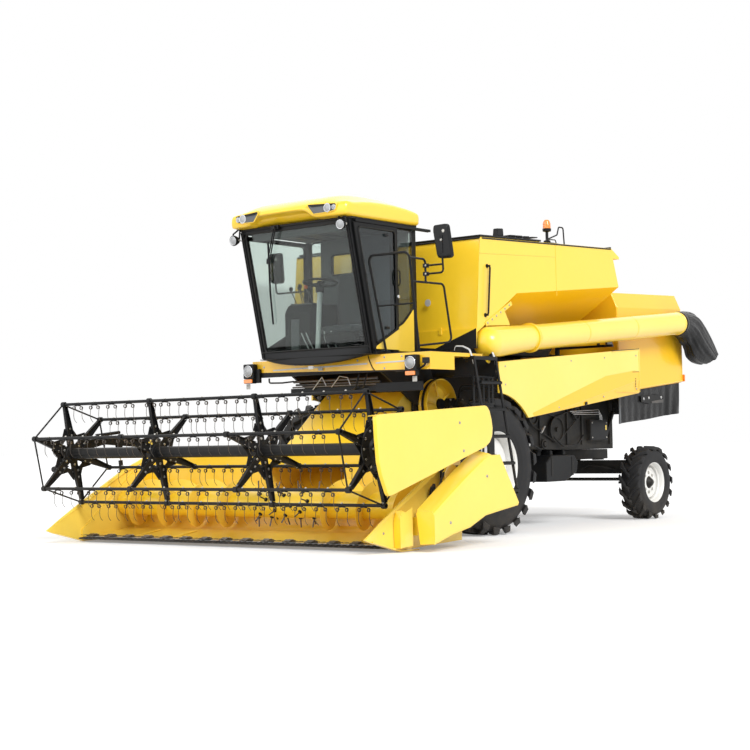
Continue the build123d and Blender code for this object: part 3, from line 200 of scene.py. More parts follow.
# ---------------------------------------------------------------- building a piece
class Workpiece:
    """One piece under construction: a mesh whose faces each wear a finish."""

    def __init__(self, name: str) -> None:
        """Starts an empty piece with this name.

        Args:
            name: what it is called.
        """
        self.name = name
        self.mesh = bmesh.new()
        self.finishes: list[Finish] = []
        self.current = 0

    def wear(self, finish: Finish) -> "Workpiece":
        """Gives the faces that follow this finish.

        Args:
            finish: what those faces are made of.

        Returns:
            The piece itself.
        """
        if finish not in self.finishes:
            self.finishes.append(finish)
        self.current = self.finishes.index(finish)
        return self

    def face(self, corners: Sequence[bmesh.types.BMVert]) -> None:
        """Adds one face between vertices, unless it is there already."""
        try:
            self.mesh.faces.new(corners).material_index = self.current
        except ValueError:
            LOG.debug("%s: a face was there already", self.name)

    def skin(self, rings: Sequence[Ring], closed: bool = True, ends: bool = True,
             looped: bool = False) -> None:
        """Joins rings of equally many points by faces.

        Args:
            rings: the rings in order.
            closed: whether each ring comes back to its start.
            ends: whether the first and last ring are filled.
            looped: whether the last ring joins the first.
        """
        rows = [[self.mesh.verts.new(p) for p in ring] for ring in rings]
        pairs = list(zip(rows, rows[1:])) + ([(rows[-1], rows[0])] if looped else [])
        count = len(rows[0])
        for a, b in pairs:
            for i in range(count if closed else count - 1):
                j = (i + 1) % count
                self.face((a[i], a[j], b[j], b[i]))
        if ends and closed and not looped:
            self.face(rows[0][::-1])
            self.face(rows[-1])

    def slab(self, outline: Iterable[Place], depth: Place, holes: Sequence[Iterable[Place]] = ()) -> None:
        """A flat plate.

        Args:
            outline: its edge.
            depth: from one face of the plate to the other.
            holes: the edges of openings through it.
        """
        across = Vector(depth)
        loops = [[Vector(p) for p in loop] for loop in (outline, *holes)]
        near = [[self.mesh.verts.new(p) for p in loop] for loop in loops]
        far = [[self.mesh.verts.new(p + across) for p in loop] for loop in loops]
        if len(loops) == 1:
            self.face(near[0])
            self.face(far[0][::-1])
        else:
            flat_near, flat_far = sum(near, []), sum(far, [])
            for a, b, c in tessellate_polygon(loops):
                self.face((flat_near[a], flat_near[b], flat_near[c]))
                self.face((flat_far[c], flat_far[b], flat_far[a]))
        for low, high in zip(near, far):
            for i in range(len(low)):
                j = (i + 1) % len(low)
                self.face((low[i], low[j], high[j], high[i]))

    def block(self, low: Place, high: Place) -> None:
        """A box between two corners.

        Args:
            low: the corner nearest the zero place.
            high: the corner across from it.
        """
        a, b = Vector(low), Vector(high)
        foot = [Vector((x, y, a.z)) for x, y in ((a.x, a.y), (b.x, a.y), (b.x, b.y), (a.x, b.y))]
        self.slab(foot, (0, 0, b.z - a.z))

    def bar(self, start: Place, end: Place, radius: float, sides: int = 20, far_radius: float = -1.0) -> None:
        """A round bar, or a cone where its far radius differs.

        Args:
            start: middle of one end.
            end: middle of the other end.
            radius: its radius at the start.
            sides: how many flats stand for its curve.
            far_radius: its radius at the end, if different.
        """
        first, second = square_to(Vector(end) - Vector(start))
        far = radius if far_radius < 0 else far_radius
        self.skin([ring_of(start, first, second, radius, sides), ring_of(end, first, second, far, sides)])

    def pipe(self, points: Sequence[Place], radius: Union[float, Sequence[float]], sides: int = 12,
             looped: bool = False) -> None:
        """A round tube along a line.

        Args:
            points: the line.
            radius: one radius, or one for each point.
            sides: how many flats stand for its curve.
            looped: whether the line comes back to its start.
        """
        line = [Vector(p) for p in points]
        radii = [radius] * len(line) if isinstance(radius, float) else list(radius)
        count = len(line)
        ways = []
        for i in range(count):
            after = line[(i + 1) % count] if looped or i < count - 1 else line[i]
            before = line[i - 1] if looped or i > 0 else line[i]
            ways.append((after - before).normalized())
        first, _ = square_to(ways[0])
        rings = []
        for i, (point, way) in enumerate(zip(line, ways)):
            if i:
                first = ways[i - 1].rotation_difference(way) @ first
            rings.append(ring_of(point, first, way.cross(first), radii[i], sides))
        self.skin(rings, looped=looped)

    def turned(self, profile: Sequence[tuple[float, float]], centre: Place, axis: Place, sides: int = 48,
               looped: bool = False) -> None:
        """A shape turned about an axis.

        Args:
            profile: points (along the axis, out from it).
            centre: where the axis starts.
            axis: direction of the axis.
            sides: how many flats stand for its curve.
            looped: whether the profile comes back to its start.
        """
        way = Vector(axis).normalized()
        first, second = square_to(way)
        start = Vector(centre)
        rings = [ring_of(start + way * a, first, second, max(r, 4e-4), sides) for a, r in profile]
        self.skin(rings, looped=looped)

    def bolt(self, place: Place, way: Place, radius: float = 0.013, height: float = 0.009) -> None:
        """A hexagon bolt head on its washer.

        Args:
            place: where it meets the surface.
            way: direction out of the surface.
            radius: radius across the head's corners.
            height: how far the head stands out.
        """
        out = Vector(way).normalized()
        first, second = square_to(out)
        foot = Vector(place) - out * 0.002
        self.skin([ring_of(foot + out * h, first, second, r, 12)
                   for h, r in ((0, radius * 1.4), (0.0045, radius * 1.4))])
        self.skin([ring_of(foot + out * h, first, second, r, 6)
                   for h, r in ((0.003, radius), (height, radius), (height + 0.0022, radius * 0.84))])

    def bolt_circle(self, centre: Place, way: Place, circle: float, count: int,
                    radius: float = 0.013) -> None:
        """Bolts evenly round a circle."""
        first, second = square_to(way)
        for place in ring_of(centre, first, second, circle, count):
            self.bolt(place, way, radius)

    def done(self, body: str, slot: Slot, replaces: Sequence[str] = (), bevel: float = 0.0,
             angle: float = 35.0, segments: int = 2, levels: int = 0) -> Piece:
        """Turns the mesh into a piece that rides on a body.

        Args:
            body: the body it rides on.
            slot: the record's material slot for its finish; not used.
            replaces: CAD nodes that it stands for.
            bevel: width of its rounded edges.
            angle: faces that meet more steeply than this keep a sharp edge, in degrees.
            segments: pieces across each rounded edge.
            levels: levels of subdivision.

        Returns:
            The piece.
        """
        bmesh.ops.recalc_face_normals(self.mesh, faces=self.mesh.faces)
        data = bpy.data.meshes.new(self.name)
        self.mesh.to_mesh(data)
        self.mesh.free()
        data.shade_smooth()
        data.set_sharp_from_angle(angle=math.radians(angle))
        for finish in self.finishes:
            data.materials.append(finish)
        piece = bpy.data.objects.new(self.name, data)
        bpy.context.scene.collection.objects.link(piece)
        if levels:
            smooth = piece.modifiers.new("smooth", "SUBSURF")
            smooth.levels = smooth.render_levels = levels
        if bevel:
            round_edges(piece, bevel, segments)
        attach(piece, body)
        if replaces:
            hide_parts(*replaces)
        LOG.info("%s rides on %s", self.name, body)
        return piece


def round_edges(piece: Piece, width: float, segments: int = 2, angle: float = 32.0) -> None:
    """Rounds a piece's sharp edges with modifiers.

    Args:
        piece: the piece.
        width: width of each rounded edge.
        segments: pieces across it.
        angle: faces that meet less steeply than this are left alone, in degrees.
    """
    edge = piece.modifiers.new("edges", "BEVEL")
    edge.width, edge.segments = width, segments
    edge.limit_method, edge.angle_limit = "ANGLE", math.radians(angle)
    edge.use_clamp_overlap = True
    edge.miter_outer = "MITER_ARC"
    edge.harden_normals = False
    weighted = piece.modifiers.new("shading", "WEIGHTED_NORMAL")
    weighted.keep_sharp = True


def even_shading(angle: float) -> bpy.types.NodeTree:
    """A modifier that joins split faces and shades them smooth up to an angle.

    Args:
        angle: steeper edges stay sharp, in degrees.

    Returns:
        The geometry node group.
    """
    name = f"even_shading_{angle:g}"
    if name in bpy.data.node_groups:
        return bpy.data.node_groups[name]
    tree = bpy.data.node_groups.new(name, "GeometryNodeTree")
    tree.interface.new_socket("Geometry", in_out="INPUT", socket_type="NodeSocketGeometry")
    tree.interface.new_socket("Geometry", in_out="OUTPUT", socket_type="NodeSocketGeometry")
    nodes, links = tree.nodes, tree.links
    entry, leave = nodes.new("NodeGroupInput"), nodes.new("NodeGroupOutput")
    weld = nodes.new("GeometryNodeMergeByDistance")
    weld.inputs["Distance"].default_value = 2e-5
    forget = nodes.new("GeometryNodeRemoveAttribute")
    forget.inputs["Name"].default_value = "custom_normal"
    faces = nodes.new("GeometryNodeSetShadeSmooth")
    edges = nodes.new("GeometryNodeSetShadeSmooth")
    edges.domain = "EDGE"
    edges.inputs["Shade Smooth"].default_value = False
    bend = nodes.new("GeometryNodeInputMeshEdgeAngle")
    steep = nodes.new("FunctionNodeCompare")
    steep.operation = "GREATER_THAN"
    steep.inputs[1].default_value = math.radians(angle)
    links.new(bend.outputs["Unsigned Angle"], steep.inputs[0])
    links.new(steep.outputs[0], edges.inputs["Selection"])
    chain = [entry.outputs[0], weld, forget, faces, edges]
    flow = chain[0]
    for node in chain[1:]:
        links.new(flow, node.inputs[0])
        flow = node.outputs[0]
    links.new(flow, leave.inputs[0])
    return tree


# ---------------------------------------------------------------- shader node groups
class Bench:
    """Puts nodes into one node tree and joins them."""

    def __init__(self, tree: bpy.types.NodeTree) -> None:
        """Works on this tree."""
        self.tree = tree

    def put(self, kind: str, sockets: dict | None = None, **settings: object) -> bpy.types.Node:
        """Adds a node.

        Args:
            kind: the node's type.
            sockets: a value or another node's output for each input, by name or number.
            **settings: the node's own settings.

        Returns:
            The node.
        """
        node = self.tree.nodes.new(kind)
        for key, value in settings.items():
            setattr(node, key, value)
        for key, value in (sockets or {}).items():
            if isinstance(value, bpy.types.NodeSocket):
                self.tree.links.new(value, node.inputs[key])
            else:
                node.inputs[key].default_value = value
        return node

    def sum(self, operation: str, first: object, second: object = 0.0,
            clamp: bool = False) -> bpy.types.NodeSocket:
        """One sum on two values, as an output."""
        return self.put("ShaderNodeMath", {0: first, 1: second}, operation=operation,
                        use_clamp=clamp).outputs[0]

    def span(self, value: object, low: float, high: float, to_low: float = 0.0,
             to_high: float = 1.0) -> bpy.types.NodeSocket:
        """A value carried from one span to another and held there, as an output."""
        return self.put("ShaderNodeMapRange", {0: value, 1: low, 2: high, 3: to_low, 4: to_high}).outputs[0]

    def noise(self, where: object, scale: object, detail: float = 3.0,
              rough: float = 0.55) -> bpy.types.NodeSocket:
        """Noise at this scale, as an output from 0 to 1."""
        made = self.put("ShaderNodeTexNoise",
                        {"Vector": where, "Scale": scale, "Detail": detail, "Roughness": rough})
        return made.outputs[0]

    def blend(self, share: object, first: object, second: object, way: str = "MIX") -> bpy.types.NodeSocket:
        """Two colours blended, as an output."""
        return self.put("ShaderNodeMix", {0: share, 6: first, 7: second}, data_type="RGBA",
                        blend_type=way).outputs[2]

    def spot(self) -> bpy.types.NodeSocket:
        """The place on the piece, in metres, which moves with it."""
        return self.put("ShaderNodeTexCoord").outputs["Object"]


def shared_group(name: str, inputs: dict[str, object], outputs: dict[str, str],
                 fill: Callable[[Bench, bpy.types.Node, bpy.types.Node], None]) -> bpy.types.NodeTree:
    """A shader node group, built once.

    Args:
        name: the group's name.
        inputs: each input's name and value.
        outputs: each output's name and socket type.
        fill: builds the nodes between the group's input and output nodes.

    Returns:
        The group.
    """
    if name in bpy.data.node_groups:
        return bpy.data.node_groups[name]
    tree = bpy.data.node_groups.new(name, "ShaderNodeTree")
    for key, value in inputs.items():
        kind = "NodeSocketFloat" if isinstance(value, float) else "NodeSocketColor"
        tree.interface.new_socket(key, in_out="INPUT", socket_type=kind).default_value = value
    for key, kind in outputs.items():
        tree.interface.new_socket(key, in_out="OUTPUT", socket_type=kind)
    bench = Bench(tree)
    fill(bench, tree.nodes.new("NodeGroupInput"), tree.nodes.new("NodeGroupOutput"))
    return tree


def drift_group() -> bpy.types.NodeTree:
    """Slow changes of a colour over a surface."""

    def fill(bench: Bench, given: bpy.types.Node, made: bpy.types.Node) -> None:
        """Lightens and darkens the colour by two sizes of noise.

        Args:
            bench: the group's own nodes.
            given: the node that holds the group's inputs.
            made: the node that takes the group's outputs.
        """
        spot = bench.spot()
        broad = bench.noise(spot, given.outputs["Scale"], 4.0)
        fine = bench.noise(spot, bench.sum("MULTIPLY", given.outputs["Scale"], 14.0), 3.0)
        both = bench.sum("MULTIPLY_ADD", fine, 0.35, False)
        both.node.inputs[2].default_value = 0.0
        level = bench.sum("ADD", bench.sum("MULTIPLY", broad, 0.65), both)
        swing = bench.sum("MULTIPLY", bench.sum("SUBTRACT", level, 0.5), given.outputs["Amount"])
        factor = bench.sum("ADD", swing, 1.0)
        tint = bench.put("ShaderNodeCombineColor", {0: factor, 1: factor, 2: factor}).outputs[0]
        bench.tree.links.new(bench.blend(1.0, given.outputs["Colour"], tint, "MULTIPLY"),
                             made.inputs["Colour"])
        bench.tree.links.new(level, made.inputs["Level"])

    return shared_group("colour_drift", {"Colour": (1, 1, 1, 1), "Scale": 1.5, "Amount": 0.1},
                        {"Colour": "NodeSocketColor", "Level": "NodeSocketFloat"}, fill)


def edge_group() -> bpy.types.NodeTree:
    """A mask of a piece's outer edges, broken up where paint wears."""

    def fill(bench: Bench, given: bpy.types.Node, made: bpy.types.Node) -> None:
        """Finds edges where the rounded normal leaves the face's own.

        Args:
            bench: the group's own nodes.
            given: the node that holds the group's inputs.
            made: the node that takes the group's outputs.
        """
        soft = bench.put("ShaderNodeBevel", {"Radius": given.outputs["Radius"]}, samples=4).outputs[0]
        true = bench.put("ShaderNodeNewGeometry").outputs["Normal"]
        facing = bench.put("ShaderNodeVectorMath", {0: soft, 1: true},
                           operation="DOT_PRODUCT").outputs["Value"]
        turned = bench.span(facing, 0.99, 0.86)
        broken = bench.span(bench.noise(bench.spot(), given.outputs["Scale"], 5.0, 0.65), 0.36, 0.62)
        mask = bench.sum("MULTIPLY", bench.sum("MULTIPLY", turned, broken), given.outputs["Amount"], True)
        bench.tree.links.new(mask, made.inputs["Mask"])

    return shared_group("edge_wear", {"Radius": 0.006, "Scale": 22.0, "Amount": 0.5},
                        {"Mask": "NodeSocketFloat"}, fill)


def fade_group() -> bpy.types.NodeTree:
    """A mask of painted highlight: strong on faces turned to the sides and up, broken into patches."""

    def fill(bench: Bench, given: bpy.types.Node, made: bpy.types.Node) -> None:
        """Reads the way a face looks on the machine itself.

        Args:
            bench: the group's own nodes.
            given: the node that holds the group's inputs.
            made: the node that takes the group's outputs.
        """
        parts = bench.put("ShaderNodeSeparateXYZ", {0: bench.put("ShaderNodeTexCoord").outputs["Normal"]})
        across = bench.span(bench.sum("ABSOLUTE", parts.outputs[0], 0.0), 0.62, 1.0)
        above = bench.sum("MULTIPLY", bench.span(parts.outputs[2], 0.75, 1.0), 0.6)
        patch = bench.span(bench.noise(bench.spot(), 1.1, 3.0, 0.5), 0.25, 0.75, 0.72, 1.0)
        whole = bench.sum("MULTIPLY", bench.sum("MAXIMUM", across, above), patch)
        bench.tree.links.new(bench.sum("MULTIPLY", whole, given.outputs["Amount"], True), made.inputs["Mask"])

    return shared_group("sun_fade", {"Amount": 1.0}, {"Mask": "NodeSocketFloat"}, fill)


def dust_group() -> bpy.types.NodeTree:
    """A mask of field dust: low down, on ledges and in patches."""

    def fill(bench: Bench, given: bpy.types.Node, made: bpy.types.Node) -> None:
        """Adds up height, upward faces and patches.

        Args:
            bench: the group's own nodes.
            given: the node that holds the group's inputs.
            made: the node that takes the group's outputs.
        """
        coord = bench.put("ShaderNodeTexCoord")
        height = bench.put("ShaderNodeSeparateXYZ", {0: coord.outputs["Object"]}).outputs[2]
        up = bench.put("ShaderNodeSeparateXYZ", {0: coord.outputs["Normal"]}).outputs[2]
        low = bench.put("ShaderNodeMapRange", {0: height, 1: given.outputs["Reach"], 2: 0.0}).outputs[0]
        patch = bench.span(bench.noise(coord.outputs["Object"], 6.0, 6.0, 0.65), 0.3, 0.75)
        ledge = bench.sum("MULTIPLY", bench.span(up, 0.5, 1.0), 0.5)
        whole = bench.sum("MULTIPLY", bench.sum("ADD", low, ledge), patch)
        bench.tree.links.new(bench.sum("MULTIPLY", whole, given.outputs["Amount"], True), made.inputs["Mask"])

    return shared_group("field_dust", {"Reach": 1.0, "Amount": 0.3}, {"Mask": "NodeSocketFloat"}, fill)


def grain_group() -> bpy.types.NodeTree:
    """The height of a fine surface: orange peel, moulded grain or pressed grain."""

    def fill(bench: Bench, given: bpy.types.Node, made: bpy.types.Node) -> None:
        """Mixes rounded cells with noise.

        Args:
            bench: the group's own nodes.
            given: the node that holds the group's inputs.
            made: the node that takes the group's outputs.
        """
        spot = bench.spot()
        cells = bench.put("ShaderNodeTexVoronoi", {"Vector": spot, "Scale": given.outputs["Scale"]},
                          feature="SMOOTH_F1").outputs["Distance"]
        fine = bench.noise(spot, given.outputs["Scale"], 2.0)
        height = bench.put("ShaderNodeMix", {0: given.outputs["Cells"], 2: fine, 3: cells}).outputs[0]
        bench.tree.links.new(height, made.inputs["Height"])

    return shared_group("fine_grain", {"Scale": 300.0, "Cells": 0.5}, {"Height": "NodeSocketFloat"}, fill)


def weave_group() -> bpy.types.NodeTree:
    """A plain weave's height, from two sets of crossing threads."""

    def fill(bench: Bench, given: bpy.types.Node, made: bpy.types.Node) -> None:
        """Crosses three sine ridges so that every face of the cloth shows two of them.

        Args:
            bench: the group's own nodes.
            given: the node that holds the group's inputs.
            made: the node that takes the group's outputs.
        """
        split = bench.put("ShaderNodeSeparateXYZ", {0: bench.spot()})
        waves = []
        for axis in range(3):
            turn = bench.sum("MULTIPLY", split.outputs[axis], given.outputs["Threads"])
            waves.append(bench.sum("ABSOLUTE", bench.sum("SINE", turn)))
        height = bench.sum("MAXIMUM", bench.sum("MULTIPLY", waves[0], waves[2]),
                           bench.sum("MULTIPLY", waves[1], waves[2]))
        bench.tree.links.new(height, made.inputs["Height"])

    return shared_group("plain_weave", {"Threads": 1400.0}, {"Height": "NodeSocketFloat"}, fill)


def streak_group() -> bpy.types.NodeTree:
    """Fine streaks along a worked metal surface."""

    def fill(bench: Bench, given: bpy.types.Node, made: bpy.types.Node) -> None:
        """Stretches noise along one axis of the piece.

        Args:
            bench: the group's own nodes.
            given: the node that holds the group's inputs.
            made: the node that takes the group's outputs.
        """
        stretch = bench.put("ShaderNodeMapping", {0: bench.spot(), 3: (0.04, 1.0, 1.0)}).outputs[0]
        level = bench.noise(stretch, given.outputs["Scale"], 4.0, 0.6)
        bench.tree.links.new(level, made.inputs["Level"])

    return shared_group("worked_streaks", {"Scale": 240.0}, {"Level": "NodeSocketFloat"}, fill)


# ---------------------------------------------------------------- finishes
class Surface:
    """A Principled material whose colour, roughness and bump come from node groups."""

    def __init__(self, name: str, constants: dict[str, object]) -> None:
        """Makes the material and sets the sockets that stay the same all over it.

        Args:
            name: what it is called.
            constants: sockets by name, with their values.
        """
        self.material = bpy.data.materials.new(name)
        self.material.use_nodes = True
        self.bench = Bench(self.material.node_tree)
        self.shader = self.material.node_tree.nodes["Principled BSDF"]
        for key, value in constants.items():
            self.shader.inputs[key].default_value = value

    def group(self, tree: bpy.types.NodeTree, sockets: dict) -> bpy.types.Node:
        """Places a shared group with its own values.

        Args:
            tree: the shared group.
            sockets: input values by name.

        Returns:
            The placed group.
        """
        node = self.bench.put("ShaderNodeGroup", node_tree=tree)
        for key, value in sockets.items():
            if isinstance(value, bpy.types.NodeSocket):
                self.bench.tree.links.new(value, node.inputs[key])
            else:
                node.inputs[key].default_value = value
        return node

    def feed(self, socket: str, value: bpy.types.NodeSocket) -> None:
        """Leads a changing value to one of the shader's inputs."""
        self.bench.tree.links.new(value, self.shader.inputs[socket])

    def bump(self, height: bpy.types.NodeSocket, strength: float, distance: float) -> None:
        """Raises the surface by this height."""
        node = self.bench.put("ShaderNodeBump",
                              {"Strength": strength, "Distance": distance, "Height": height})
        self.feed("Normal", node.outputs[0])


@dataclass(frozen=True)
class Paint:
    """Sprayed paint: a little orange peel, thin wear at edges, some field dust and any painted highlight."""

    name: str
    colour: tuple[float, float, float]
    roughness: float = 0.36
    coat: float = 0.5
    drift: float = 0.06
    worn: tuple[float, float, float] = (0.5, 0.42, 0.2)
    wear: float = 0.35
    dust: float = 0.12
    dust_reach: float = 1.2
    peel: float = 0.05
    gloss: float = 0.5
    faded: tuple[float, float, float] | None = None

    def made(self) -> Finish:
        """Builds the material.

        Returns:
            The material.
        """
        skin = Surface(self.name,
                       {"Coat Weight": self.coat, "Coat Roughness": 0.12, "IOR": 1.5,
                        "Specular IOR Level": self.gloss})
        bench = skin.bench
        base = (*self.colour, 1)
        # painted highlight: faces turned to the sides and up are blended to the paler colour
        if self.faded:
            base = bench.blend(skin.group(fade_group(), {"Amount": 1.0}).outputs[0], base, (*self.faded, 1))
        drift = skin.group(drift_group(), {"Colour": base, "Scale": 0.9, "Amount": self.drift * 2})
        edge = skin.group(edge_group(), {"Amount": self.wear}).outputs[0]
        dust = skin.group(dust_group(), {"Reach": self.dust_reach, "Amount": self.dust}).outputs[0]
        worn = bench.blend(edge, drift.outputs[0], (*self.worn, 1))
        dusty = bench.blend(dust, worn, (0.42, 0.34, 0.22, 1))
        skin.feed("Base Color", dusty)
        rough = bench.sum("ADD", bench.span(drift.outputs[1], 0.2, 0.8, self.roughness - 0.05,
                                            self.roughness + 0.06),
                          bench.sum("MULTIPLY", dust, 0.4), True)
        skin.feed("Roughness", rough)
        skin.bump(skin.group(grain_group(), {"Scale": 160.0, "Cells": 0.2}).outputs[0], self.peel, 0.001)
        return skin.material


@dataclass(frozen=True)
class Rubber:
    """Tyre or seal rubber, dull, with dust where it runs on the ground."""

    name: str
    colour: tuple[float, float, float] = (0.017, 0.017, 0.018)
    roughness: float = 0.62
    dust: float = 0.35
    dust_reach: float = 0.5
    grain: float = 500.0

    def made(self) -> Finish:
        """Builds the material.

        Returns:
            The material.
        """
        skin = Surface(self.name, {"Specular IOR Level": 0.25})
        bench = skin.bench
        drift = skin.group(drift_group(), {"Colour": (*self.colour, 1), "Scale": 3.0, "Amount": 0.5})
        dust = skin.group(dust_group(), {"Reach": self.dust_reach, "Amount": self.dust}).outputs[0]
        edge = skin.group(edge_group(), {"Amount": 0.5, "Radius": 0.008}).outputs[0]
        scuffed = bench.blend(edge, drift.outputs[0], (0.06, 0.058, 0.055, 1))
        skin.feed("Base Color", bench.blend(dust, scuffed, (0.16, 0.13, 0.095, 1)))
        skin.feed("Roughness", bench.span(drift.outputs[1], 0.2, 0.8, self.roughness - 0.08,
                                          self.roughness + 0.1))
        skin.bump(skin.group(grain_group(), {"Scale": self.grain, "Cells": 0.5}).outputs[0], 0.12, 0.0012)
        return skin.material


@dataclass(frozen=True)
class Moulded:
    """Moulded plastic with its pressed grain."""

    name: str
    colour: tuple[float, float, float]
    roughness: float = 0.5
    scale: float = 420.0
    depth: float = 0.15

    def made(self) -> Finish:
        """Builds the material.

        Returns:
            The material.
        """
        skin = Surface(self.name, {"Specular IOR Level": 0.22})
        drift = skin.group(drift_group(), {"Colour": (*self.colour, 1), "Scale": 5.0, "Amount": 0.25})
        edge = skin.group(edge_group(), {"Amount": 0.4, "Radius": 0.004}).outputs[0]
        paler = tuple(min(1.0, c * 1.6 + 0.02) for c in self.colour)
        skin.feed("Base Color", skin.bench.blend(edge, drift.outputs[0], (*paler, 1)))
        skin.feed("Roughness", skin.bench.span(drift.outputs[1], 0.2, 0.8, self.roughness - 0.06,
                                               self.roughness + 0.08))
        skin.bump(skin.group(grain_group(), {"Scale": self.scale, "Cells": 0.7}).outputs[0], self.depth,
                  0.0008)
        return skin.material


@dataclass(frozen=True)
class Metal:
    """Bare or plated metal with streaks from its working."""

    name: str
    colour: tuple[float, float, float] = (0.62, 0.62, 0.62)
    roughness: float = 0.3
    stain: tuple[float, float, float] = (0.3, 0.24, 0.19)
    stained: float = 0.2

    def made(self) -> Finish:
        """Builds the material.

        Returns:
            The material.
        """
        skin = Surface(self.name, {"Metallic": 1.0})
        bench = skin.bench
        drift = skin.group(drift_group(), {"Colour": (*self.colour, 1), "Scale": 4.0, "Amount": 0.2})
        streak = skin.group(streak_group(), {}).outputs[0]
        stain = bench.sum("MULTIPLY", bench.span(drift.outputs[1], 0.5, 0.75), self.stained, True)
        skin.feed("Base Color", bench.blend(stain, drift.outputs[0], (*self.stain, 1)))
        skin.feed("Roughness", bench.span(streak, 0.25, 0.75, self.roughness - 0.1, self.roughness + 0.15))
        skin.bump(streak, 0.06, 0.0006)
        return skin.material


@dataclass(frozen=True)
class Glass:
    """Tinted glass that lets lamp light through."""

    name: str
    tint: tuple[float, float, float] = (0.55, 0.62, 0.58)
    roughness: float = 0.02

    def made(self) -> Finish:
        """Builds the material.

        Returns:
            The material.
        """
        skin = Surface(self.name, {"Transmission Weight": 1.0, "IOR": 1.45, "Specular IOR Level": 0.25})
        bench = skin.bench
        drift = skin.group(drift_group(), {"Colour": (*self.tint, 1), "Scale": 1.2, "Amount": 0.06})
        skin.feed("Base Color", drift.outputs[0])
        skin.feed("Roughness", bench.span(drift.outputs[1], 0.3, 0.8, self.roughness, self.roughness + 0.03))
        path = bench.put("ShaderNodeLightPath")
        through = bench.put("ShaderNodeBsdfTransparent", {0: (*self.tint, 1)})
        mixed = bench.put("ShaderNodeMixShader", {0: path.outputs["Is Shadow Ray"], 1: skin.shader.outputs[0],
                                                  2: through.outputs[0]})
        end = skin.material.node_tree.nodes["Material Output"]
        bench.tree.links.new(mixed.outputs[0], end.inputs["Surface"])
        return skin.material


@dataclass(frozen=True)
class Lens:
    """A moulded lamp lens with its fine prisms."""

    name: str
    colour: tuple[float, float, float]
    roughness: float = 0.15

    def made(self) -> Finish:
        """Builds the material.

        Returns:
            The material.
        """
        skin = Surface(self.name, {"Coat Weight": 1.0, "Coat Roughness": 0.04, "Specular IOR Level": 0.6})
        drift = skin.group(drift_group(), {"Colour": (*self.colour, 1), "Scale": 30.0, "Amount": 0.3})
        skin.feed("Base Color", drift.outputs[0])
        skin.feed("Roughness", skin.bench.span(drift.outputs[1], 0.2, 0.8, self.roughness,
                                               self.roughness + 0.1))
        skin.bump(skin.group(weave_group(), {"Threads": 500.0}).outputs[0], 0.3, 0.002)
        return skin.material


@dataclass(frozen=True)
class Cloth:
    """Seat cloth with its weave."""

    name: str
    colour: tuple[float, float, float]
    threads: float = 1500.0

    def made(self) -> Finish:
        """Builds the material.

        Returns:
            The material.
        """
        skin = Surface(self.name, {"Sheen Weight": 0.25, "Specular IOR Level": 0.25})
        weave = skin.group(weave_group(), {"Threads": self.threads}).outputs[0]
        drift = skin.group(drift_group(), {"Colour": (*self.colour, 1), "Scale": 8.0, "Amount": 0.3})
        dark = tuple(c * 0.6 for c in self.colour)
        skin.feed("Base Color", skin.bench.blend(weave, (*dark, 1), drift.outputs[0]))
        skin.feed("Roughness", skin.bench.span(weave, 0.0, 1.0, 0.9, 0.75))
        skin.bump(weave, 0.4, 0.001)
        return skin.material


@dataclass(frozen=True)
class Tarpaulin:
    """Coated sheet: glossy, with small creases from handling."""

    name: str
    colour: tuple[float, float, float] = (0.0055, 0.0057, 0.0062)
    roughness: float = 0.30

    def made(self) -> Finish:
        """Builds the material.

        Returns:
            The material.
        """
        skin = Surface(self.name, {"Specular IOR Level": 0.24})
        bench = skin.bench
        drift = skin.group(drift_group(), {"Colour": (*self.colour, 1), "Scale": 3.0, "Amount": 0.5})
        dust = skin.group(dust_group(), {"Reach": 2.2, "Amount": 0.03}).outputs[0]
        skin.feed("Base Color", bench.blend(dust, drift.outputs[0], (0.2, 0.17, 0.12, 1)))
        skin.feed("Roughness", bench.span(drift.outputs[1], 0.2, 0.8, self.roughness - 0.05,
                                          self.roughness + 0.12))
        crease = bench.noise(bench.spot(), 9.0, 6.0, 0.6)
        skin.bump(crease, 0.5, 0.02)
        return skin.material


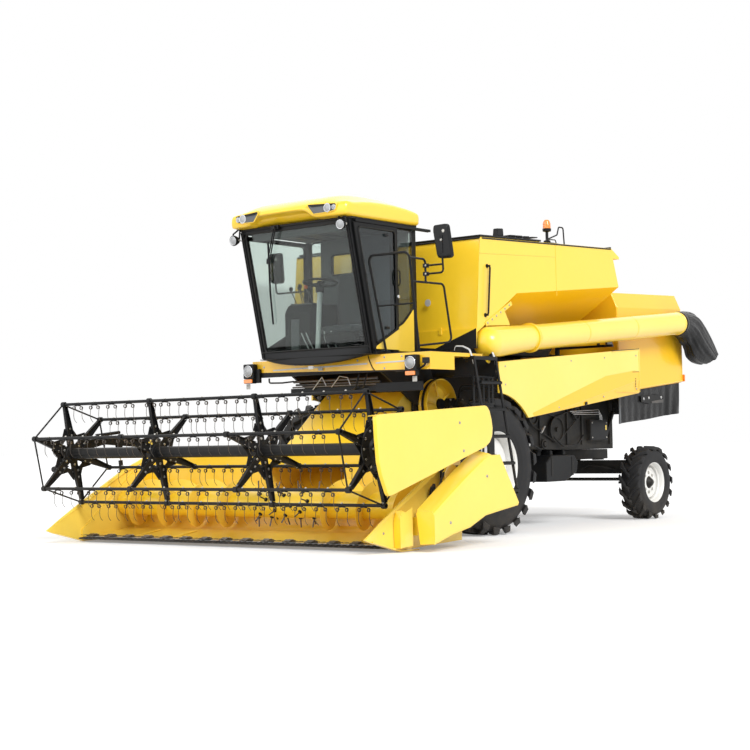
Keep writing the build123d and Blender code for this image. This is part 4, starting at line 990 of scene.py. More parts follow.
class Palette:
    """Every finish on the machine."""

    def __init__(self) -> None:
        """Builds the finishes."""
        # painted highlight: the yellows are copies of one paint; a paler second colour pales faces turned to
        # the sides and up, and the panel paint is the most lit copy
        self.yellow = Paint("yellow_paint", (0.93, 0.60, 0.020), faded=(0.94, 0.65, 0.065)).made()
        self.yellow_pale = Paint("yellow_panel_paint", (0.93, 0.62, 0.030), faded=(0.95, 0.72, 0.155)).made()
        # painted shade: a deeper, less glossy copy of the yellow for faces that look down
        self.yellow_under = Paint("yellow_under_paint", (1.0, 0.56, 0.006), coat=0.1, gloss=0.12,
                                  dust=0.0).made()
        # painted shade: a deeper copy of the yellow, for the hood, the platform and the panels' lower part
        self.yellow_deep = Paint("yellow_lower_paint", (0.93, 0.54, 0.014)).made()
        self.yellow_dusty = Paint("yellow_header_paint", (0.93, 0.60, 0.018), dust=0.07, dust_reach=0.6,
                                  wear=0.4, faded=(0.95, 0.70, 0.12)).made()
        self.black = Paint("black_paint", (0.0065, 0.0068, 0.0075), roughness=0.44, coat=0.0, gloss=0.22,
                           worn=(0.10, 0.10, 0.10), dust=0.07, dust_reach=1.4, drift=0.2).made()
        self.dark_body = Paint("dark_body_paint", (0.0095, 0.0105, 0.012), roughness=0.5, coat=0.0, gloss=0.2,
                               worn=(0.1, 0.1, 0.1), dust=0.13, dust_reach=2.2, drift=0.3).made()
        self.white = Paint("rim_white_paint", (0.80, 0.80, 0.78), roughness=0.35, worn=(0.45, 0.43, 0.4),
                           dust=0.3, dust_reach=0.9).made()
        self.silver = Paint("pale_grey_paint", (0.52, 0.53, 0.53), roughness=0.35,
                            worn=(0.6, 0.6, 0.6)).made()
        self.tyre = Rubber("tyre_rubber").made()
        self.rubber = Rubber("seal_rubber", (0.012, 0.012, 0.012), 0.5, 0.05, 1.0).made()
        self.belt = Rubber("belt_rubber", (0.02, 0.02, 0.02), 0.55, 0.2, 2.0, 700.0).made()
        self.plastic = Moulded("dark_plastic", (0.0075, 0.008, 0.0088), 0.42).made()
        self.grey_plastic = Moulded("grey_plastic", (0.12, 0.125, 0.13), 0.5).made()
        self.pale_plastic = Moulded("pale_plastic", (0.48, 0.48, 0.46), 0.5).made()
        self.orange = Moulded("orange_knob", (0.85, 0.16, 0.01), 0.35).made()
        self.steel = Metal("blade_steel", (0.5, 0.5, 0.5), 0.38, stained=0.5).made()
        self.dark_steel = Metal("dark_steel", (0.13, 0.125, 0.12), 0.45, stained=0.6).made()
        self.chrome = Metal("chrome", (0.62, 0.63, 0.65), 0.16, stained=0.0).made()
        self.bolt = Metal("plated_bolts", (0.42, 0.41, 0.38), 0.4, stained=0.3).made()
        self.tine = Metal("tine_steel", (0.10, 0.09, 0.08), 0.42, (0.2, 0.12, 0.07), 0.5).made()
        self.glass = Glass("tinted_glass", (0.60, 0.66, 0.63)).made()
        self.door_glass = Glass("door_tinted_glass", (0.30, 0.36, 0.38)).made()
        self.mirror = Metal("mirror_face", (0.75, 0.77, 0.8), 0.12, stained=0.0).made()
        self.clear_lens = Lens("clear_lens", (0.30, 0.31, 0.32)).made()
        self.amber = Lens("amber_lens", (0.9, 0.24, 0.01)).made()
        self.red = Lens("red_lens", (0.55, 0.02, 0.015)).made()
        self.seat = Cloth("seat_cloth", (0.075, 0.078, 0.085)).made()
        self.tarpaulin = Tarpaulin("black_tarpaulin").made()


# ---------------------------------------------------------------- the CAD model's own nodes
@dataclass(frozen=True)
class NodeDress:
    """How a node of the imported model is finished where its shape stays."""

    node: str
    finish: str
    bevel: float
    segments: int = 2
    angle: float = 32.0
    # hidden: faces inward of the first and below the second get the dark body paint, as painted shade
    hidden: tuple[float, float] | None = None
    # under: the finish for painted shade on faces that look down
    under: str | None = None


# the finishes named here include lit and shaded copies of one yellow: painted highlight and painted shade
KEPT_NODES = (
    NodeDress("chassis_frame", "dark_body", 0.006),
    NodeDress("front_axle", "black", 0.008),
    NodeDress("rear_axle", "black", 0.012),
    NodeDress("rear_knuckle_left", "black", 0.005),
    NodeDress("rear_knuckle_right", "black", 0.005),
    NodeDress("tie_rod", "black", 0.004),
    NodeDress("threshing_body", "dark_body", 0.006),
    NodeDress("fuel_tanks", "plastic", 0.02, 3),
    NodeDress("drive_pulley", "yellow", 0.006),
    NodeDress("side_panel_left", "yellow_pale", 0.007, 3, 6.0),
    NodeDress("side_panel_right", "yellow_pale", 0.007, 3, 6.0),
    NodeDress("engine", "dark_body", 0.02, 3),
    NodeDress("straw_hood", "yellow_deep", 0.022, 4, 20.0),
    NodeDress("grain_tank", "yellow", 0.012, 3, 14.0, (9.0, 2.25), "yellow_under"),
    NodeDress("tank_cover_left", "black", 0.005),
    NodeDress("tank_cover_right", "black", 0.005),
    NodeDress("auger_elbow", "yellow", 0.005, hidden=(1.24, 9.0)),
    NodeDress("unloading_tube", "yellow_pale", 0.008, 3),
    NodeDress("platform", "yellow_deep", 0.008, 3, hidden=(9.0, 1.90)),
    NodeDress("cab_frame", "black", 0.008, 3),
    NodeDress("cab_glass", "glass", 0.0),
    NodeDress("cab_door", "black", 0.006, 3),
    NodeDress("cab_side_right", "black", 0.006, 3),
    NodeDress("door_glass", "door_glass", 0.0),
    NodeDress("handrails", "black", 0.0),
    NodeDress("ladder", "black", 0.002),
    NodeDress("feeder_house", "yellow_dusty", 0.008),
    NodeDress("header_pan", "yellow_dusty", 0.004),
    NodeDress("reel_arms", "black", 0.006),
    NodeDress("lift_barrels", "black", 0.003),
    NodeDress("lift_rods", "chrome", 0.001),
    NodeDress("reel_lift_barrels", "black", 0.002),
    NodeDress("reel_lift_rods", "chrome", 0.0008),
)


class KeptNodes:
    """Finishes the nodes whose CAD shape is right."""

    def __init__(self, frame: dict, palette: Palette) -> None:
        """Works on this frame with these finishes.

        Args:
            frame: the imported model's frame.
            palette: the finishes.
        """
        self.nodes = frame["nodes"]
        self.middle = Datum.of(frame).at(0, 0, 0).x
        self.palette = palette

    def dress(self) -> None:
        """Gives every kept node its finish, its rounded edges and even shading."""
        for kept in KEPT_NODES:
            piece = self.nodes[kept.node]
            if piece.hide_render:
                continue
            finish = getattr(self.palette, kept.finish)
            piece.data.materials.clear()
            piece.data.materials.append(finish)
            # painted shade: hidden faces get the dark body paint
            if kept.hidden:
                self.darken(piece, *kept.hidden)
            # painted shade: faces that look down get a deeper copy of the yellow
            if kept.under:
                self.shade_under(piece, getattr(self.palette, kept.under))
            shade = piece.modifiers.new("even", "NODES")
            shade.node_group = even_shading(28.0)
            if kept.bevel:
                round_edges(piece, kept.bevel, kept.segments, kept.angle)
            LOG.info("%s keeps its CAD shape in %s", kept.node, kept.finish)


    def darken(self, piece: Piece, inward: float, below: float) -> None:
        """Puts the dark body paint, as painted shade, on what lies inwards of a place across and below a
        height.

        Args:
            piece: the node.
            inward: faces nearer the middle than this get it, where it is under 9.
            below: faces lower than this get it, where it is under 9.
        """
        piece.data.materials.append(self.palette.dark_body)
        for face in piece.data.polygons:
            x, _, z = face.center
            if (inward < 9.0 and x - self.middle < inward) or (below < 9.0 and z < below):
                face.material_index = 1

    @staticmethod
    def shade_under(piece: Piece, finish: Finish) -> None:
        """Puts painted shade on the faces that look down: another finish, a deeper and less glossy copy of
        the yellow.

        Args:
            piece: the node.
            finish: what those faces get.
        """
        piece.data.materials.append(finish)
        for face in piece.data.polygons:
            if face.material_index == 0 and face.normal.z < -0.2:
                face.material_index = len(piece.data.materials) - 1


class SubAssembly:
    """What every sub-assembly needs: the datum, the finishes and the joints' places."""

    def __init__(self, frame: dict, datum: Datum, palette: Palette) -> None:
        """Keeps what the pieces are placed and dressed with.

        Args:
            frame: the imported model's frame, for its joints.
            datum: the machine's zero place.
            palette: the finishes.
        """
        self.palette = palette
        self.at = datum.at
        self.joints = {j["name"]: j for j in frame["joints"]}

    def joint(self, name: str) -> Vector:
        """Where a joint is, in the row frame."""
        return Vector(self.joints[name]["pos_m"])

    def side(self, x: float, points: Iterable[tuple[float, float]]) -> Ring:
        """An outline drawn in a side view (behind, z) at this x."""
        return [self.at(x, behind, z) for behind, z in points]

    def front(self, behind: float, points: Iterable[tuple[float, float]]) -> Ring:
        """An outline drawn in a front view (x, z) at this place behind the axle."""
        return [self.at(x, behind, z) for x, z in points]

    def plan(self, z: float, points: Iterable[tuple[float, float]]) -> Ring:
        """An outline drawn in a view from above (x, behind) at this height."""
        return [self.at(x, behind, z) for x, behind in points]

    def build(self) -> None:
        """Makes the sub-assembly's pieces."""
        raise NotImplementedError


# ---------------------------------------------------------------- wheels
@dataclass
class TyreSize:
    """A driving or steering tyre and its rim, in metres."""

    end: str
    behind: float
    wheel_x: float
    radius: float
    width: float
    rim: float
    disc: float
    hub: float
    lugs: int
    lug_height: float
    lug_width: float
    bolts: int


class Wheels(SubAssembly):
    """Lugged tyres on dished rims."""

    sizes: tuple[TyreSize, ...] = (
        TyreSize("front", 0.0, 1.204, 0.7825, 0.467, 0.400, 0.060, 0.125, 21, 0.046, 0.060, 8),
        TyreSize("rear", 3.735, 1.220, 0.4825, 0.308, 0.262, 0.020, 0.080, 16, 0.032, 0.042, 8),
    )

    def build(self) -> None:
        """Makes four tyres and four rims."""
        for size in self.sizes:
            for hand in Hand:
                self.tyre(size, hand)
                self.rim(size, hand)

    def centre(self, size: TyreSize, hand: Hand) -> Vector:
        """The middle of a wheel."""
        return self.at(hand.value * size.wheel_x, size.behind, size.radius)

    def tyre(self, size: TyreSize, hand: Hand) -> None:
        """Makes one tyre: its carcass and two rows of slanting lugs.

        Args:
            size: the tyre's size.
            hand: its side of the machine.
        """
        centre = self.centre(size, hand)
        out = Vector((hand.value, 0, 0))
        half, rim, radius = size.width / 2, size.rim, size.radius
        ground = radius - size.lug_height
        height = ground - rim
        half_profile = [(0.0, ground), (half * 0.45, ground - 0.004), (half * 0.76, ground - 0.02),
                        (half * 0.90, rim + height * 0.80), (half * 0.975, rim + height * 0.60),
                        (half * 0.985, rim + height * 0.42), (half * 0.955, rim + height * 0.24),
                        (half * 0.955, rim + height * 0.20), (half * 0.92, rim + height * 0.14),
                        (half * 0.90, rim + height * 0.07), (half * 0.87, rim + 0.002),
                        (half * 0.80, rim - 0.004)]
        profile = [(-a, r) for a, r in reversed(half_profile[1:])] + half_profile
        work = Workpiece(f"{size.end}_tyre_{hand.word}_lugged").wear(self.palette.tyre)
        work.turned(profile, centre, out, sides=96, looped=True)
        step = FULL_TURN / size.lugs
        for row in (1, -1):
            for i in range(size.lugs):
                start = (i + (0.5 if row < 0 else 0.0)) * step
                self.lug(work, size, centre, row, start, ground, hand)
        work.done(f"{size.end}_wheel_{hand.word}", Slot.TYRE, [f"{size.end}_tyre_{hand.word}"], bevel=0.004)

    def lug(self, work: Workpiece, size: TyreSize, centre: Vector, row: int, start: float, ground: float,
            hand: Hand) -> None:
        """Adds one lug that slants back from the middle to the shoulder and runs down it.

        Args:
            work: the tyre under construction.
            size: the tyre's size.
            centre: the wheel's middle.
            row: 1 for the outer row, -1 for the inner row.
            start: angle of its inner end, in radians.
            ground: the carcass's radius between lugs.
            hand: the tyre's side of the machine.
        """
        half, radius = size.width / 2, size.radius
        step = FULL_TURN / size.lugs
        stations = ((-0.05, 0.0, 0.0, 1.0), (0.12, 0.10, 0.0, 0.90), (0.40, 0.36, 0.0, 0.95),
                    (0.68, 0.62, 0.001, 1.10),
                    (0.86, 0.76, 0.004, 1.40), (0.955, 0.82, size.radius * 0.020, 1.62),
                    (1.0, 0.86, size.radius * 0.095, 1.60))
        rings = []
        for along, lead, drop, wide in stations:
            top, foot = radius - drop, min(ground, radius - drop) - 0.012
            inward = 0.0 if along < 0.9 else 0.03
            angle = start + lead * step * 1.12
            spread_top, spread_foot = size.lug_width * wide * 0.5, size.lug_width * wide * 0.74
            ring = []
            for r, spread, draw in ((foot, -spread_foot, inward), (top, -spread_top, 0.0),
                                    (top, spread_top, 0.0),
                                    (foot, spread_foot, inward)):
                turn = angle + spread / r
                place = centre + Vector((hand.value * row * half * (along - draw), 0, 0))
                ring.append(place + Vector((0, math.sin(turn) * r, math.cos(turn) * r)))
            rings.append(ring)
        work.skin(rings)

    def rim(self, size: TyreSize, hand: Hand) -> None:
        """Makes one rim: flanges, barrel, dished disc, hub, bolts and valve.

        Args:
            size: the wheel's size.
            hand: its side of the machine.
        """
        centre = self.centre(size, hand)
        out = Vector((hand.value, 0, 0))
        half, rim, disc, hub = size.width * 0.42, size.rim, size.disc, size.hub
        lip = rim + 0.012
        barrel = [(-half, lip), (-half + 0.012, lip + 0.004), (-half + 0.02, rim - 0.004),
                  (-half * 0.5, rim - 0.012),
                  (half * 0.5, rim - 0.012), (half - 0.02, rim - 0.004), (half - 0.012, lip + 0.004),
                  (half, lip),
                  (half + 0.003, rim - 0.002), (half - 0.016, rim - 0.018), (half * 0.55, rim - 0.024),
                  (half * 0.45, rim - 0.036), (-half * 0.5, rim - 0.036), (-half, rim - 0.016)]
        work = Workpiece(f"{size.end}_rim_{hand.word}_dished").wear(self.palette.white)
        work.turned(barrel, centre, out, sides=72, looped=True)
        edge = rim - 0.030
        dish = [(disc - 0.02, edge), (disc + 0.012, edge - 0.02), (disc + 0.022, edge - 0.05),
                (disc + 0.024, hub + 0.12), (disc + 0.012, hub + 0.085), (disc + 0.026, hub + 0.03),
                (disc + 0.03, hub), (disc + 0.005, hub), (disc - 0.005, hub + 0.08), (disc, edge - 0.05)]
        work.turned(dish, centre, out, sides=72, looped=True)
        work.wear(self.palette.bolt)
        work.bolt_circle(centre + out * (disc + 0.024), out, hub + 0.045, size.bolts, 0.016)
        work.bar(centre + Vector((0, 0, edge - 0.03)) + out * (disc + 0.01),
                 centre + Vector((0, 0, edge - 0.035)) + out * (disc + 0.055), 0.006, 10)
        work.wear(self.palette.black)
        reach = disc + 0.075
        cap = [(disc - 0.06, hub + 0.004), (disc + 0.02, hub + 0.004), (disc + 0.03, hub - 0.004),
               (reach - 0.01, hub * 0.62),
               (reach, hub * 0.52), (reach + 0.006, hub * 0.3), (reach + 0.008, 0.0)]
        work.turned(cap, centre, out, sides=40)
        work.done(f"{size.end}_wheel_{hand.word}", Slot.WHITE, [f"{size.end}_rim_{hand.word}"], bevel=0.002)


# ---------------------------------------------------------------- header
@dataclass
class HeaderSize:
    """The header's places, in metres."""

    right: float = -2.597
    left: float = 2.013
    sheet: float = 0.020
    back: float = -1.700
    top: float = 0.950
    knife: tuple[float, float] = (-2.724, 0.063)
    auger: tuple[float, float] = (-2.050, 0.430)
    flight_radius: float = 0.272
    tube_radius: float = 0.150
    shaft_radius: float = 0.033
    pitch: float = 0.480
    divider_wall: float = 0.034
    divider_tip: float = -3.235
    feeder_half: float = 0.560


class HeaderTrough(SubAssembly):
    """Sheet work of the header: ribs, lips, dividers and the drive cover."""

    size = HeaderSize()

    def build(self) -> None:
        """Makes the header's fixed pieces."""
        self.back_ribs()
        self.dividers()
        self.drive_cover()
        self.drive_behind_cover()

    def back_ribs(self) -> None:
        """Pressed ribs, the tube along the top of the back sheet and the floor's wear strips."""
        s, at = self.size, self.at
        work = Workpiece("header_ribs").wear(self.palette.yellow_dusty)
        low, high = s.right + 0.03, s.left - 0.03
        work.bar(at(low, s.back + 0.02, s.top + 0.012), at(high, s.back + 0.02, s.top + 0.012), 0.038, 20)
        for x in (-2.35, -1.75, -1.15, -0.68, 0.68, 1.15, 1.62):
            foot, head = at(x, s.back + 0.062, 0.18), at(x, s.back + 0.062, s.top - 0.02)
            work.slab([foot + Vector((-0.03, 0, 0)), foot + Vector((0.03, 0, 0)), head + Vector((0.03, 0, 0)),
                       head + Vector((-0.03, 0, 0))], (0, 0.045, 0))
        work.slab(self.front(s.back + 0.06, ((low, 0.12), (high, 0.12), (high, 0.22), (low, 0.22))),
                  (0, 0.09, 0))
        for x in (-1.9, -1.3, 1.3):
            work.slab(self.side(x, ((-2.60, 0.055), (-2.17, 0.118), (-2.17, 0.126), (-2.60, 0.066))),
                      (0.04, 0, 0))
        work.done("header", Slot.YELLOW, bevel=0.005)

    def dividers(self) -> None:
        """Pointed dividers with a folded nose at both ends of the header."""
        s, at = self.size, self.at
        work = Workpiece("header_dividers").wear(self.palette.yellow_dusty)
        for end, out in ((s.left, 1), (s.right, -1)):
            inner, outer = end + out * 0.002, end + out * (s.divider_wall - 0.004)
            face = [(s.divider_tip, 0.150), (s.divider_tip + 0.06, 0.128), (s.knife[0] + 0.06, 0.020),
                    (s.back + 0.06, 0.062), (s.back + 0.06, s.top), (s.back, s.top), (-2.05, 0.80),
                    (-2.62, 0.50)]
            work.slab(self.side(inner, face), (outer - inner, 0, 0))
            # folded nose: a narrow roof over the upper edge, wide at the back and a point at the front
            ridge = [(s.divider_tip + 0.004, 0.150, 0.006), (-3.05, 0.262, 0.034), (-2.70, 0.462, 0.060),
                     (-2.35, 0.650, 0.070), (-2.05, 0.812, 0.072), (s.back + 0.01, s.top + 0.006, 0.072)]
            rings = []
            for behind, z, wide in ridge:
                middle = (inner + outer) / 2
                rings.append(self.front(behind,
                                        ((middle - wide * 0.5, z - wide * 0.45),
                                         (middle - wide * 0.22, z + 0.004), (middle + wide * 0.22, z + 0.004),
                                         (middle + wide * 0.5, z - wide * 0.45), (middle, z - wide * 0.2))))
            work.skin(rings)
            # skid under the nose
            work.slab(self.side(end - out * 0.01,
                                ((s.divider_tip + 0.10, 0.118), (-2.70, 0.006), (-2.40, 0.006),
                                                  (-2.40, 0.020), (-2.69, 0.022),
                                                  (s.divider_tip + 0.10, 0.132))),
                      (out * 0.06, 0, 0))
            work.wear(self.palette.bolt)
            for behind, z in ((-2.95, 0.20), (-2.75, 0.25), (-2.55, 0.28), (-2.30, 0.45), (-1.95, 0.60),
                              (-1.75, 0.30)):
                work.bolt(at(outer, behind, z), (out, 0, 0), 0.010)
            work.wear(self.palette.yellow_dusty)
        # inner leaf that stands off the left divider beside the cover
        leaf = [(-2.79, 0.045), (-2.80, 0.30), (-2.765, 0.415), (-2.72, 0.40), (-2.70, 0.06)]
        work.slab(self.side(s.left + 0.036, leaf), (0.085, 0, 0))
        work.slab(self.side(s.left + 0.118, ((-2.80, 0.05), (-2.80, 0.36), (-2.60, 0.44), (-2.60, 0.06))),
                  (0.005, 0, 0))
        work.done("header", Slot.YELLOW, ["header_shields"], bevel=0.003)

    def drive_cover(self) -> None:
        """The creased cover over the header's drive, a pressed shell open at the back."""
        at = self.at
        # each column: (behind, z) of the crease line, the bottom edge, and how far in the top leaf lies
        stations = ((-2.615, 0.075, 0.400), (-2.30, 0.160, 0.590), (-2.00, 0.215, 0.762),
                    (-1.72, 0.262, 0.912),
                    (-1.60, 0.280, 0.950), (-1.455, 0.300, 0.955))
        inner_x, outer_x = 2.205, 2.416
        work = Workpiece("drive_cover").wear(self.palette.yellow_dusty)
        rings = []
        for i, (behind, low, high) in enumerate(stations):
            lean = 0.30 * max(0.0, (behind + 1.60)) if i > 3 else 0.0
            inset = 0.05
            rings.append([at(outer_x - 0.012, behind + 0.25 * 0, low), at(outer_x, behind, low + 0.03),
                          at(outer_x, behind, high - 0.055), at(outer_x - 0.014, behind, high - 0.018),
                          at(outer_x - inset, behind, high + 0.002 - lean),
                          at(inner_x + 0.02, behind, high + 0.030 - lean),
                          at(inner_x, behind, high + 0.022 - lean), at(inner_x, behind, high - 0.03 - lean),
                          at(inner_x + 0.05, behind, high - 0.02), at(outer_x - 0.03, behind, high - 0.08),
                          at(outer_x - 0.03, behind, low + 0.03)])
        # rear edge slopes: shift the last stations' lower points backwards
        slope = {3: 0.0, 4: 0.16, 5: 0.33}
        for i, shift in slope.items():
            for k in (0, 1, 10):
                rings[i][k] = rings[i][k] + Vector((0, shift, 0.02 * i))
            for k in (2, 3, 9):
                rings[i][k] = rings[i][k] + Vector((0, shift * 0.05, 0))
        work.skin(rings)
        # front face, folded in from the shell
        face = [at(outer_x - 0.004, -2.615, 0.085), at(outer_x - 0.002, -2.612, 0.36),
                at(outer_x - 0.03, -2.617, 0.402),
                at(inner_x + 0.02, -2.622, 0.408), at(inner_x - 0.008, -2.622, 0.385),
                at(inner_x + 0.03, -2.618, 0.075)]
        work.slab(face, (0, 0.012, 0))
        work.wear(self.palette.bolt)
        work.bolt(at(outer_x, -1.70, 0.72), (1, 0, 0), 0.012)
        work.bolt(at(outer_x, -2.35, 0.28), (1, 0, 0), 0.012)
        work.done("header", Slot.YELLOW, bevel=0.010, segments=3, angle=40.0)

    def drive_behind_cover(self) -> None:
        """Sheaves, belt, tensioner and wobble box between the divider and the cover."""
        at = self.at
        out = Vector((1, 0, 0))
        work = Workpiece("header_drive").wear(self.palette.yellow_dusty)
        upper, lower, wobble = (-1.92, 0.72), (-2.05, 0.43), (-2.45, 0.28)
        sheave = [(0, 0), (0, 0.03), (0.012, 0.045), (0.012, 0.8), (0.002, 0.98), (0.004, 1.0), (0.018, 0.9),
                  (0.032, 1.0), (0.034, 0.98), (0.024, 0.8), (0.024, 0.045), (0.04, 0.03), (0.04, 0)]
        for (behind, z), radius in ((upper, 0.13), (lower, 0.17), (wobble, 0.09)):
            profile = [(a, r * radius if r > 0.05 else r) for a, r in sheave]
            work.turned(profile, at(2.10, behind, z), out, 40)
        work.block(at(2.05, -2.56, 0.16), at(2.17, -2.38, 0.34))
        work.wear(self.palette.belt)
        (ub, uz), (lb, lz) = upper, lower
        way = Vector((0, lb - ub, lz - uz)).normalized()
        off = Vector((0, way.z, -way.y))
        work.pipe([at(2.118, ub, uz) + off * 0.125, at(2.118, lb, lz) + off * 0.165], 0.011, 8)
        work.pipe([at(2.118, ub, uz) - off * 0.125, at(2.118, lb, lz) - off * 0.165], 0.011, 8)
        (wb, wz) = wobble
        work.pipe([at(2.118, lb, lz + 0.165), at(2.118, wb, wz + 0.085)], 0.010, 8)
        work.pipe([at(2.118, lb, lz - 0.165), at(2.118, wb, wz - 0.085)], 0.010, 8)
        work.wear(self.palette.black)
        work.slab(self.side(2.09,
                            ((-2.28, 0.50), (-2.24, 0.62), (-2.19, 0.66), (-2.17, 0.50), (-2.20, 0.44))),
                  (0.03, 0, 0))
        work.bar(at(2.047, -1.75, 0.82), at(2.20, -1.75, 0.82), 0.014)
        work.bar(at(2.047, -2.45, 0.33), at(2.40, -2.45, 0.33), 0.014)
        work.wear(self.palette.bolt)
        for behind, z in (upper, lower, wobble):
            work.bolt(at(2.135, behind, z), out, 0.016)
        work.done("header", Slot.YELLOW, bevel=0.002)


class Knife(SubAssembly):
    """Forged guards on the header's lip, and the sections that run in them."""

    guard_pitch: float = 0.0762

    def build(self) -> None:
        """Makes the guards and the sections."""
        size = HeaderTrough.size
        behind, z = size.knife
        low, high = size.right + 0.035, size.left - 0.035
        count = int((high - low) / self.guard_pitch)
        self.guards(behind, z, low, high, count)
        self.sections(behind, z, count, (low + high) / 2)

    def guards(self, behind: float, z: float, low: float, high: float, count: int) -> None:
        """A row of pointed guards with hold-down clips over the knife.

        Args:
            behind: place of the knife's back.
            z: height of the knife.
            low: the row's right end.
            high: the row's left end.
            count: how many guards.
        """
        at = self.at
        work = Workpiece("knife_guards").wear(self.palette.dark_steel)
        work.slab(self.side(low, ((behind - 0.012, z - 0.030), (behind + 0.075, z - 0.030),
                                  (behind + 0.075, z - 0.008),
                                  (behind + 0.018, z - 0.008), (behind + 0.014, z - 0.002),
                                  (behind - 0.012, z - 0.004))),
                  (high - low, 0, 0))
        for i in range(count):
            x = (low + high) / 2 + (i - (count - 1) / 2) * self.guard_pitch
            for floor_z, roof_z, back, reach in ((z - 0.032, z - 0.003, 0.0, 1.0),
                                                 (z + 0.010, z + 0.021, 0.02, 0.74)):
                stations = ((back + 0.004, 0.021, 0.0), (-0.030, 0.016, 0.0), (-0.070, 0.013, 0.003),
                            (-0.100, 0.009, 0.006), (-0.125, 0.003, 0.010))
                rings = []
                for along, half, rise in stations:
                    b = behind + (along * reach if along < 0 else along)
                    lift = rise + (0.004 if floor_z > z else 0.0)
                    top = max(roof_z - rise * 0.5, floor_z + lift + 0.003)
                    rings.append(self.front(b,
                                            ((x - half, floor_z + lift), (x - half * 0.7, top),
                                             (x + half * 0.7, top), (x + half, floor_z + lift))))
                work.skin(rings)
        clips = 15
        for i in range(clips):
            x = low + 0.16 + (high - low - 0.32) * i / (clips - 1)
            work.slab(self.side(x - 0.045, ((behind + 0.062, z - 0.010), (behind + 0.060, z + 0.024),
                                            (behind + 0.005, z + 0.036), (behind - 0.060, z + 0.012),
                                            (behind - 0.060, z + 0.007), (behind + 0.010, z + 0.018),
                                            (behind + 0.045, z + 0.004))), (0.090, 0, 0))
        work.wear(self.palette.bolt)
        for i in range(clips):
            x = low + 0.16 + (high - low - 0.32) * i / (clips - 1)
            for dx in (-0.024, 0.024):
                work.bolt(at(x + dx, behind + 0.038, z + 0.027), (0, 0.2, 1), 0.009)
        work.done("header", Slot.STEEL, bevel=0.0015)

    def sections(self, behind: float, z: float, count: int, middle: float) -> None:
        """The knife's back and its bevelled triangular sections.

        Args:
            behind: place of the knife's back.
            z: height of its underside.
            count: how many guards, one more than its sections.
            middle: the row's middle.
        """
        at = self.at
        half = (count - 2) * self.guard_pitch / 2
        work = Workpiece("knife_sections").wear(self.palette.steel)
        work.block(at(middle - half, behind - 0.010, z), at(middle + half, behind + 0.010, z + 0.006))
        for i in range(count - 2):
            x = middle - half + (i + 0.5) * self.guard_pitch
            work.slab(self.plan(z + 0.001,
                                ((x - 0.037, behind - 0.008), (x - 0.009, behind - 0.074),
                                 (x + 0.009, behind - 0.074), (x + 0.037, behind - 0.008))),
                      (0, 0, 0.0035))
        work.done("knife", Slot.STEEL, ["knife"], bevel=0.0008)


class HeaderAuger(SubAssembly):
    """The cross auger: a drum, two opposed flights and its fingers."""

    finger_rows: int = 4

    def build(self) -> None:
        """Makes the auger."""
        s, at = HeaderTrough.size, self.at
        right, left = s.right + 0.042, s.left - 0.042
        centre = (s.auger[0], s.auger[1])
        out = Vector((1, 0, 0))
        work = Workpiece("auger_drum").wear(self.palette.yellow_dusty)
        drum = [(0, s.shaft_radius), (0, s.tube_radius), (left - right, s.tube_radius),
                (left - right, s.shaft_radius)]
        work.turned(drum, at(right, *centre), out, 56)
        self.flight(work, right + 0.01, -s.feeder_half + 0.10, 1)
        self.flight(work, left - 0.01, s.feeder_half - 0.10, -1)
        work.wear(self.palette.dark_steel)
        work.bar(at(s.right + 0.003, *centre), at(right + 0.01, *centre), s.shaft_radius, 24)
        work.bar(at(left - 0.01, *centre), at(s.left - 0.003, *centre), s.shaft_radius, 24)
        for row in range(self.finger_rows * 2):
            for k in range(4):
                x = -0.42 + 0.24 * k + (0.12 if row % 2 else 0.0)
                angle = FULL_TURN * row / (self.finger_rows * 2) + 0.35 * k
                way = Vector((0, math.sin(angle), math.cos(angle)))
                foot = at(x, *centre)
                work.bar(foot + way * (s.tube_radius - 0.01), foot + way * (s.tube_radius + 0.105), 0.008, 10)
                work.wear(self.palette.plastic)
                work.bar(foot + way * (s.tube_radius - 0.005), foot + way * (s.tube_radius + 0.012), 0.022,
                         14)
                work.wear(self.palette.dark_steel)
        work.done("header_auger", Slot.YELLOW, ["header_auger"], bevel=0.002)

    def flight(self, work: Workpiece, start: float, end: float, way: int) -> None:
        """Winds one flight round the drum.

        Args:
            work: the auger under construction.
            start: its outer end.
            end: its inner end.
            way: 1 where it runs to the left, -1 to the right.
        """
        s = HeaderTrough.size
        length = abs(end - start)
        turns = length / s.pitch
        steps = int(turns * 40)
        rings = []
        for i in range(steps + 1):
            share = i / steps
            # a right-hand and a left-hand flight, so that both carry the crop to the middle
            angle = way * share * turns * FULL_TURN + (0.6 if way > 0 else 2.2)
            radial = Vector((0, math.sin(angle), math.cos(angle)))
            x = start + way * length * share
            foot = self.at(x, *s.auger)
            tip = s.flight_radius - (0.09 * max(0.0, (share - 0.94) / 0.06))
            rings.append([foot + radial * (s.tube_radius - 0.008) + Vector((-0.0035, 0, 0)),
                          foot + radial * tip + Vector((-0.003, 0, 0)),
                          foot + radial * tip + Vector((0.003, 0, 0)),
                          foot + radial * (s.tube_radius - 0.008) + Vector((0.0035, 0, 0))])
        work.skin(rings)


# ---------------------------------------------------------------- reel
@dataclass
class ReelSize:
    """The reel's places, in metres."""

    centre: tuple[float, float] = (-2.925, 1.023)
    radius: float = 0.574
    bars: int = 6
    phase: float = math.radians(12.5)
    right: float = -2.527
    left: float = 1.943
    tube: float = 0.062
    shaft: float = 0.027
    bar: float = 0.017
    spiders: tuple[float, ...] = (-2.509, -1.104, 0.451, 1.930)
    hub_plate: float = 0.225
    tine_pitch: float = 0.282
    pair_gap: float = 0.122
    tine_drop: float = 0.165

    def angle(self, index: int) -> float:
        """Turn of one bar from straight up, forwards."""
        return self.phase + index * FULL_TURN / self.bars

    def out(self, angle: float) -> Vector:
        """Direction out from the reel's shaft at this angle."""
        return Vector((0, -math.sin(angle), math.cos(angle)))


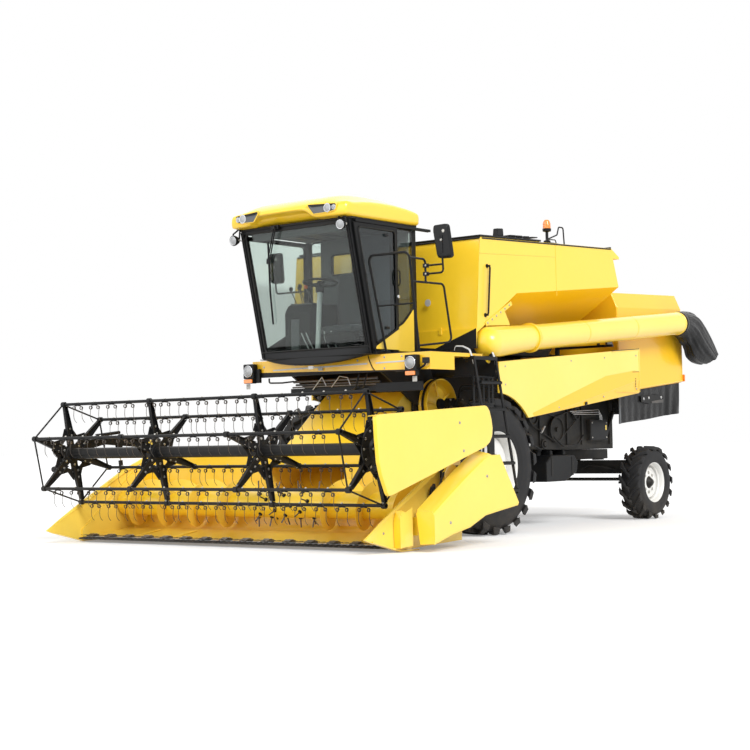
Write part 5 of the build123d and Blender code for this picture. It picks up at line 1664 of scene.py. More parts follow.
class Reel(SubAssembly):
    """The reel's tube, star plates, channel arms and end rods."""

    size = ReelSize()

    def build(self) -> None:
        """Makes the reel's frame and its six tine bars."""
        self.frame_piece()
        for index in range(self.size.bars):
            self.tine_bar(index)

    def frame_piece(self) -> None:
        """The turning frame, in one piece."""
        s, at = self.size, self.at
        work = Workpiece("reel_frame").wear(self.palette.black)
        centre = s.centre
        work.bar(at(s.right + 0.02, *centre), at(s.left - 0.02, *centre), s.tube, 40)
        work.bar(at(-2.68, *centre), at(s.right + 0.03, *centre), s.shaft, 20)
        work.bar(at(s.left - 0.03, *centre), at(2.16, *centre), s.shaft, 20)
        for x in s.spiders:
            self.spider(work, x)
        for x in (s.right + 0.012, s.left - 0.012):
            self.end_rods(work, x)
        self.end_disc(work, s.spiders[-1] + 0.022)
        work.done("reel", Slot.BLACK, ["reel"], bevel=0.0015)

    def spider(self, work: Workpiece, x: float) -> None:
        """One star: a plate with windows, six tapered channel arms, their bearings and bolts.

        Args:
            work: the reel's frame under construction.
            x: where the star stands.
        """
        s = self.size
        hub = self.at(x, *s.centre)
        work.wear(self.palette.black)
        outline: Ring = []
        windows: list[Ring] = []
        for index in range(s.bars):
            turn = s.angle(index)
            along, across = s.out(turn), s.out(turn + math.pi / 2)
            outline += [hub + along * 0.30 - across * 0.052, hub + along * 0.30 + across * 0.052]
            valley = s.out(turn + math.pi / s.bars)
            outline.append(hub + valley * s.hub_plate)
            window = [hub + valley * 0.105, hub + s.out(turn + math.pi / s.bars - 0.24) * 0.182,
                      hub + s.out(turn + math.pi / s.bars + 0.24) * 0.182]
            windows.append(rounded(window, 0.012, True, 3))
        work.slab([p + Vector((-0.004, 0, 0)) for p in outline], (0.008, 0, 0),
                  [[p + Vector((-0.004, 0, 0)) for p in w] for w in windows])
        for face in (-1, 1):
            work.turned([(0.0, s.tube - 0.002), (0.0, s.tube + 0.030), (face * 0.006, s.tube + 0.034),
                         (face * 0.012, s.tube + 0.030), (face * 0.012, s.tube - 0.002)],
                        hub + Vector((face * 0.004, 0, 0)), (1, 0, 0), 36)
        for index in range(s.bars):
            turn = s.angle(index)
            along, across = s.out(turn), s.out(turn + math.pi / 2)
            # channel arm: a web and two flanges, tapered to the bearing
            near, far, wide, narrow, deep = 0.155, s.radius - 0.028, 0.050, 0.024, 0.036
            web = [hub + along * near - across * wide, hub + along * near + across * wide,
                   hub + along * far + across * narrow, hub + along * far - across * narrow]
            work.slab([p + Vector((0.004, 0, 0)) for p in web], (0.005, 0, 0))
            for edge in (-1, 1):
                flange = [hub + along * near + across * wide * edge,
                          hub + along * far + across * narrow * edge,
                          hub + along * far + across * (narrow * edge - 0.005 * edge),
                          hub + along * near + across * (wide * edge - 0.005 * edge)]
                work.slab([p + Vector((0.004, 0, 0)) for p in flange], (deep, 0, 0))
            bar = hub + along * s.radius
            work.turned([(-0.018, s.bar + 0.0015), (-0.018, s.bar + 0.011), (-0.012, s.bar + 0.014),
                         (0.030, s.bar + 0.014),
                         (0.036, s.bar + 0.011), (0.036, s.bar + 0.0015)], bar, (1, 0, 0), 24, looped=True)
        work.wear(self.palette.bolt)
        for index in range(s.bars):
            turn = s.angle(index)
            along, across = s.out(turn), s.out(turn + math.pi / 2)
            for reach, swing in ((0.285, -0.030), (0.285, 0.030), (0.205, -0.036), (0.205, 0.036),
                                 (0.128, 0.0)):
                for face in (-1, 1):
                    proud = Vector((face * (0.009 if face > 0 else 0.004), 0, 0))
                    start = hub + along * reach + across * swing + proud
                    work.bolt(start, (face, 0, 0), 0.0105, 0.008)
            work.bolt(hub + along * (s.radius - 0.034) + Vector((0.02, 0, 0)) - across * 0.024, -across,
                      0.008)

    def end_rods(self, work: Workpiece, x: float) -> None:
        """Thin rods that join neighbouring bars at one end of the reel.

        Args:
            work: the piece under construction.
            x: how far across the machine.
        """
        s = self.size
        hub = self.at(x, *s.centre)
        work.wear(self.palette.black)
        for index in range(s.bars):
            first = hub + s.out(s.angle(index)) * s.radius
            second = hub + s.out(s.angle(index + 1)) * s.radius
            work.bar(between(first, second, 0.035), between(first, second, 0.965), 0.0095, 12)
            work.turned([(-0.011, s.bar + 0.001), (-0.011, s.bar + 0.012), (0.011, s.bar + 0.012),
                         (0.011, s.bar + 0.001)],
                        first, (1, 0, 0), 20, looped=True)

    def end_disc(self, work: Workpiece, x: float) -> None:
        """The dished disc that carries the drive at the left end.

        Args:
            work: the piece under construction.
            x: how far across the machine.
        """
        hub = self.at(x, *self.size.centre)
        work.wear(self.palette.black)
        work.turned([(0.0, 0.07), (0.0, 0.235), (0.006, 0.245), (0.020, 0.245), (0.020, 0.238),
                     (0.008, 0.225), (0.008, 0.12),
                     (0.03, 0.10), (0.03, 0.07)], hub, (1, 0, 0), 64, looped=True)
        work.wear(self.palette.bolt)
        work.bolt_circle(hub + Vector((0.008, 0, 0)), (1, 0, 0), 0.20, 12, 0.011)
        work.bolt_circle(hub + Vector((0.030, 0, 0)), (1, 0, 0), 0.085, 6, 0.010)

    def tine_bar(self, index: int) -> None:
        """One bar with its spring tines, which hang straight down.

        Args:
            index: which bar, counted from the first.
        """
        s = self.size
        name = f"tine_bar_{index + 1}"
        middle = self.joint(f"{name}_turn")
        work = Workpiece(f"{name}_sprung").wear(self.palette.black)
        low, high = self.at(s.right + 0.004, 0, 0).x, self.at(s.left - 0.004, 0, 0).x
        work.bar((low, middle.y, middle.z), (high, middle.y, middle.z), s.bar, 24)
        for x in (low, high):
            side = 1 if x == high else -1
            work.turned([(0, 0.0), (0, s.bar + 0.004), (-side * 0.012, s.bar + 0.004), (-side * 0.012, 0.0)],
                        (x, middle.y, middle.z), (1, 0, 0), 24)
        pairs = int((high - low - 0.16) / s.tine_pitch)
        start = (low + high) / 2 - (pairs - 1) * s.tine_pitch / 2
        draw = random.Random(40 + index)
        for pair in range(pairs):
            x = start + pair * s.tine_pitch
            if any(abs(self.at(p, 0, 0).x - x) < 0.045 for p in s.spiders):
                x += 0.06
            work.wear(self.palette.black)
            work.slab([(x - 0.03, middle.y - 0.02, middle.z - s.bar - 0.005),
                       (x + 0.03, middle.y - 0.02, middle.z - s.bar - 0.005),
                       (x + 0.03, middle.y + 0.02, middle.z - s.bar - 0.005),
                       (x - 0.03, middle.y + 0.02, middle.z - s.bar - 0.005)],
                      (0, 0, 0.008))
            work.wear(self.palette.bolt)
            work.bolt((x, middle.y, middle.z + s.bar), (0, 0, 1), 0.009)
            work.wear(self.palette.tine)
            self.tine(work, Vector((x, middle.y, middle.z)), draw)
        work.done(name, Slot.BLACK, [name], angle=50.0)

    def tine(self, work: Workpiece, place: Vector, draw: random.Random) -> None:
        """One double tine: two coils under the bar, each with a leg that ends in a bend.

        Args:
            work: the bar under construction.
            place: the bar's axis over the middle of the tine.
            draw: gives each leg its small differences.
        """
        s = self.size
        coil, wire = 0.019, 0.0031
        for side in (-1, 1):
            line: Ring = []
            centre = place + Vector((side * s.pair_gap / 2, 0, -s.bar - coil - 0.010))
            line.append(place + Vector((side * 0.012, 0.0, -s.bar - 0.004)))
            line.append(centre + Vector((-side * 0.018, 0.0, coil + 0.003)))
            turns, steps = 2.25, 22
            for i in range(steps + 1):
                angle = FULL_TURN * turns * i / steps
                line.append(centre + Vector((side * (-0.010 + 0.018 * i / steps), math.sin(angle) * coil,
                                             math.cos(angle) * coil)))
            # the leg leaves the coil behind its middle, hangs down and bends backwards
            lean, drop = draw.uniform(-0.004, 0.004), s.tine_drop
            foot = line[-1]
            for down, back in ((0.030, -0.010), (0.085, -0.014), (0.120, -0.008), (0.145, 0.008),
                               (drop, 0.030)):
                line.append(Vector((foot.x + lean * down / drop, foot.y + back - 0.004, foot.z - down)))
            work.pipe(line, wire, 6)


class ReelSupport(SubAssembly):
    """Fittings on the reel's arms, and the big shield at the left end."""

    def build(self) -> None:
        """Makes the shield and the arms' fittings."""
        self.shield()
        self.fittings()

    def shield(self) -> None:
        """A pressed shield with a folded upper edge, turned lower edge and rounded rear end."""
        at = self.at
        x = 2.4235
        rim = [(-3.500, 0.985), (-3.513, 1.10), (-3.528, 1.335), (-3.49, 1.346), (-1.735, 1.437),
               (-1.685, 1.425),
               (-1.650, 1.385), (-1.618, 1.30), (-1.602, 1.21), (-1.612, 1.13), (-1.655, 1.066),
               (-1.735, 1.018),
               (-3.30, 0.585), (-3.345, 0.578), (-3.372, 0.605), (-3.455, 0.78), (-3.492, 0.90)]
        line = rounded([Vector((0, b, z)) for b, z in rim], 0.05, True, 4)
        centre = sum(line, Vector()) / len(line)

        def layer(drawn_in: float, at_x: float) -> Ring:
            """The outline drawn in from its edge, at this x.

            Args:
                drawn_in: how far inside the edge.
                at_x: how far across the machine.

            Returns:
                The outline's places.
            """
            made = []
            for p in line:
                inward = (centre - p)
                made.append(at(at_x, p.y, p.z) + inward.normalized() * drawn_in)
            return made

        work = Workpiece("reel_end_shield").wear(self.palette.yellow_dusty)
        rings = [layer(0.012, x - 0.030), layer(0.0, x - 0.028), layer(0.0, x), layer(0.005, x + 0.009),
                 layer(0.016, x + 0.013), layer(0.030, x + 0.014)]
        rings += [layer(0.026, x + 0.008), layer(0.012, x + 0.004), layer(0.006, x - 0.004),
                  layer(0.006, x - 0.029)]
        rows = [[work.mesh.verts.new(p) for p in ring] for ring in rings]
        count = len(line)
        for a, b in zip(rows, rows[1:] + rows[:1]):
            if a is rows[5]:
                continue
            for i in range(count):
                j = (i + 1) % count
                work.face((a[i], a[j], b[j], b[i]))
        work.face(rows[5])
        work.face(rows[6][::-1])
        # folded upper edge
        top = [(-3.530, 1.340), (-3.46, 1.349), (-1.74, 1.4395), (-1.70, 1.430)]
        outer = self.side(x + 0.010, top)
        inner = [at(x - 0.085, b, z - 0.004) for b, z in top]
        work.skin([[outer[i], inner[i], inner[i] - Vector((0, 0, 0.006)), outer[i] - Vector((0, 0, 0.006))]
                   for i in range(len(top))])
        work.wear(self.palette.bolt)
        for behind, z in ((-2.19, 1.265), (-2.13, 0.985)):
            work.bolt(at(x + 0.014, behind, z), (1, 0, 0), 0.011, 0.006)
        work.wear(self.palette.black)
        for behind, z in ((-2.65, 1.16), (-1.95, 1.18)):
            work.bar(at(2.102, behind, z), at(x + 0.004, behind, z), 0.018, 16)
            work.turned([(0, 0.018), (0, 0.045), (0.008, 0.045), (0.008, 0.018)], at(x - 0.012, behind, z),
                        (1, 0, 0), 24)
        work.done("reel_arms", Slot.YELLOW, ["reel_shield"], bevel=0.0, angle=38.0)

    def fittings(self) -> None:
        """Bearings at the arms' front ends, pivot caps, the variable drive and its guard."""
        at, reel = self.at, Reel.size.centre
        work = Workpiece("reel_arm_fittings").wear(self.palette.black)
        for arm_x, out in ((2.082, 1), (-2.666, -1)):
            near = arm_x + out * 0.020
            work.turned([(0, 0.030), (0, 0.070), (out * 0.003, 0.074), (out * 0.008, 0.060),
                         (out * 0.011, 0.040),
                         (out * 0.011, 0.030)], at(near, *reel), (1, 0, 0), 32)
            for turn in range(4):
                angle = FULL_TURN * (turn + 0.5) / 4
                place = at(near + out * 0.0005, reel[0] + math.sin(angle) * 0.058,
                           reel[1] + math.cos(angle) * 0.058)
                work.wear(self.palette.bolt).bolt(place, (out, 0, 0), 0.009, 0.006)
            work.wear(self.palette.black)
            work.turned([(0, 0.0), (0, 0.040), (out * 0.004, 0.040), (out * 0.009, 0.030),
                         (out * 0.010, 0.0)],
                        at(near, -1.64, 1.12), (1, 0, 0), 28)
            # adjuster tube that carries the bearing below the arm's end
            work.bar(at(arm_x, -2.86, 1.00), at(arm_x - out * 0.01, -3.055, 0.845), 0.030, 20)
            work.turned([(-0.032, 0.0), (-0.032, 0.034), (0.032, 0.034), (0.032, 0.0)],
                        at(arm_x - out * 0.01, -3.055, 0.845),
                        (1, 0, 0), 24)
            work.wear(self.palette.chrome)
            work.bar(at(arm_x, -2.40, 1.232), at(arm_x, -2.78, 1.110), 0.009, 14)
            work.wear(self.palette.black)
            work.bar(at(arm_x, -2.05, 1.262), at(arm_x, -2.42, 1.226), 0.020, 18)
        # chain drive sheaves at the left arm
        work.wear(self.palette.dark_steel)
        for place, radius in ((reel, 0.11), ((-2.45, 1.10), 0.05)):
            work.turned([(0, 0.03), (0, radius), (0.006, radius + 0.004), (0.012, radius), (0.012, 0.03)],
                        at(2.12, *place), (1, 0, 0), 36)
        work.pipe([at(2.126, reel[0], reel[1] + 0.112), at(2.126, -2.45, 1.152)], 0.005, 8)
        work.pipe([at(2.126, reel[0], reel[1] - 0.112), at(2.126, -2.45, 1.048)], 0.005, 8)
        work.done("reel_arms", Slot.BLACK, bevel=0.002)


# ---------------------------------------------------------------- cab
def smooth(value: float, low: float, high: float) -> float:
    """A soft step from 0 at low to 1 at high."""
    share = max(0.0, min(1.0, (value - low) / (high - low)))
    return share * share * (3 - 2 * share)


@dataclass
class CabSize:
    """The cab's places, in metres."""

    roof_half: float = 0.858
    deck: float = 2.050
    head: float = 3.520
    foot_front: float = -1.520
    head_front: float = -1.860

    def pillar(self, z: float) -> float:
        """Place behind the axle of the leaning windscreen at a height."""
        return self.foot_front + (z - self.deck) / (self.head
                                                    - self.deck) * (self.head_front - self.foot_front)


class CabRoof(SubAssembly):
    """Roof shell with its visor, lamps and wipers."""

    size = CabSize()

    def build(self) -> None:
        """Makes the roof and what hangs on it."""
        self.shell()
        for hand in Hand:
            self.lamp_unit(hand)
            self.work_lamp(hand)
        self.wipers()

    def bow(self, x: float) -> float:
        """How far the front lies back at this x."""
        return 0.070 * (abs(x) / self.size.roof_half) ** 2

    def section(self, x: float) -> Ring:
        """The roof's section at this x, drawn in near the sides.

        Args:
            x: how far across the machine.

        Returns:
            The section's places.
        """
        s = self.size
        side = abs(x) / s.roof_half
        bow = self.bow(x)
        lip = 3.536 + 0.092 * (1 - smooth(abs(x + 0.06), 0.34, 0.50))
        top = 3.828 - 0.105 * smooth(side, 0.60, 1.0)
        inset = 0.030 * smooth(side, 0.975, 1.0)
        front = -2.046 + bow + inset
        outline = ((front + 0.014, lip + inset), (front, lip + 0.018 + inset), (front - 0.004, 3.645),
                   (front + 0.030, 3.702 - inset),
                   (-1.86 + bow * 0.6, top - 0.046 - inset), (-1.58, top - inset), (-1.10, top - inset),
                   (-0.80, top - 0.028 - inset),
                   (-0.690 - inset, top - 0.050 - inset), (-0.664 - inset, top - 0.060 - inset),
                   (-0.658 - inset, 3.62), (-0.659 - inset, 3.536 + inset),
                   (-0.680 - inset, 3.527 + inset),
                   (-1.40, 3.528 + inset), (-1.875 + inset, 3.528 + inset),
                   (-1.945 + bow * 0.7, max(3.535, lip - 0.004) + inset))
        return self.side(x, outline)

    def shell(self) -> None:
        """The moulded roof."""
        s = self.size
        half = s.roof_half
        stations = [half, half - 0.006, half - 0.022, 0.80, 0.74, 0.66, 0.58, 0.52, 0.47, 0.42, 0.37, 0.32,
                    0.26, 0.16, 0.05]
        places = [-x for x in stations] + stations[::-1]
        work = Workpiece("cab_roof_shell").wear(self.palette.yellow)
        work.skin([self.section(x) for x in places])
        work.done("chassis", Slot.YELLOW, ["cab_roof"], angle=50.0, levels=1)
        seal = Workpiece("roof_seal").wear(self.palette.rubber)
        z = 3.522
        corners = [(-0.79, -1.868, z), (0.79, -1.868, z), (0.815, -1.84, z), (0.815, -0.70, z),
                   (-0.815, -0.70, z), (-0.815, -1.84, z)]
        seal.pipe([self.at(*c) for c in corners], 0.014, 8, looped=True)
        seal.done("chassis", Slot.RUBBER)

    def lamp_unit(self, hand: Hand) -> None:
        """A slanted lamp recess in the roof's front corner.

        Args:
            hand: its side of the machine.
        """
        way = hand.value
        corners = ((0.335, 3.692), (0.752, 3.672), (0.728, 3.590), (0.640, 3.574), (0.430, 3.568))

        def face(points: Iterable[tuple[float, float]], proud: float) -> Ring:
            """The unit's outline on the roof's bowed front, standing proud of it."""
            return [self.at(way * x, -2.050 + self.bow(x) - proud, z) for x, z in points]

        middle = Vector((sum(x for x, _ in corners) / 5, sum(z for _, z in corners) / 5))
        smaller = [(x + (middle.x - x) * 0.06, z + (middle.y - z) * 0.14) for x, z in corners]
        work = Workpiece(f"roof_lamp_{hand.word}").wear(self.palette.yellow)
        rims = [rounded(face(corners, -0.004), 0.022, True, 4), rounded(face(corners, 0.010), 0.022, True, 4),
                rounded(face(smaller, 0.012), 0.020, True, 4), rounded(face(smaller, 0.002), 0.020, True, 4)]
        rows = [[work.mesh.verts.new(p) for p in ring] for ring in rims]
        for first, second in zip(rows, rows[1:]):
            for i in range(len(first)):
                j = (i + 1) % len(first)
                work.face((first[i], first[j], second[j], second[i]))
        work.face(rows[0][::-1])
        work.wear(self.palette.grey_plastic)
        work.face(rows[3])
        # a dark plastic strip over the upper part of the recess: painted shade under the recess's top edge
        work.wear(self.palette.plastic)
        dark = [(0.350, 3.686), (0.742, 3.666), (0.738, 3.648), (0.56, 3.652), (0.42, 3.650), (0.372, 3.668)]
        work.slab(face(dark, 0.003), (0, -0.0025, 0))
        for x, radius in ((0.622, 0.043), (0.705, 0.022)):
            z = 3.626
            centre = self.at(way * x, -2.050 + self.bow(x) - 0.003, z)
            work.wear(self.palette.chrome)
            work.turned([(0.0, radius + 0.006), (0.008, radius + 0.008), (0.012, radius + 0.003),
                         (0.010, radius)], centre, (0, -1, 0), 32)
            work.wear(self.palette.clear_lens)
            work.turned([(0.002, radius), (0.010, radius * 0.96), (0.015, radius * 0.6), (0.017, 0.0)],
                        centre, (0, -1, 0), 32)
        work.done("chassis", Slot.CHROME, angle=30.0)

    def work_lamp(self, hand: Hand) -> None:
        """A round work lamp on a bracket under the roof's corner.

        Args:
            hand: its side of the machine.
        """
        way = hand.value
        x, behind, z = (0.760, -1.955, 3.440) if way > 0 else (0.830, -1.940, 3.408)
        centre = self.at(way * x, behind, z)
        out = Vector((way * 0.10, -1.0, -0.16)).normalized()
        work = Workpiece(f"work_lamp_{hand.word}").wear(self.palette.plastic)
        work.turned([(-0.060, 0.0), (-0.058, 0.022), (-0.045, 0.040), (-0.005, 0.057), (0.016, 0.060),
                     (0.024, 0.058), (0.024, 0.050)],
                    centre, out, 36)
        work.wear(self.palette.chrome)
        work.turned([(0.022, 0.051), (0.026, 0.051), (0.024, 0.046)], centre, out, 36)
        work.wear(self.palette.clear_lens)
        work.turned([(0.016, 0.050), (0.024, 0.047), (0.031, 0.028), (0.033, 0.0)], centre, out, 36)
        work.wear(self.palette.black)
        work.pipe([centre - out * 0.025 + Vector((-way * 0.05, 0, 0)),
                   centre - out * 0.025 + Vector((-way * 0.055, 0, 0.075)),
                   self.at(way * (x - 0.045), behind + 0.05, 3.548)], 0.010, 8)
        work.pipe([centre - out * 0.025 + Vector((way * 0.05, 0, 0)),
                   centre - out * 0.025 + Vector((way * 0.045, 0, 0.075)),
                   self.at(way * (x - 0.045), behind + 0.05, 3.548)], 0.010, 8)
        work.wear(self.palette.bolt)
        for side in (-1, 1):
            work.bolt(centre - out * 0.025 + Vector((side * 0.052, 0, 0)), (side, 0, 0), 0.011)
        work.wear(self.palette.rubber)
        work.pipe(rounded([centre - out * 0.055, centre - out * 0.085 + Vector((-way * 0.05, 0, -0.02)),
                           centre - out * 0.10 + Vector((-way * 0.12, 0, 0.07)),
                           self.at(way * (x - 0.17), behind + 0.08, 3.535)], 0.03), 0.005, 8)
        work.done("chassis", Slot.PLASTIC, bevel=0.0015)

    def wipers(self) -> None:
        """The two-armed wiper hanging from the windscreen's head."""
        s = self.size
        work = Workpiece("wipers").wear(self.palette.plastic)
        work.block(self.at(-0.305, -1.905, 3.488), self.at(-0.195, -1.866, 3.530))
        work.bar(self.at(-0.245, -1.870, 3.505), self.at(-0.245, -1.930, 3.505), 0.018, 18)
        lines = []
        for x_top, x_low, z_low in ((-0.250, -0.455, 3.150), (-0.225, -0.425, 3.150)):
            lines.append([self.at(x_top, -1.918, 3.500),
                          self.at((x_top + x_low) / 2, s.pillar(3.33) - 0.040, 3.33),
                          self.at(x_low, s.pillar(z_low) - 0.026, z_low)])
        for line in lines:
            work.pipe(line, 0.0075, 8)
        top, low = 3.36, 2.45
        for offset, radius in ((0.026, 0.0075), (0.013, 0.0055)):
            work.pipe([self.at(-0.405, s.pillar(top) - offset, top),
                       self.at(-0.44, s.pillar(3.15) - offset, 3.15),
                       self.at(-0.50, s.pillar(2.8) - offset, 2.80),
                       self.at(-0.535, s.pillar(low) - offset, low)], radius, 8)
        work.block(self.at(-0.465, s.pillar(3.15) - 0.036, 3.12),
                   self.at(-0.42, s.pillar(3.15) - 0.016, 3.18))
        work.done("chassis", Slot.PLASTIC, bevel=0.001)


class CabTrim(SubAssembly):
    """Seals, the bowed lower band, yellow skins, handles and hinges of the cab."""

    def build(self) -> None:
        """Makes the cab's outer trim."""
        self.screen_band()
        self.seals()
        self.skins()
        self.handles()

    def screen_band(self) -> None:
        """Bowed dark moulding below the windscreen."""
        s = CabRoof.size
        work = Workpiece("screen_band").wear(self.palette.plastic)
        rings = []
        for i in range(33):
            x = -0.800 + 1.600 * i / 32
            share = 1 - (abs(x) / 0.80) ** 2.2
            top_b, low_z = s.pillar(2.13) - 0.004 - 0.040 * share, 2.058 - 0.098 * share
            low_b = -1.522 - 0.085 * share
            ring = [(top_b + 0.016, 2.136), (top_b, 2.132), (low_b - 0.004, low_z + 0.030),
                    (low_b, low_z + 0.010), (low_b + 0.012, low_z),
                    (low_b + 0.030, low_z + 0.002), (top_b + 0.026, 2.110)]
            rings.append(self.side(x, ring))
        work.skin(rings)
        work.wear(self.palette.rubber)
        line = []
        for i in range(25):
            x = -0.795 + 1.590 * i / 24
            share = 1 - (abs(x) / 0.80) ** 2.2
            line.append(self.at(x, s.pillar(2.13) - 0.010 - 0.040 * share, 2.138))
        work.pipe(line, 0.009, 8)
        # floor of the sill behind the bowed moulding, and its fixing in the middle
        work.wear(self.palette.plastic)
        work.block(self.at(-0.78, -1.60, 2.050), self.at(0.78, -1.50, 2.058))
        work.wear(self.palette.pale_plastic)
        work.block(self.at(-0.03, -1.625, 1.915), self.at(0.03, -1.600, 1.950))
        work.done("chassis", Slot.PLASTIC, bevel=0.002, angle=40.0)

    def seals(self) -> None:
        """Rubber frames round the panes."""
        s = CabRoof.size
        work = Workpiece("screen_seals").wear(self.palette.rubber)
        low, high, half = 2.130, 3.476, 0.742
        frame = [self.at(-half, s.pillar(low) - 0.002, low), self.at(half, s.pillar(low) - 0.002, low),
                 self.at(half, s.pillar(high) - 0.002, high), self.at(-half, s.pillar(high) - 0.002, high)]
        work.pipe(rounded(frame, 0.06, True, 5), 0.011, 8, looped=True)
        rear = self.front(-0.694, ((-half, 2.712), (half, 2.712), (half, 3.470), (-half, 3.470)))
        work.pipe(rounded(rear, 0.05, True, 5), 0.010, 8, looped=True)
        # raised edges down the leaning pillars
        for way in (-1, 1):
            work.wear(self.palette.plastic)
            for dx, deep in ((0.772, -0.010), (0.797, -0.008)):
                work.pipe([self.at(way * dx, s.pillar(2.07) + deep, 2.07),
                           self.at(way * dx, s.pillar(3.50) + deep, 3.50)], 0.009, 8)
            work.wear(self.palette.rubber)
        # quarter pane behind the door
        pane = [(-1.050, 2.372), (-1.050, 3.470), (-0.742, 3.470), (-0.742, 2.605), (-0.935, 2.430)]
        work.pipe(rounded(self.side(0.793, pane), 0.05, True, 5), 0.007, 8, looped=True)
        right = [(s.pillar(2.16) + 0.075, 2.16), (s.pillar(3.43) + 0.075, 3.43), (-0.735, 3.43),
                 (-0.735, 2.60), (-0.93, 2.42)]
        work.pipe(rounded(self.side(-0.836, right), 0.05, True, 5), 0.008, 8, looped=True)
        work.done("chassis", Slot.RUBBER)
        door = Workpiece("door_seals").wear(self.palette.rubber)
        pane = [(s.pillar(2.16) + 0.080, 2.163), (s.pillar(3.43) + 0.075, 3.428), (-1.106, 3.428),
                (-1.106, 2.336)]
        door.pipe(rounded(self.side(0.836, pane), 0.045, True, 5), 0.008, 8, looped=True)
        door.done("cab_door", Slot.RUBBER)

    def skins(self) -> None:
        """Yellow sheets under the side panes."""
        s = CabRoof.size
        work = Workpiece("door_skin").wear(self.palette.yellow)
        toe = s.pillar(2.11) + 0.045
        slope = (2.42 - 2.16) / 0.5505
        line_z = 2.16 + slope * (-1.066 + 1.4805) - 0.016
        work.slab(rounded(self.side(0.8345,
                                    ((toe, 2.106), (toe + 0.02, 2.140), (-1.064, line_z), (-1.064, 2.106))),
                                    0.01, True, 3), (0.004, 0, 0))
        work.done("cab_door", Slot.YELLOW, bevel=0.0015)
        quarter = Workpiece("quarter_skin").wear(self.palette.yellow)
        edge = [(-1.052, 2.096), (-1.052, 2.352), (-0.94, 2.404), (-0.86, 2.468), (-0.79, 2.535),
                (-0.742, 2.590), (-0.742, 2.096)]
        quarter.slab(rounded(self.side(0.7985, edge), 0.02, True, 3), (0.0023, 0, 0))
        edge = [(-1.48, 2.106), (-1.44, 2.140), (-0.93, 2.400), (-0.80, 2.52), (-0.735, 2.585),
                (-0.70, 2.585), (-0.70, 2.106)]
        quarter.wear(self.palette.yellow)
        quarter.slab(rounded(self.side(-0.8345, edge), 0.02, True, 3), (-0.004, 0, 0))
        quarter.done("chassis", Slot.YELLOW, bevel=0.0015)

    def handles(self) -> None:
        """The door's latch and grab handle, and the catches of its channels."""
        work = Workpiece("door_handle").wear(self.palette.plastic)
        x = 0.836
        work.slab(rounded(self.side(x, ((-1.102, 2.62), (-1.066, 2.62), (-1.066, 2.80), (-1.102, 2.80))),
                          0.012, True, 4), (0.010, 0, 0))
        work.wear(self.palette.chrome)
        work.turned([(0, 0.0), (0, 0.022), (0.012, 0.020), (0.016, 0.012), (0.016, 0.0)],
                    self.at(x + 0.010, -1.084, 2.70), (1, 0, 0), 24)
        work.wear(self.palette.plastic)
        work.pipe(rounded(self.front(-1.084,
                                     ((x + 0.008, 2.82), (x + 0.040, 2.84), (x + 0.040, 2.98),
                                      (x + 0.008, 3.00))), 0.02), 0.009, 10)
        for z in (2.33, 3.36):
            work.slab(self.side(x, ((-1.30, z), (-1.24, z), (-1.24, z + 0.03), (-1.30, z + 0.03))),
                      (0.006, 0, 0))
        work.done("cab_door", Slot.PLASTIC, bevel=0.0015)


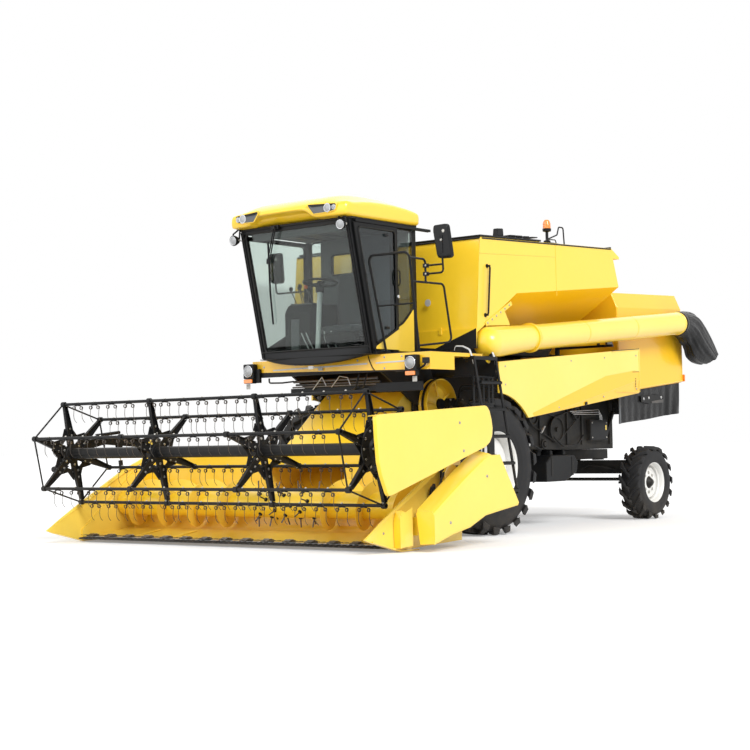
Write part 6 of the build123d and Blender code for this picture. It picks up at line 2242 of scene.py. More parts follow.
class CabInside(SubAssembly):
    """Seat, console, levers, steering, pedals, lining."""

    def build(self) -> None:
        """Makes what is inside the cab."""
        self.lining()
        self.seat_piece()
        self.controls()
        self.steering()

    def lining(self) -> None:
        """Ceiling, floor mat, rear corner panel and front ledge."""
        at = self.at
        work = Workpiece("cab_lining").wear(self.palette.grey_plastic)
        work.slab(self.plan(3.476, ((-0.73, -1.80), (0.73, -1.80), (0.73, -0.74), (-0.73, -0.74))),
                  (0, 0, 0.035))
        work.slab(self.side(-0.70, ((-1.79, 3.475), (-1.60, 3.475), (-1.56, 3.43), (-1.76, 3.40))),
                  (1.40, 0, 0))
        for x in (-0.52, -0.18, 0.18, 0.52):
            work.slab(self.side(x, ((-1.50, 3.474), (-0.80, 3.474), (-0.82, 3.462), (-1.48, 3.462))),
                      (0.10, 0, 0))
        work.wear(self.palette.plastic)
        wall = self.front(-0.778, ((-0.53, 2.700), (0.742, 2.700), (0.742, 3.474), (-0.53, 3.474)))
        opening = rounded(self.front(-0.778, ((-0.36, 3.05), (-0.04, 3.05), (-0.04, 3.29), (-0.36, 3.29))),
                          0.04, True, 4)
        work.wear(self.palette.grey_plastic)
        work.slab(wall, (0, 0.036, 0), [opening])
        work.block(at(-0.53, -0.760, 2.095), at(0.742, -0.742, 2.700))
        work.wear(self.palette.rubber).pipe([p + Vector((0, -0.003, 0)) for p in opening], 0.012, 8,
                                            looped=True)
        work.wear(self.palette.rubber)
        work.slab(self.plan(2.052, ((-0.74, -1.47), (0.74, -1.47), (0.74, -0.74), (-0.74, -0.74))),
                  (0, 0, 0.006))
        for i in range(14):
            work.block(at(-0.27 + 0.0005, -1.44 + i * 0.022, 2.058), at(0.70, -1.432 + i * 0.022, 2.061))
        work.done("chassis", Slot.PLASTIC, bevel=0.003)

    def seat_piece(self) -> None:
        """Padded cushion and backrest on a sprung pedestal."""
        at = self.at
        base = Workpiece("seat_base").wear(self.palette.plastic)
        base.block(at(-0.175, -1.105, 2.055), at(0.175, -0.865, 2.075))
        for i in range(6):
            z = 2.085 + i * 0.034
            inset = 0.015 if i % 2 else 0.0
            base.slab(rounded(self.plan(z,
                                        ((-0.15 + inset, -1.08 + inset), (0.15 - inset, -1.08 + inset),
                                         (0.15 - inset, -0.88 - inset), (-0.15 + inset, -0.88 - inset))),
                                         0.03, True, 3), (0, 0, 0.026))
        base.block(at(-0.22, -1.15, 2.282), at(0.22, -0.80, 2.304))
        base.pipe(rounded([at(-0.235, -0.80, 2.29), at(-0.245, -0.735, 2.33), at(-0.245, -0.735, 2.56)],
                          0.03), 0.012, 10)
        base.pipe(rounded([at(0.235, -0.80, 2.29), at(0.245, -0.735, 2.33), at(0.245, -0.735, 2.56)], 0.03),
                  0.012, 10)
        base.done("chassis", Slot.PLASTIC, ["seat"], bevel=0.003)
        for name, low, high, crown in (("seat_cushion", (-0.245, -1.175, 2.306), (0.245, -0.760, 2.438), 2),
                                       ("seat_back", (-0.235, -0.868, 2.446), (0.235, -0.748, 3.055), 1)):
            work = Workpiece(name).wear(self.palette.seat)
            self.cushion(work, low, high, crown)
            piece = work.done("chassis", Slot.SEAT, angle=60.0, levels=1)

    def cushion(self, work: Workpiece, low: Place, high: Place, crown: int) -> None:
        """A soft block with a welt, raised between its stitched lines.

        Args:
            work: the cushion under construction.
            low: one corner (x, behind, z).
            high: the opposite corner.
            crown: the axis, 1 or 2, along which its face is raised.
        """
        size = [high[i] - low[i] for i in range(3)]
        flat = 1 if crown == 2 else 2
        rings = []
        steps = 14
        for i in range(steps + 1):
            share = i / steps
            edge = math.sin(math.pi * min(1.0, max(0.0, share * 0.98 + 0.01))) ** 0.35
            ring = []
            for k in range(24):
                angle = FULL_TURN * k / 24
                across = math.copysign(abs(math.cos(angle)) ** 0.35, math.cos(angle))
                rise = math.copysign(abs(math.sin(angle)) ** 0.55, math.sin(angle))
                groove = 0.012 * math.exp(-((share - 0.33)
                                            / 0.02) ** 2) + 0.012 * math.exp(-((share - 0.66) / 0.02) ** 2)
                point = [0.0, 0.0, 0.0]
                point[0] = (low[0] + high[0]) / 2 + across * size[0] / 2 * (0.90 + 0.10 * edge)
                point[flat] = low[flat] + share * size[flat]
                point[crown] = (low[crown]
                                + high[crown]) / 2 + rise * (size[crown] / 2 * (0.62 + 0.38 * edge) - groove)
                ring.append(self.at(*point))
            rings.append(ring)
        work.skin(rings)

    def controls(self) -> None:
        """Console with levers, knobs and a front cabinet."""
        at = self.at
        work = Workpiece("console").wear(self.palette.plastic)
        work.slab(self.side(-0.66,
                            ((-1.285, 2.06), (-1.285, 2.60), (-1.22, 2.690), (-0.80, 2.700), (-0.785, 2.66),
                             (-0.785, 2.06))), (0.375, 0, 0))
        work.wear(self.palette.grey_plastic)
        work.slab(self.side(-0.63, ((-1.225, 2.691), (-0.82, 2.701), (-0.82, 2.712), (-1.22, 2.704))),
                  (0.32, 0, 0))
        work.slab(self.front(-1.289, ((-0.56, 2.14), (-0.44, 2.14), (-0.44, 2.52), (-0.56, 2.52))),
                  (0, -0.008, 0))
        work.wear(self.palette.dark_steel)
        for i, (x, behind, lean) in enumerate(((-0.60, -1.14, -0.10), (-0.54, -1.10, -0.06),
                                               (-0.48, -1.13, -0.09), (-0.42, -1.08, -0.05),
                                               (-0.36, -1.14, -0.11), (-0.60, -0.95, 0.04))):
            work.block(at(x - 0.006, behind - 0.06, 2.708), at(x + 0.006, behind + 0.06, 2.713))
            top = at(x, behind + lean, 2.86 + 0.014 * (i % 3))
            work.wear(self.palette.dark_steel).bar(at(x, behind, 2.705), top, 0.006, 10)
            work.wear(self.palette.orange if i == 4 else self.palette.plastic)
            work.turned([(0, 0.0), (0.0, 0.012), (0.014, 0.021), (0.034, 0.024), (0.050, 0.017),
                         (0.056, 0.0)], top - Vector((0, 0, 0.008)), (0, 0, 1), 20)
            work.wear(self.palette.dark_steel)
        work.wear(self.palette.plastic)
        for i in range(5):
            work.block(at(-0.650, -1.195 + 0.05 * i, 2.704), at(-0.630, -1.165 + 0.05 * i, 2.716))
        work.done("chassis", Slot.PLASTIC, ["cab_controls"], bevel=0.004)

    def steering(self) -> None:
        """Column, three-spoke wheel, dash and pedals."""
        at = self.at
        foot, head = at(-0.060, -1.42, 2.062), at(-0.090, -1.32, 2.86)
        way = (head - foot).normalized()
        work = Workpiece("steering").wear(self.palette.silver)
        work.bar(foot, head, 0.030, 28)
        work.wear(self.palette.plastic)
        work.turned([(0, 0.0), (0, 0.062), (0.012, 0.062), (0.040, 0.036), (0.05, 0.0)], foot, way, 28)
        work.turned([(0, 0.03), (0.0, 0.045), (0.06, 0.052), (0.09, 0.040), (0.10, 0.0)], head - way * 0.06,
                    way, 28)
        centre = head + way * 0.055
        first, second = square_to(way)
        count, around = 56, 14
        rows = []
        for i in range(count):
            angle = FULL_TURN * i / count
            out = first * math.cos(angle) + second * math.sin(angle)
            ring_middle = centre + out * 0.190
            rows.append([work.mesh.verts.new(ring_middle + (out * math.cos(FULL_TURN * k / around)
                                             + way * math.sin(FULL_TURN * k / around)) * 0.0145)
                                             for k in range(around)])
        for i in range(count):
            a, b = rows[i], rows[(i + 1) % count]
            for k in range(around):
                m = (k + 1) % around
                work.face((a[k], a[m], b[m], b[k]))
        for i in range(3):
            angle = FULL_TURN * i / 3 + math.radians(90)
            out = first * math.cos(angle) + second * math.sin(angle)
            work.pipe([centre - way * 0.012 + out * 0.02, centre - way * 0.016 + out * 0.10,
                       centre + out * 0.182], 0.009, 10)
        work.turned([(-0.020, 0.0), (-0.020, 0.034), (0.006, 0.040), (0.016, 0.030), (0.018, 0.0)], centre,
                    way, 28)
        # dash behind the wheel with two round dials
        work.slab(self.side(0.16, ((-1.56, 2.30), (-1.47, 2.33), (-1.44, 2.22), (-1.52, 2.18))), (0.42, 0, 0))
        for i in range(3):
            work.wear(self.palette.chrome)
            dial = at(0.24 + i * 0.125, -1.466, 2.282)
            work.turned([(0, 0.034), (0.006, 0.036), (0.008, 0.031)], dial, (0, 0.96, 0.28), 24)
            work.wear(self.palette.pale_plastic)
            work.turned([(0.003, 0.031), (0.004, 0.0)], dial, (0, 0.96, 0.28), 24)
        work.wear(self.palette.silver)
        for x, bend in ((-0.24, 0.02), (-0.17, 0.015), (0.10, -0.02), (0.20, -0.01)):
            work.pipe(rounded([at(x, -1.485, 2.34), at(x + bend, -1.45, 2.25), at(x + bend, -1.38, 2.16),
                               at(x, -1.36, 2.12)], 0.04), 0.008, 8)
            work.wear(self.palette.rubber)
            work.slab([at(x - 0.035, -1.375, 2.105), at(x + 0.035, -1.375, 2.105),
                       at(x + 0.035, -1.335, 2.165), at(x - 0.035, -1.335, 2.165)],
                      (0, 0.006, 0.004))
            work.wear(self.palette.silver)
        work.done("chassis", Slot.PLASTIC, bevel=0.0015, angle=40.0)


class Mirrors(SubAssembly):
    """Rounded mirror shells on their tubes."""

    def build(self) -> None:
        """Makes both mirrors as one set."""
        at = self.at
        work = Workpiece("mirror_set").wear(self.palette.plastic)
        for x, behind, z, arm_from, lean in ((1.660, -1.340, 3.225, 1.431, 0.016),
                                             (-1.264, -0.760, 3.210, -0.836, 0.0)):
            outline = [(-0.100, 0.180), (0.085, 0.185), (0.106, -0.165), (0.080, -0.183), (-0.080, -0.180),
                       (-0.106, 0.120)]
            shell = [at(x + dx - lean * dz / 0.18, behind, z + dz) for dx, dz in outline]
            shell = rounded(shell, 0.045, True, 5)
            middle = sum(shell, Vector()) / len(shell)
            rings = []
            for depth, grow in ((-0.030, 0.80), (-0.024, 0.92), (-0.008, 1.0), (0.024, 1.0), (0.028, 0.97)):
                rings.append([middle + (p - middle) * grow + Vector((0, depth, 0)) for p in shell])
            work.skin(rings)
            spine = ((-0.022, -0.12), (0.022, -0.12), (0.018, 0.07), (-0.018, 0.07))
            work.slab([middle + Vector((dx, -0.030, dz)) for dx, dz in spine], (0, -0.008, 0))
            work.wear(self.palette.rubber)
            work.pipe([middle + (p - middle) * 0.985 + Vector((0, 0.027, 0)) for p in shell], 0.006, 8,
                      looped=True)
            work.wear(self.palette.mirror)
            work.slab([middle + (p - middle) * 0.93 + Vector((0, 0.0285, 0)) for p in shell], (0, 0.0015, 0))
            work.wear(self.palette.black)
            low = 2.890 if x > 0 else 2.900
            work.pipe(rounded([at(arm_from, behind, low), at(x, behind, low),
                               at(x, behind, z + 0.06) + Vector((0, -0.034, 0))], 0.045), 0.011, 12)
            if x > 0:
                work.pipe([at(arm_from, behind, 2.980), at(x, behind, 2.980)], 0.011, 12)
                for clamp in (2.890, 2.980):
                    work.wear(self.palette.plastic)
                    work.block(at(1.4005, behind - 0.022, clamp - 0.022),
                               at(1.452, behind + 0.022, clamp + 0.022))
                    work.wear(self.palette.bolt)
                    work.bolt(at(1.440, behind - 0.022, clamp), (0, -1, 0), 0.008)
                    work.wear(self.palette.black)
            work.wear(self.palette.bolt)
            work.bolt(middle + Vector((0.004, -0.038, 0.02)), (0, -1, 0), 0.010)
            work.bolt(middle + Vector((0.030, -0.030, 0.115)), (0, -1, 0), 0.013, 0.004)
            work.wear(self.palette.plastic)
        work.done("chassis", Slot.PLASTIC, ["mirrors"], bevel=0.0015)


class Lamps(SubAssembly):
    """Headlamps on the platform's front corners and the beacon behind the tank's rim."""

    def build(self) -> None:
        """Makes the lamps."""
        self.headlamps()
        self.beacon()

    def headlamps(self) -> None:
        """Square housings with round lenses, indicators and blank tags."""
        at = self.at
        work = Workpiece("headlamps").wear(self.palette.plastic)
        for x in (1.295, -1.080):
            way = 1 if x > 0 else -1
            z, face = 1.936, -1.478
            body = self.front(face, ((x - 0.078, z - 0.085), (x + 0.078, z - 0.085), (x + 0.078, z + 0.085),
                                     (x - 0.078, z + 0.085)))
            work.slab(rounded(body, 0.014, True, 3), (0, 0.072, 0))
            work.wear(self.palette.chrome)
            work.turned([(0.0, 0.070), (0.010, 0.070), (0.012, 0.063), (0.004, 0.060)], at(x, face, z),
                        (0, -1, 0), 40)
            work.wear(self.palette.clear_lens)
            work.turned([(0.002, 0.062), (0.012, 0.058), (0.022, 0.036), (0.025, 0.0)], at(x, face, z),
                        (0, -1, 0), 40)
            work.wear(self.palette.plastic)
            work.slab(self.front(face + 0.002,
                                 ((x - 0.070, z - 0.140), (x + 0.070, z - 0.140), (x + 0.070, z - 0.088),
                                  (x - 0.070, z - 0.088))), (0, 0.060, 0))
            work.wear(self.palette.amber)
            lens = self.front(face, ((x - 0.064, z - 0.136), (x + 0.064, z - 0.136), (x + 0.064, z - 0.092),
                                     (x - 0.064, z - 0.092)))
            work.slab(rounded(lens, 0.010, True, 3), (0, -0.014, 0))
            work.wear(self.palette.pale_plastic)
            work.slab(self.front(face + 0.030,
                                 ((x + way * 0.000, z - 0.205), (x + way * 0.062, z - 0.205),
                                  (x + way * 0.062, z - 0.145), (x + way * 0.000, z - 0.145))), (0, 0.004, 0))
            work.wear(self.palette.black)
            work.block(at(x - 0.05, face + 0.070, z - 0.10), at(x + 0.05, -1.401, z + 0.06))
        # bracket of the left one and the arm of the right one
        work.pipe(rounded([at(1.37, -1.43, 1.86), at(1.46, -1.45, 1.90), at(1.49, -1.43, 1.96)], 0.03), 0.012,
                  8)
        work.block(at(1.44, -1.46, 1.925), at(1.50, -1.402, 1.985))
        work.slab(self.side(-1.00, ((-1.44, 1.80), (-1.402, 1.80), (-1.402, 1.96), (-1.44, 1.96))),
                  (0.06, 0, 0))
        work.wear(self.palette.rubber)
        work.pipe(rounded([at(1.22, -1.42, 1.88), at(1.16, -1.43, 1.845), at(1.05, -1.42, 1.850)], 0.02),
                  0.006, 8)
        work.done("chassis", Slot.PLASTIC, ["lamps"], bevel=0.002)

    def beacon(self) -> None:
        """Amber beacon on its post with a bent guard."""
        at = self.at
        work = Workpiece("beacon").wear(self.palette.plastic)
        foot = at(1.300, 1.310, 3.456)
        up = (0, 0, 1)
        work.turned([(0.0, 0.0), (0.0, 0.042), (0.030, 0.042), (0.040, 0.018), (0.135, 0.018), (0.145, 0.050),
                     (0.175, 0.054), (0.180, 0.048)], foot, up, 32)
        work.wear(self.palette.amber)
        work.turned([(0.178, 0.048), (0.186, 0.0495), (0.200, 0.047), (0.208, 0.0495), (0.222, 0.047),
                     (0.230, 0.0495), (0.262, 0.042),
                     (0.285, 0.026), (0.292, 0.0)], foot, up, 40)
        work.wear(self.palette.black)
        work.pipe(rounded([at(1.300, 1.30, 3.50), at(1.375, 1.42, 3.56), at(1.375, 1.46, 3.66),
                           at(1.375, 1.56, 3.66), at(1.375, 1.58, 3.46)], 0.03), 0.009, 10)
        work.wear(self.palette.rubber)
        work.pipe(rounded([at(1.300, 1.345, 3.47), at(1.34, 1.42, 3.462), at(1.371, 1.60, 3.452)], 0.02),
                  0.005, 8)
        work.done("chassis", Slot.PLASTIC, bevel=0.001, angle=40.0)


# ---------------------------------------------------------------- cloth
def follow(line: Sequence[tuple[float, float]], share: float) -> tuple[float, float]:
    """A place part of the way along a rounded line.

    Args:
        line: the places it runs through.
        share: how far along, from 0 to 1.

    Returns:
        The place, as (behind, z).
    """
    points = [Vector((a, b)) for a, b in line]
    spot = share * (len(points) - 1)
    i = min(len(points) - 2, int(spot))
    t = spot - i
    before, after = points[max(0, i - 1)], points[min(len(points) - 1, i + 2)]
    a, b = points[i], points[i + 1]
    out = 0.5 * (2 * a + (b - before) * t + (2 * before - 5 * a + 4 * b - after) * t * t
                 + (3 * a - before - 3 * b + after) * t ** 3)
    return out.x, out.y


class Sheets(SubAssembly):
    """Work on cloth: a grid of places becomes a sheet with two faces and a hem."""

    def cloth(self, name: str, rows: Sequence[Ring], body: str, slot: Slot, replaces: Sequence[str],
              held: str, rests_on: Sequence[str],
              closed: bool = False, thick: float = 0.004) -> Piece:
        """Makes a sheet.

        Args:
            name: name of the piece.
            rows: its places, row by row.
            body: the body it rides on.
            slot: its material slot.
            replaces: nodes it stands for.
            held: how it is held; not used.
            rests_on: what it hangs from; not used.
            closed: whether each row comes back to its start.
            thick: its thickness.

        Returns:
            The sheet.
        """
        count = len(rows[0])

        def way_out(i: int, k: int) -> Vector:
            """The cloth's normal at one place.

            Args:
                i: the row.
                k: the place in the row.

            Returns:
                A vector of length 1.
            """
            down = rows[min(i + 1, len(rows) - 1)][k] - rows[max(i - 1, 0)][k]
            last, after = ((k - 1) % count,
                           (k + 1) % count) if closed else (max(k - 1, 0), min(k + 1, count - 1))
            return down.cross(rows[i][after] - rows[i][last]).normalized()

        work = Workpiece(name).wear(self.palette.tarpaulin)
        near = [[work.mesh.verts.new(p) for p in row] for row in rows]
        far = [[work.mesh.verts.new(row[k] + way_out(i, k) * thick) for k in range(count)]
               for i, row in enumerate(rows)]
        for i in range(len(rows) - 1):
            for k in range(count if closed else count - 1):
                m = (k + 1) % count
                work.face((near[i][k], near[i][m], near[i + 1][m], near[i + 1][k]))
                work.face((far[i][k], far[i + 1][k], far[i + 1][m], far[i][m]))
        for i in (0, len(rows) - 1):
            for k in range(count if closed else count - 1):
                m = (k + 1) % count
                work.face((near[i][k], far[i][k], far[i][m], near[i][m]))
        if not closed:
            for k in (0, count - 1):
                for i in range(len(rows) - 1):
                    work.face((near[i][k], near[i + 1][k], far[i + 1][k], far[i][k]))

        def length(line: Sequence[Place], looped: bool = False) -> float:
            """Length along the places."""
            total = sum((b - a).length for a, b in zip(line, line[1:]))
            return total + ((line[0] - line[-1]).length if looped else 0.0)

        wide = max(length(row, closed) for row in rows)
        long = max(length([row[k] for row in rows]) for k in range(count))
        piece = work.done(body, slot, replaces, angle=60.0)
        return piece


class Spout(Sheets):
    """The sock over the unloading tube's end, with its strap."""

    tube_x: float = 1.400
    steps: int = 44
    around: int = 112
    flange_bolts: int = 14

    def build(self) -> None:
        """Makes the sock."""
        top = ((4.396, 2.768), (4.60, 2.784), (4.86, 2.770), (5.08, 2.630), (5.28, 2.440), (5.455, 2.238))
        low = ((4.412, 2.456), (4.50, 2.400), (4.600, 2.270), (4.70, 2.160), (4.86, 2.085), (5.062, 2.064))
        rows = []
        for i in range(self.steps + 1):
            share = i / self.steps
            upper, lower = follow(top, share), follow(low, share)
            middle = Vector(((upper[0] + lower[0]) / 2, (upper[1] + lower[1]) / 2))
            half = (Vector(upper) - Vector(lower)) / 2
            side = 0.1535 - 0.010 * smooth(share, 0.3, 0.8) - 0.006 * smooth(share, 0.8, 1.0)
            loose = smooth(share, 0.06, 0.4)
            ring = []
            for k in range(self.around):
                turn = FULL_TURN * k / self.around
                fold = loose * (0.0085 * math.sin(7 * turn + 1.2 + 1.6 * share)
                                + 0.0050 * math.sin(13 * turn + 0.4 - 2.4 * share)
                                + 0.0028 * math.sin(23 * turn + 5 * share))
                gather = (1 - loose) * 0.003 * math.sin(28 * turn)
                slump = math.exp(-((share - 0.43) / 0.12) ** 2)
                dent = -0.030 * slump * max(0.0, math.cos(turn + math.pi)) ** 2
                grow = 1 + (fold + gather + dent - 0.010 * loose) / 0.155
                y = middle.x + half.x * math.cos(turn) * grow
                z = middle.y + half.y * math.cos(turn) * grow
                ring.append(self.at(self.tube_x + side * math.sin(turn) * grow, y, z))
            rows.append(ring)
        self.cloth("spout_sock_cloth", rows, "unloading_auger", Slot.RUBBER, ["spout_sock"], "hung",
                   ["unloading_tube"], closed=True)
        way = Vector((0, 3.700, 0.336)).normalized()
        work = Workpiece("sock_strap").wear(self.palette.dark_steel)
        centre = self.at(self.tube_x, 4.428, 2.6155)
        work.turned([(-0.014, 0.1570), (-0.014, 0.1605), (0.014, 0.1605), (0.014, 0.1570)], centre, way, 64,
                    looped=True)
        work.block(centre + Vector((-0.02, -0.02, -0.178)), centre + Vector((0.02, 0.02, -0.158)))
        work.wear(self.palette.yellow)
        end = self.at(self.tube_x, 4.360, 2.609)
        work.turned([(-0.012, 0.1500), (-0.004, 0.1570), (0.010, 0.1575), (0.020, 0.1545), (0.020, 0.1490)],
                    end, way, 64, looped=True)
        start = self.at(self.tube_x, 0.705, 2.2775)
        work.turned([(0.0, 0.150), (0.0, 0.176), (0.022, 0.176), (0.022, 0.150)], start, way, 64, looped=True)
        work.wear(self.palette.bolt)
        first, second = square_to(way)
        for i in range(self.flange_bolts):
            turn = FULL_TURN * i / self.flange_bolts
            work.bolt(start + way * 0.022 + (first * math.cos(turn) + second * math.sin(turn)) * 0.1645, way,
                      0.008, 0.006)
        # two hose clips round the tube
        work.wear(self.palette.yellow)
        for b, z in ((1.85, 2.381), (3.05, 2.490)):
            work.turned([(0.0, 0.1515), (0.002, 0.1545), (0.030, 0.1545), (0.032, 0.1515)],
                        self.at(self.tube_x, b, z), way, 64, looped=True)
        work.done("unloading_auger", Slot.YELLOW, bevel=0.001, angle=40.0)


class Curtains(Sheets):
    """Hanging rubber curtains round the straw outlet."""

    side_rows: int = 26
    side_columns: int = 96
    tail_rows: int = 24
    tail_columns: int = 120

    def build(self) -> None:
        """Makes the three curtains and the slotted plate on the left one."""
        for hand in Hand:
            rows = []
            for i in range(self.side_rows + 1):
                down = i / self.side_rows
                row = []
                for k in range(self.side_columns + 1):
                    share = k / self.side_columns
                    behind = 3.135 + 1.650 * share
                    top = 1.755 + 0.172 * share
                    low = 1.258 + 0.140 * share
                    z = top + (low - top) * down + 0.003 * math.sin(9 * share + 1.0) * down
                    near_rear = smooth(share, 0.55, 0.95)
                    lean = 0.5 * down * near_rear
                    wave = (0.0050 * math.sin(15 * share + 0.7)
                            + 0.0125 * near_rear * math.sin(38 * share + 4.5 * lean + 0.6)
                            + 0.0030 * math.sin(61 * share + 2))
                    fold = wave * (0.25 + 0.75 * down)
                    row.append(self.at(hand.value * (1.188 + fold - 0.014 * down), behind, z))
                rows.append(row)
            self.cloth(f"side_curtain_{hand.word}", rows, "chassis", Slot.RUBBER,
                       ["rear_curtain"] if hand.value > 0 else [], "hung",
                       ["straw_hood"])
        rows = []
        for i in range(self.tail_rows + 1):
            down = i / self.tail_rows
            row = []
            for k in range(self.tail_columns + 1):
                share = k / self.tail_columns
                x = -1.168 + 2.336 * share
                wave = 0.008 * math.sin(26 * share) + 0.006 * math.sin(47 * share + 1.1)
                fold = wave * (0.2 + 0.8 * down)
                row.append(self.at(x, 4.819 + fold - 0.008 * down,
                                   1.928 - 0.526 * down + 0.008 * math.sin(13 * share) * down))
            rows.append(row)
        self.cloth("tail_curtain", rows, "chassis", Slot.RUBBER, [], "hung", ["straw_hood"])
        work = Workpiece("curtain_strips").wear(self.palette.dark_steel)
        for hand in Hand:
            x = hand.value * 1.2035
            strip = self.side(x, ((3.14, 1.700), (4.80, 1.876), (4.80, 1.840), (3.14, 1.664)))
            if hand.value < 0:
                work.slab(strip, (-0.004, 0, 0))
            slot = [(3.69, 1.628), (4.22, 1.655), (4.30, 1.640), (4.30, 1.556), (3.92, 1.524), (3.69, 1.548)]
            if hand.value > 0:
                work.wear(self.palette.rubber)
                work.slab(rounded(self.side(1.2045, slot), 0.02, True, 3), (0.004, 0, 0))
                work.wear(self.palette.dark_steel)
                bar = self.side(1.208, ((3.96, 1.560), (4.29, 1.590), (4.28, 1.545), (3.97, 1.532)))
                work.slab(rounded(bar, 0.01, True, 3), (0.006, 0, 0))
                for b, z in ((3.76, 1.59), (3.90, 1.605), (4.24, 1.615)):
                    work.wear(self.palette.steel).bolt(self.at(1.2085, b, z), (1, 0, 0), 0.014, 0.008)
                work.wear(self.palette.grey_plastic)
                work.slab(self.side(1.196, ((3.105, 1.745), (3.150, 1.750), (3.150, 1.262), (3.115, 1.258))),
                          (0.012, 0, 0))
                work.wear(self.palette.dark_steel)
        work.done("chassis", Slot.STEEL, bevel=0.0015)


# ---------------------------------------------------------------- body
class TankTrim(SubAssembly):
    """What stands on the grain tank and on the unloading elbow."""

    side_x: float = 1.3805
    flange_bolts: int = 6

    def build(self) -> None:
        """Makes the seals, seams, lamp, plates, handle and flange."""
        at = self.at
        work = Workpiece("tank_seals").wear(self.palette.rubber)
        for way in (-1, 1):
            work.pipe([at(way * 1.381, -0.200, 3.384), at(way * 1.381, 2.690, 3.488)], 0.009, 8)
        work.pipe([at(-1.375, -0.231, 3.386), at(1.375, -0.231, 3.386)], 0.010, 8)
        work.pipe([at(-1.375, 2.702, 3.506), at(1.375, 2.702, 3.506)], 0.012, 8)
        work.done("chassis", Slot.RUBBER)
        work = Workpiece("tank_plates").wear(self.palette.yellow)
        for way in (-1, 1):
            x = way * self.side_x
            deep = (way * 0.0035, 0, 0)
            work.slab(self.side(x, ((-0.262, 3.212), (1.362, 3.292), (1.362, 3.284), (-0.262, 3.204))),
                      deep)
            work.slab(self.side(x, ((1.366, 3.440), (1.374, 3.440), (1.374, 2.815), (1.366, 2.812))),
                      deep)
            work.slab(self.side(x, ((-0.318, 2.60), (-0.300, 2.60), (-0.222, 3.385), (-0.240, 3.385))),
                      deep)
        # flange strip that holds the elbow's cover, along the tank's sloping edge
        way_up = Vector((0, 0.695, 0.355)).normalized()
        across = Vector((0, -way_up.z, way_up.y))
        start = at(1.3815, -0.155, 2.376)
        strip = [start, start + way_up * 0.60, start + way_up * 0.60 + across * 0.050, start + across * 0.050]
        work.slab(strip, (0.010, 0, 0))
        work.slab(self.side(1.3815, ((-0.130, 2.388), (0.225, 2.572), (0.328, 2.428), (0.322, 2.412))),
                  (0.004, 0, 0))
        work.wear(self.palette.bolt)
        for i in range(self.flange_bolts):
            work.bolt(start + way_up * (0.04 + 0.10 * i) + across * 0.025 + Vector((0.010, 0, 0)), (1, 0, 0),
                      0.010, 0.007)
        work.wear(self.palette.yellow)
        work.block(at(0.86, -0.357, 2.30), at(0.90, -0.348, 2.38))
        work.done("chassis", Slot.YELLOW, bevel=0.0015)
        work = Workpiece("tank_fittings").wear(self.palette.plastic)
        # work lamp at the rim, dark lid plates, the tube's rest and a blank disc
        box = self.side(1.300, ((0.140, 3.432), (0.300, 3.446), (0.292, 3.540), (0.156, 3.530)))
        work.slab(rounded(box, 0.018, True, 3), (0.045, 0, 0))
        work.slab(self.side(1.345, ((0.165, 3.448), (0.276, 3.458), (0.270, 3.522), (0.175, 3.514))),
                  (0.004, 0, 0))
        for b, z, size in ((0.46, 3.466, 0.055), (0.60, 3.472, 0.060), (0.76, 3.478, 0.052),
                           (0.93, 3.484, 0.060)):
            work.slab([at(1.24, b - size, z - 0.004), at(1.37, b - size, z - 0.004),
                       at(1.37, b + size, z + 0.002), at(1.24, b + size, z + 0.002)], (0, 0, 0.012))
        work.pipe(rounded(self.side(1.36, ((1.20, 3.462), (1.22, 3.492), (1.40, 3.498), (1.42, 3.466))),
                          0.02), 0.007, 8)
        work.wear(self.palette.pale_plastic)
        work.turned([(0.0, 0.0), (0.0, 0.042), (0.003, 0.042), (0.004, 0.0)], at(0.712, -0.352, 2.679),
                    (0, -1, 0), 32)
        work.wear(self.palette.dark_steel)
        work.block(at(1.37, 2.515, 2.262), at(1.40, 2.645, 2.300))
        work.done("chassis", Slot.PLASTIC, bevel=0.002)
        # feet of the grab handle
        work = Workpiece("handle_feet").wear(self.palette.black)
        for b, z in ((-0.110, 3.070), (-0.165, 2.505)):
            work.bar(at(1.384, b, z), at(1.425, b, z), 0.011, 12)
            work.turned([(0.0, 0.0), (0.0, 0.024), (0.006, 0.024), (0.007, 0.0)], at(1.381, b, z), (1, 0, 0),
                        20)
        work.done("chassis", Slot.BLACK)


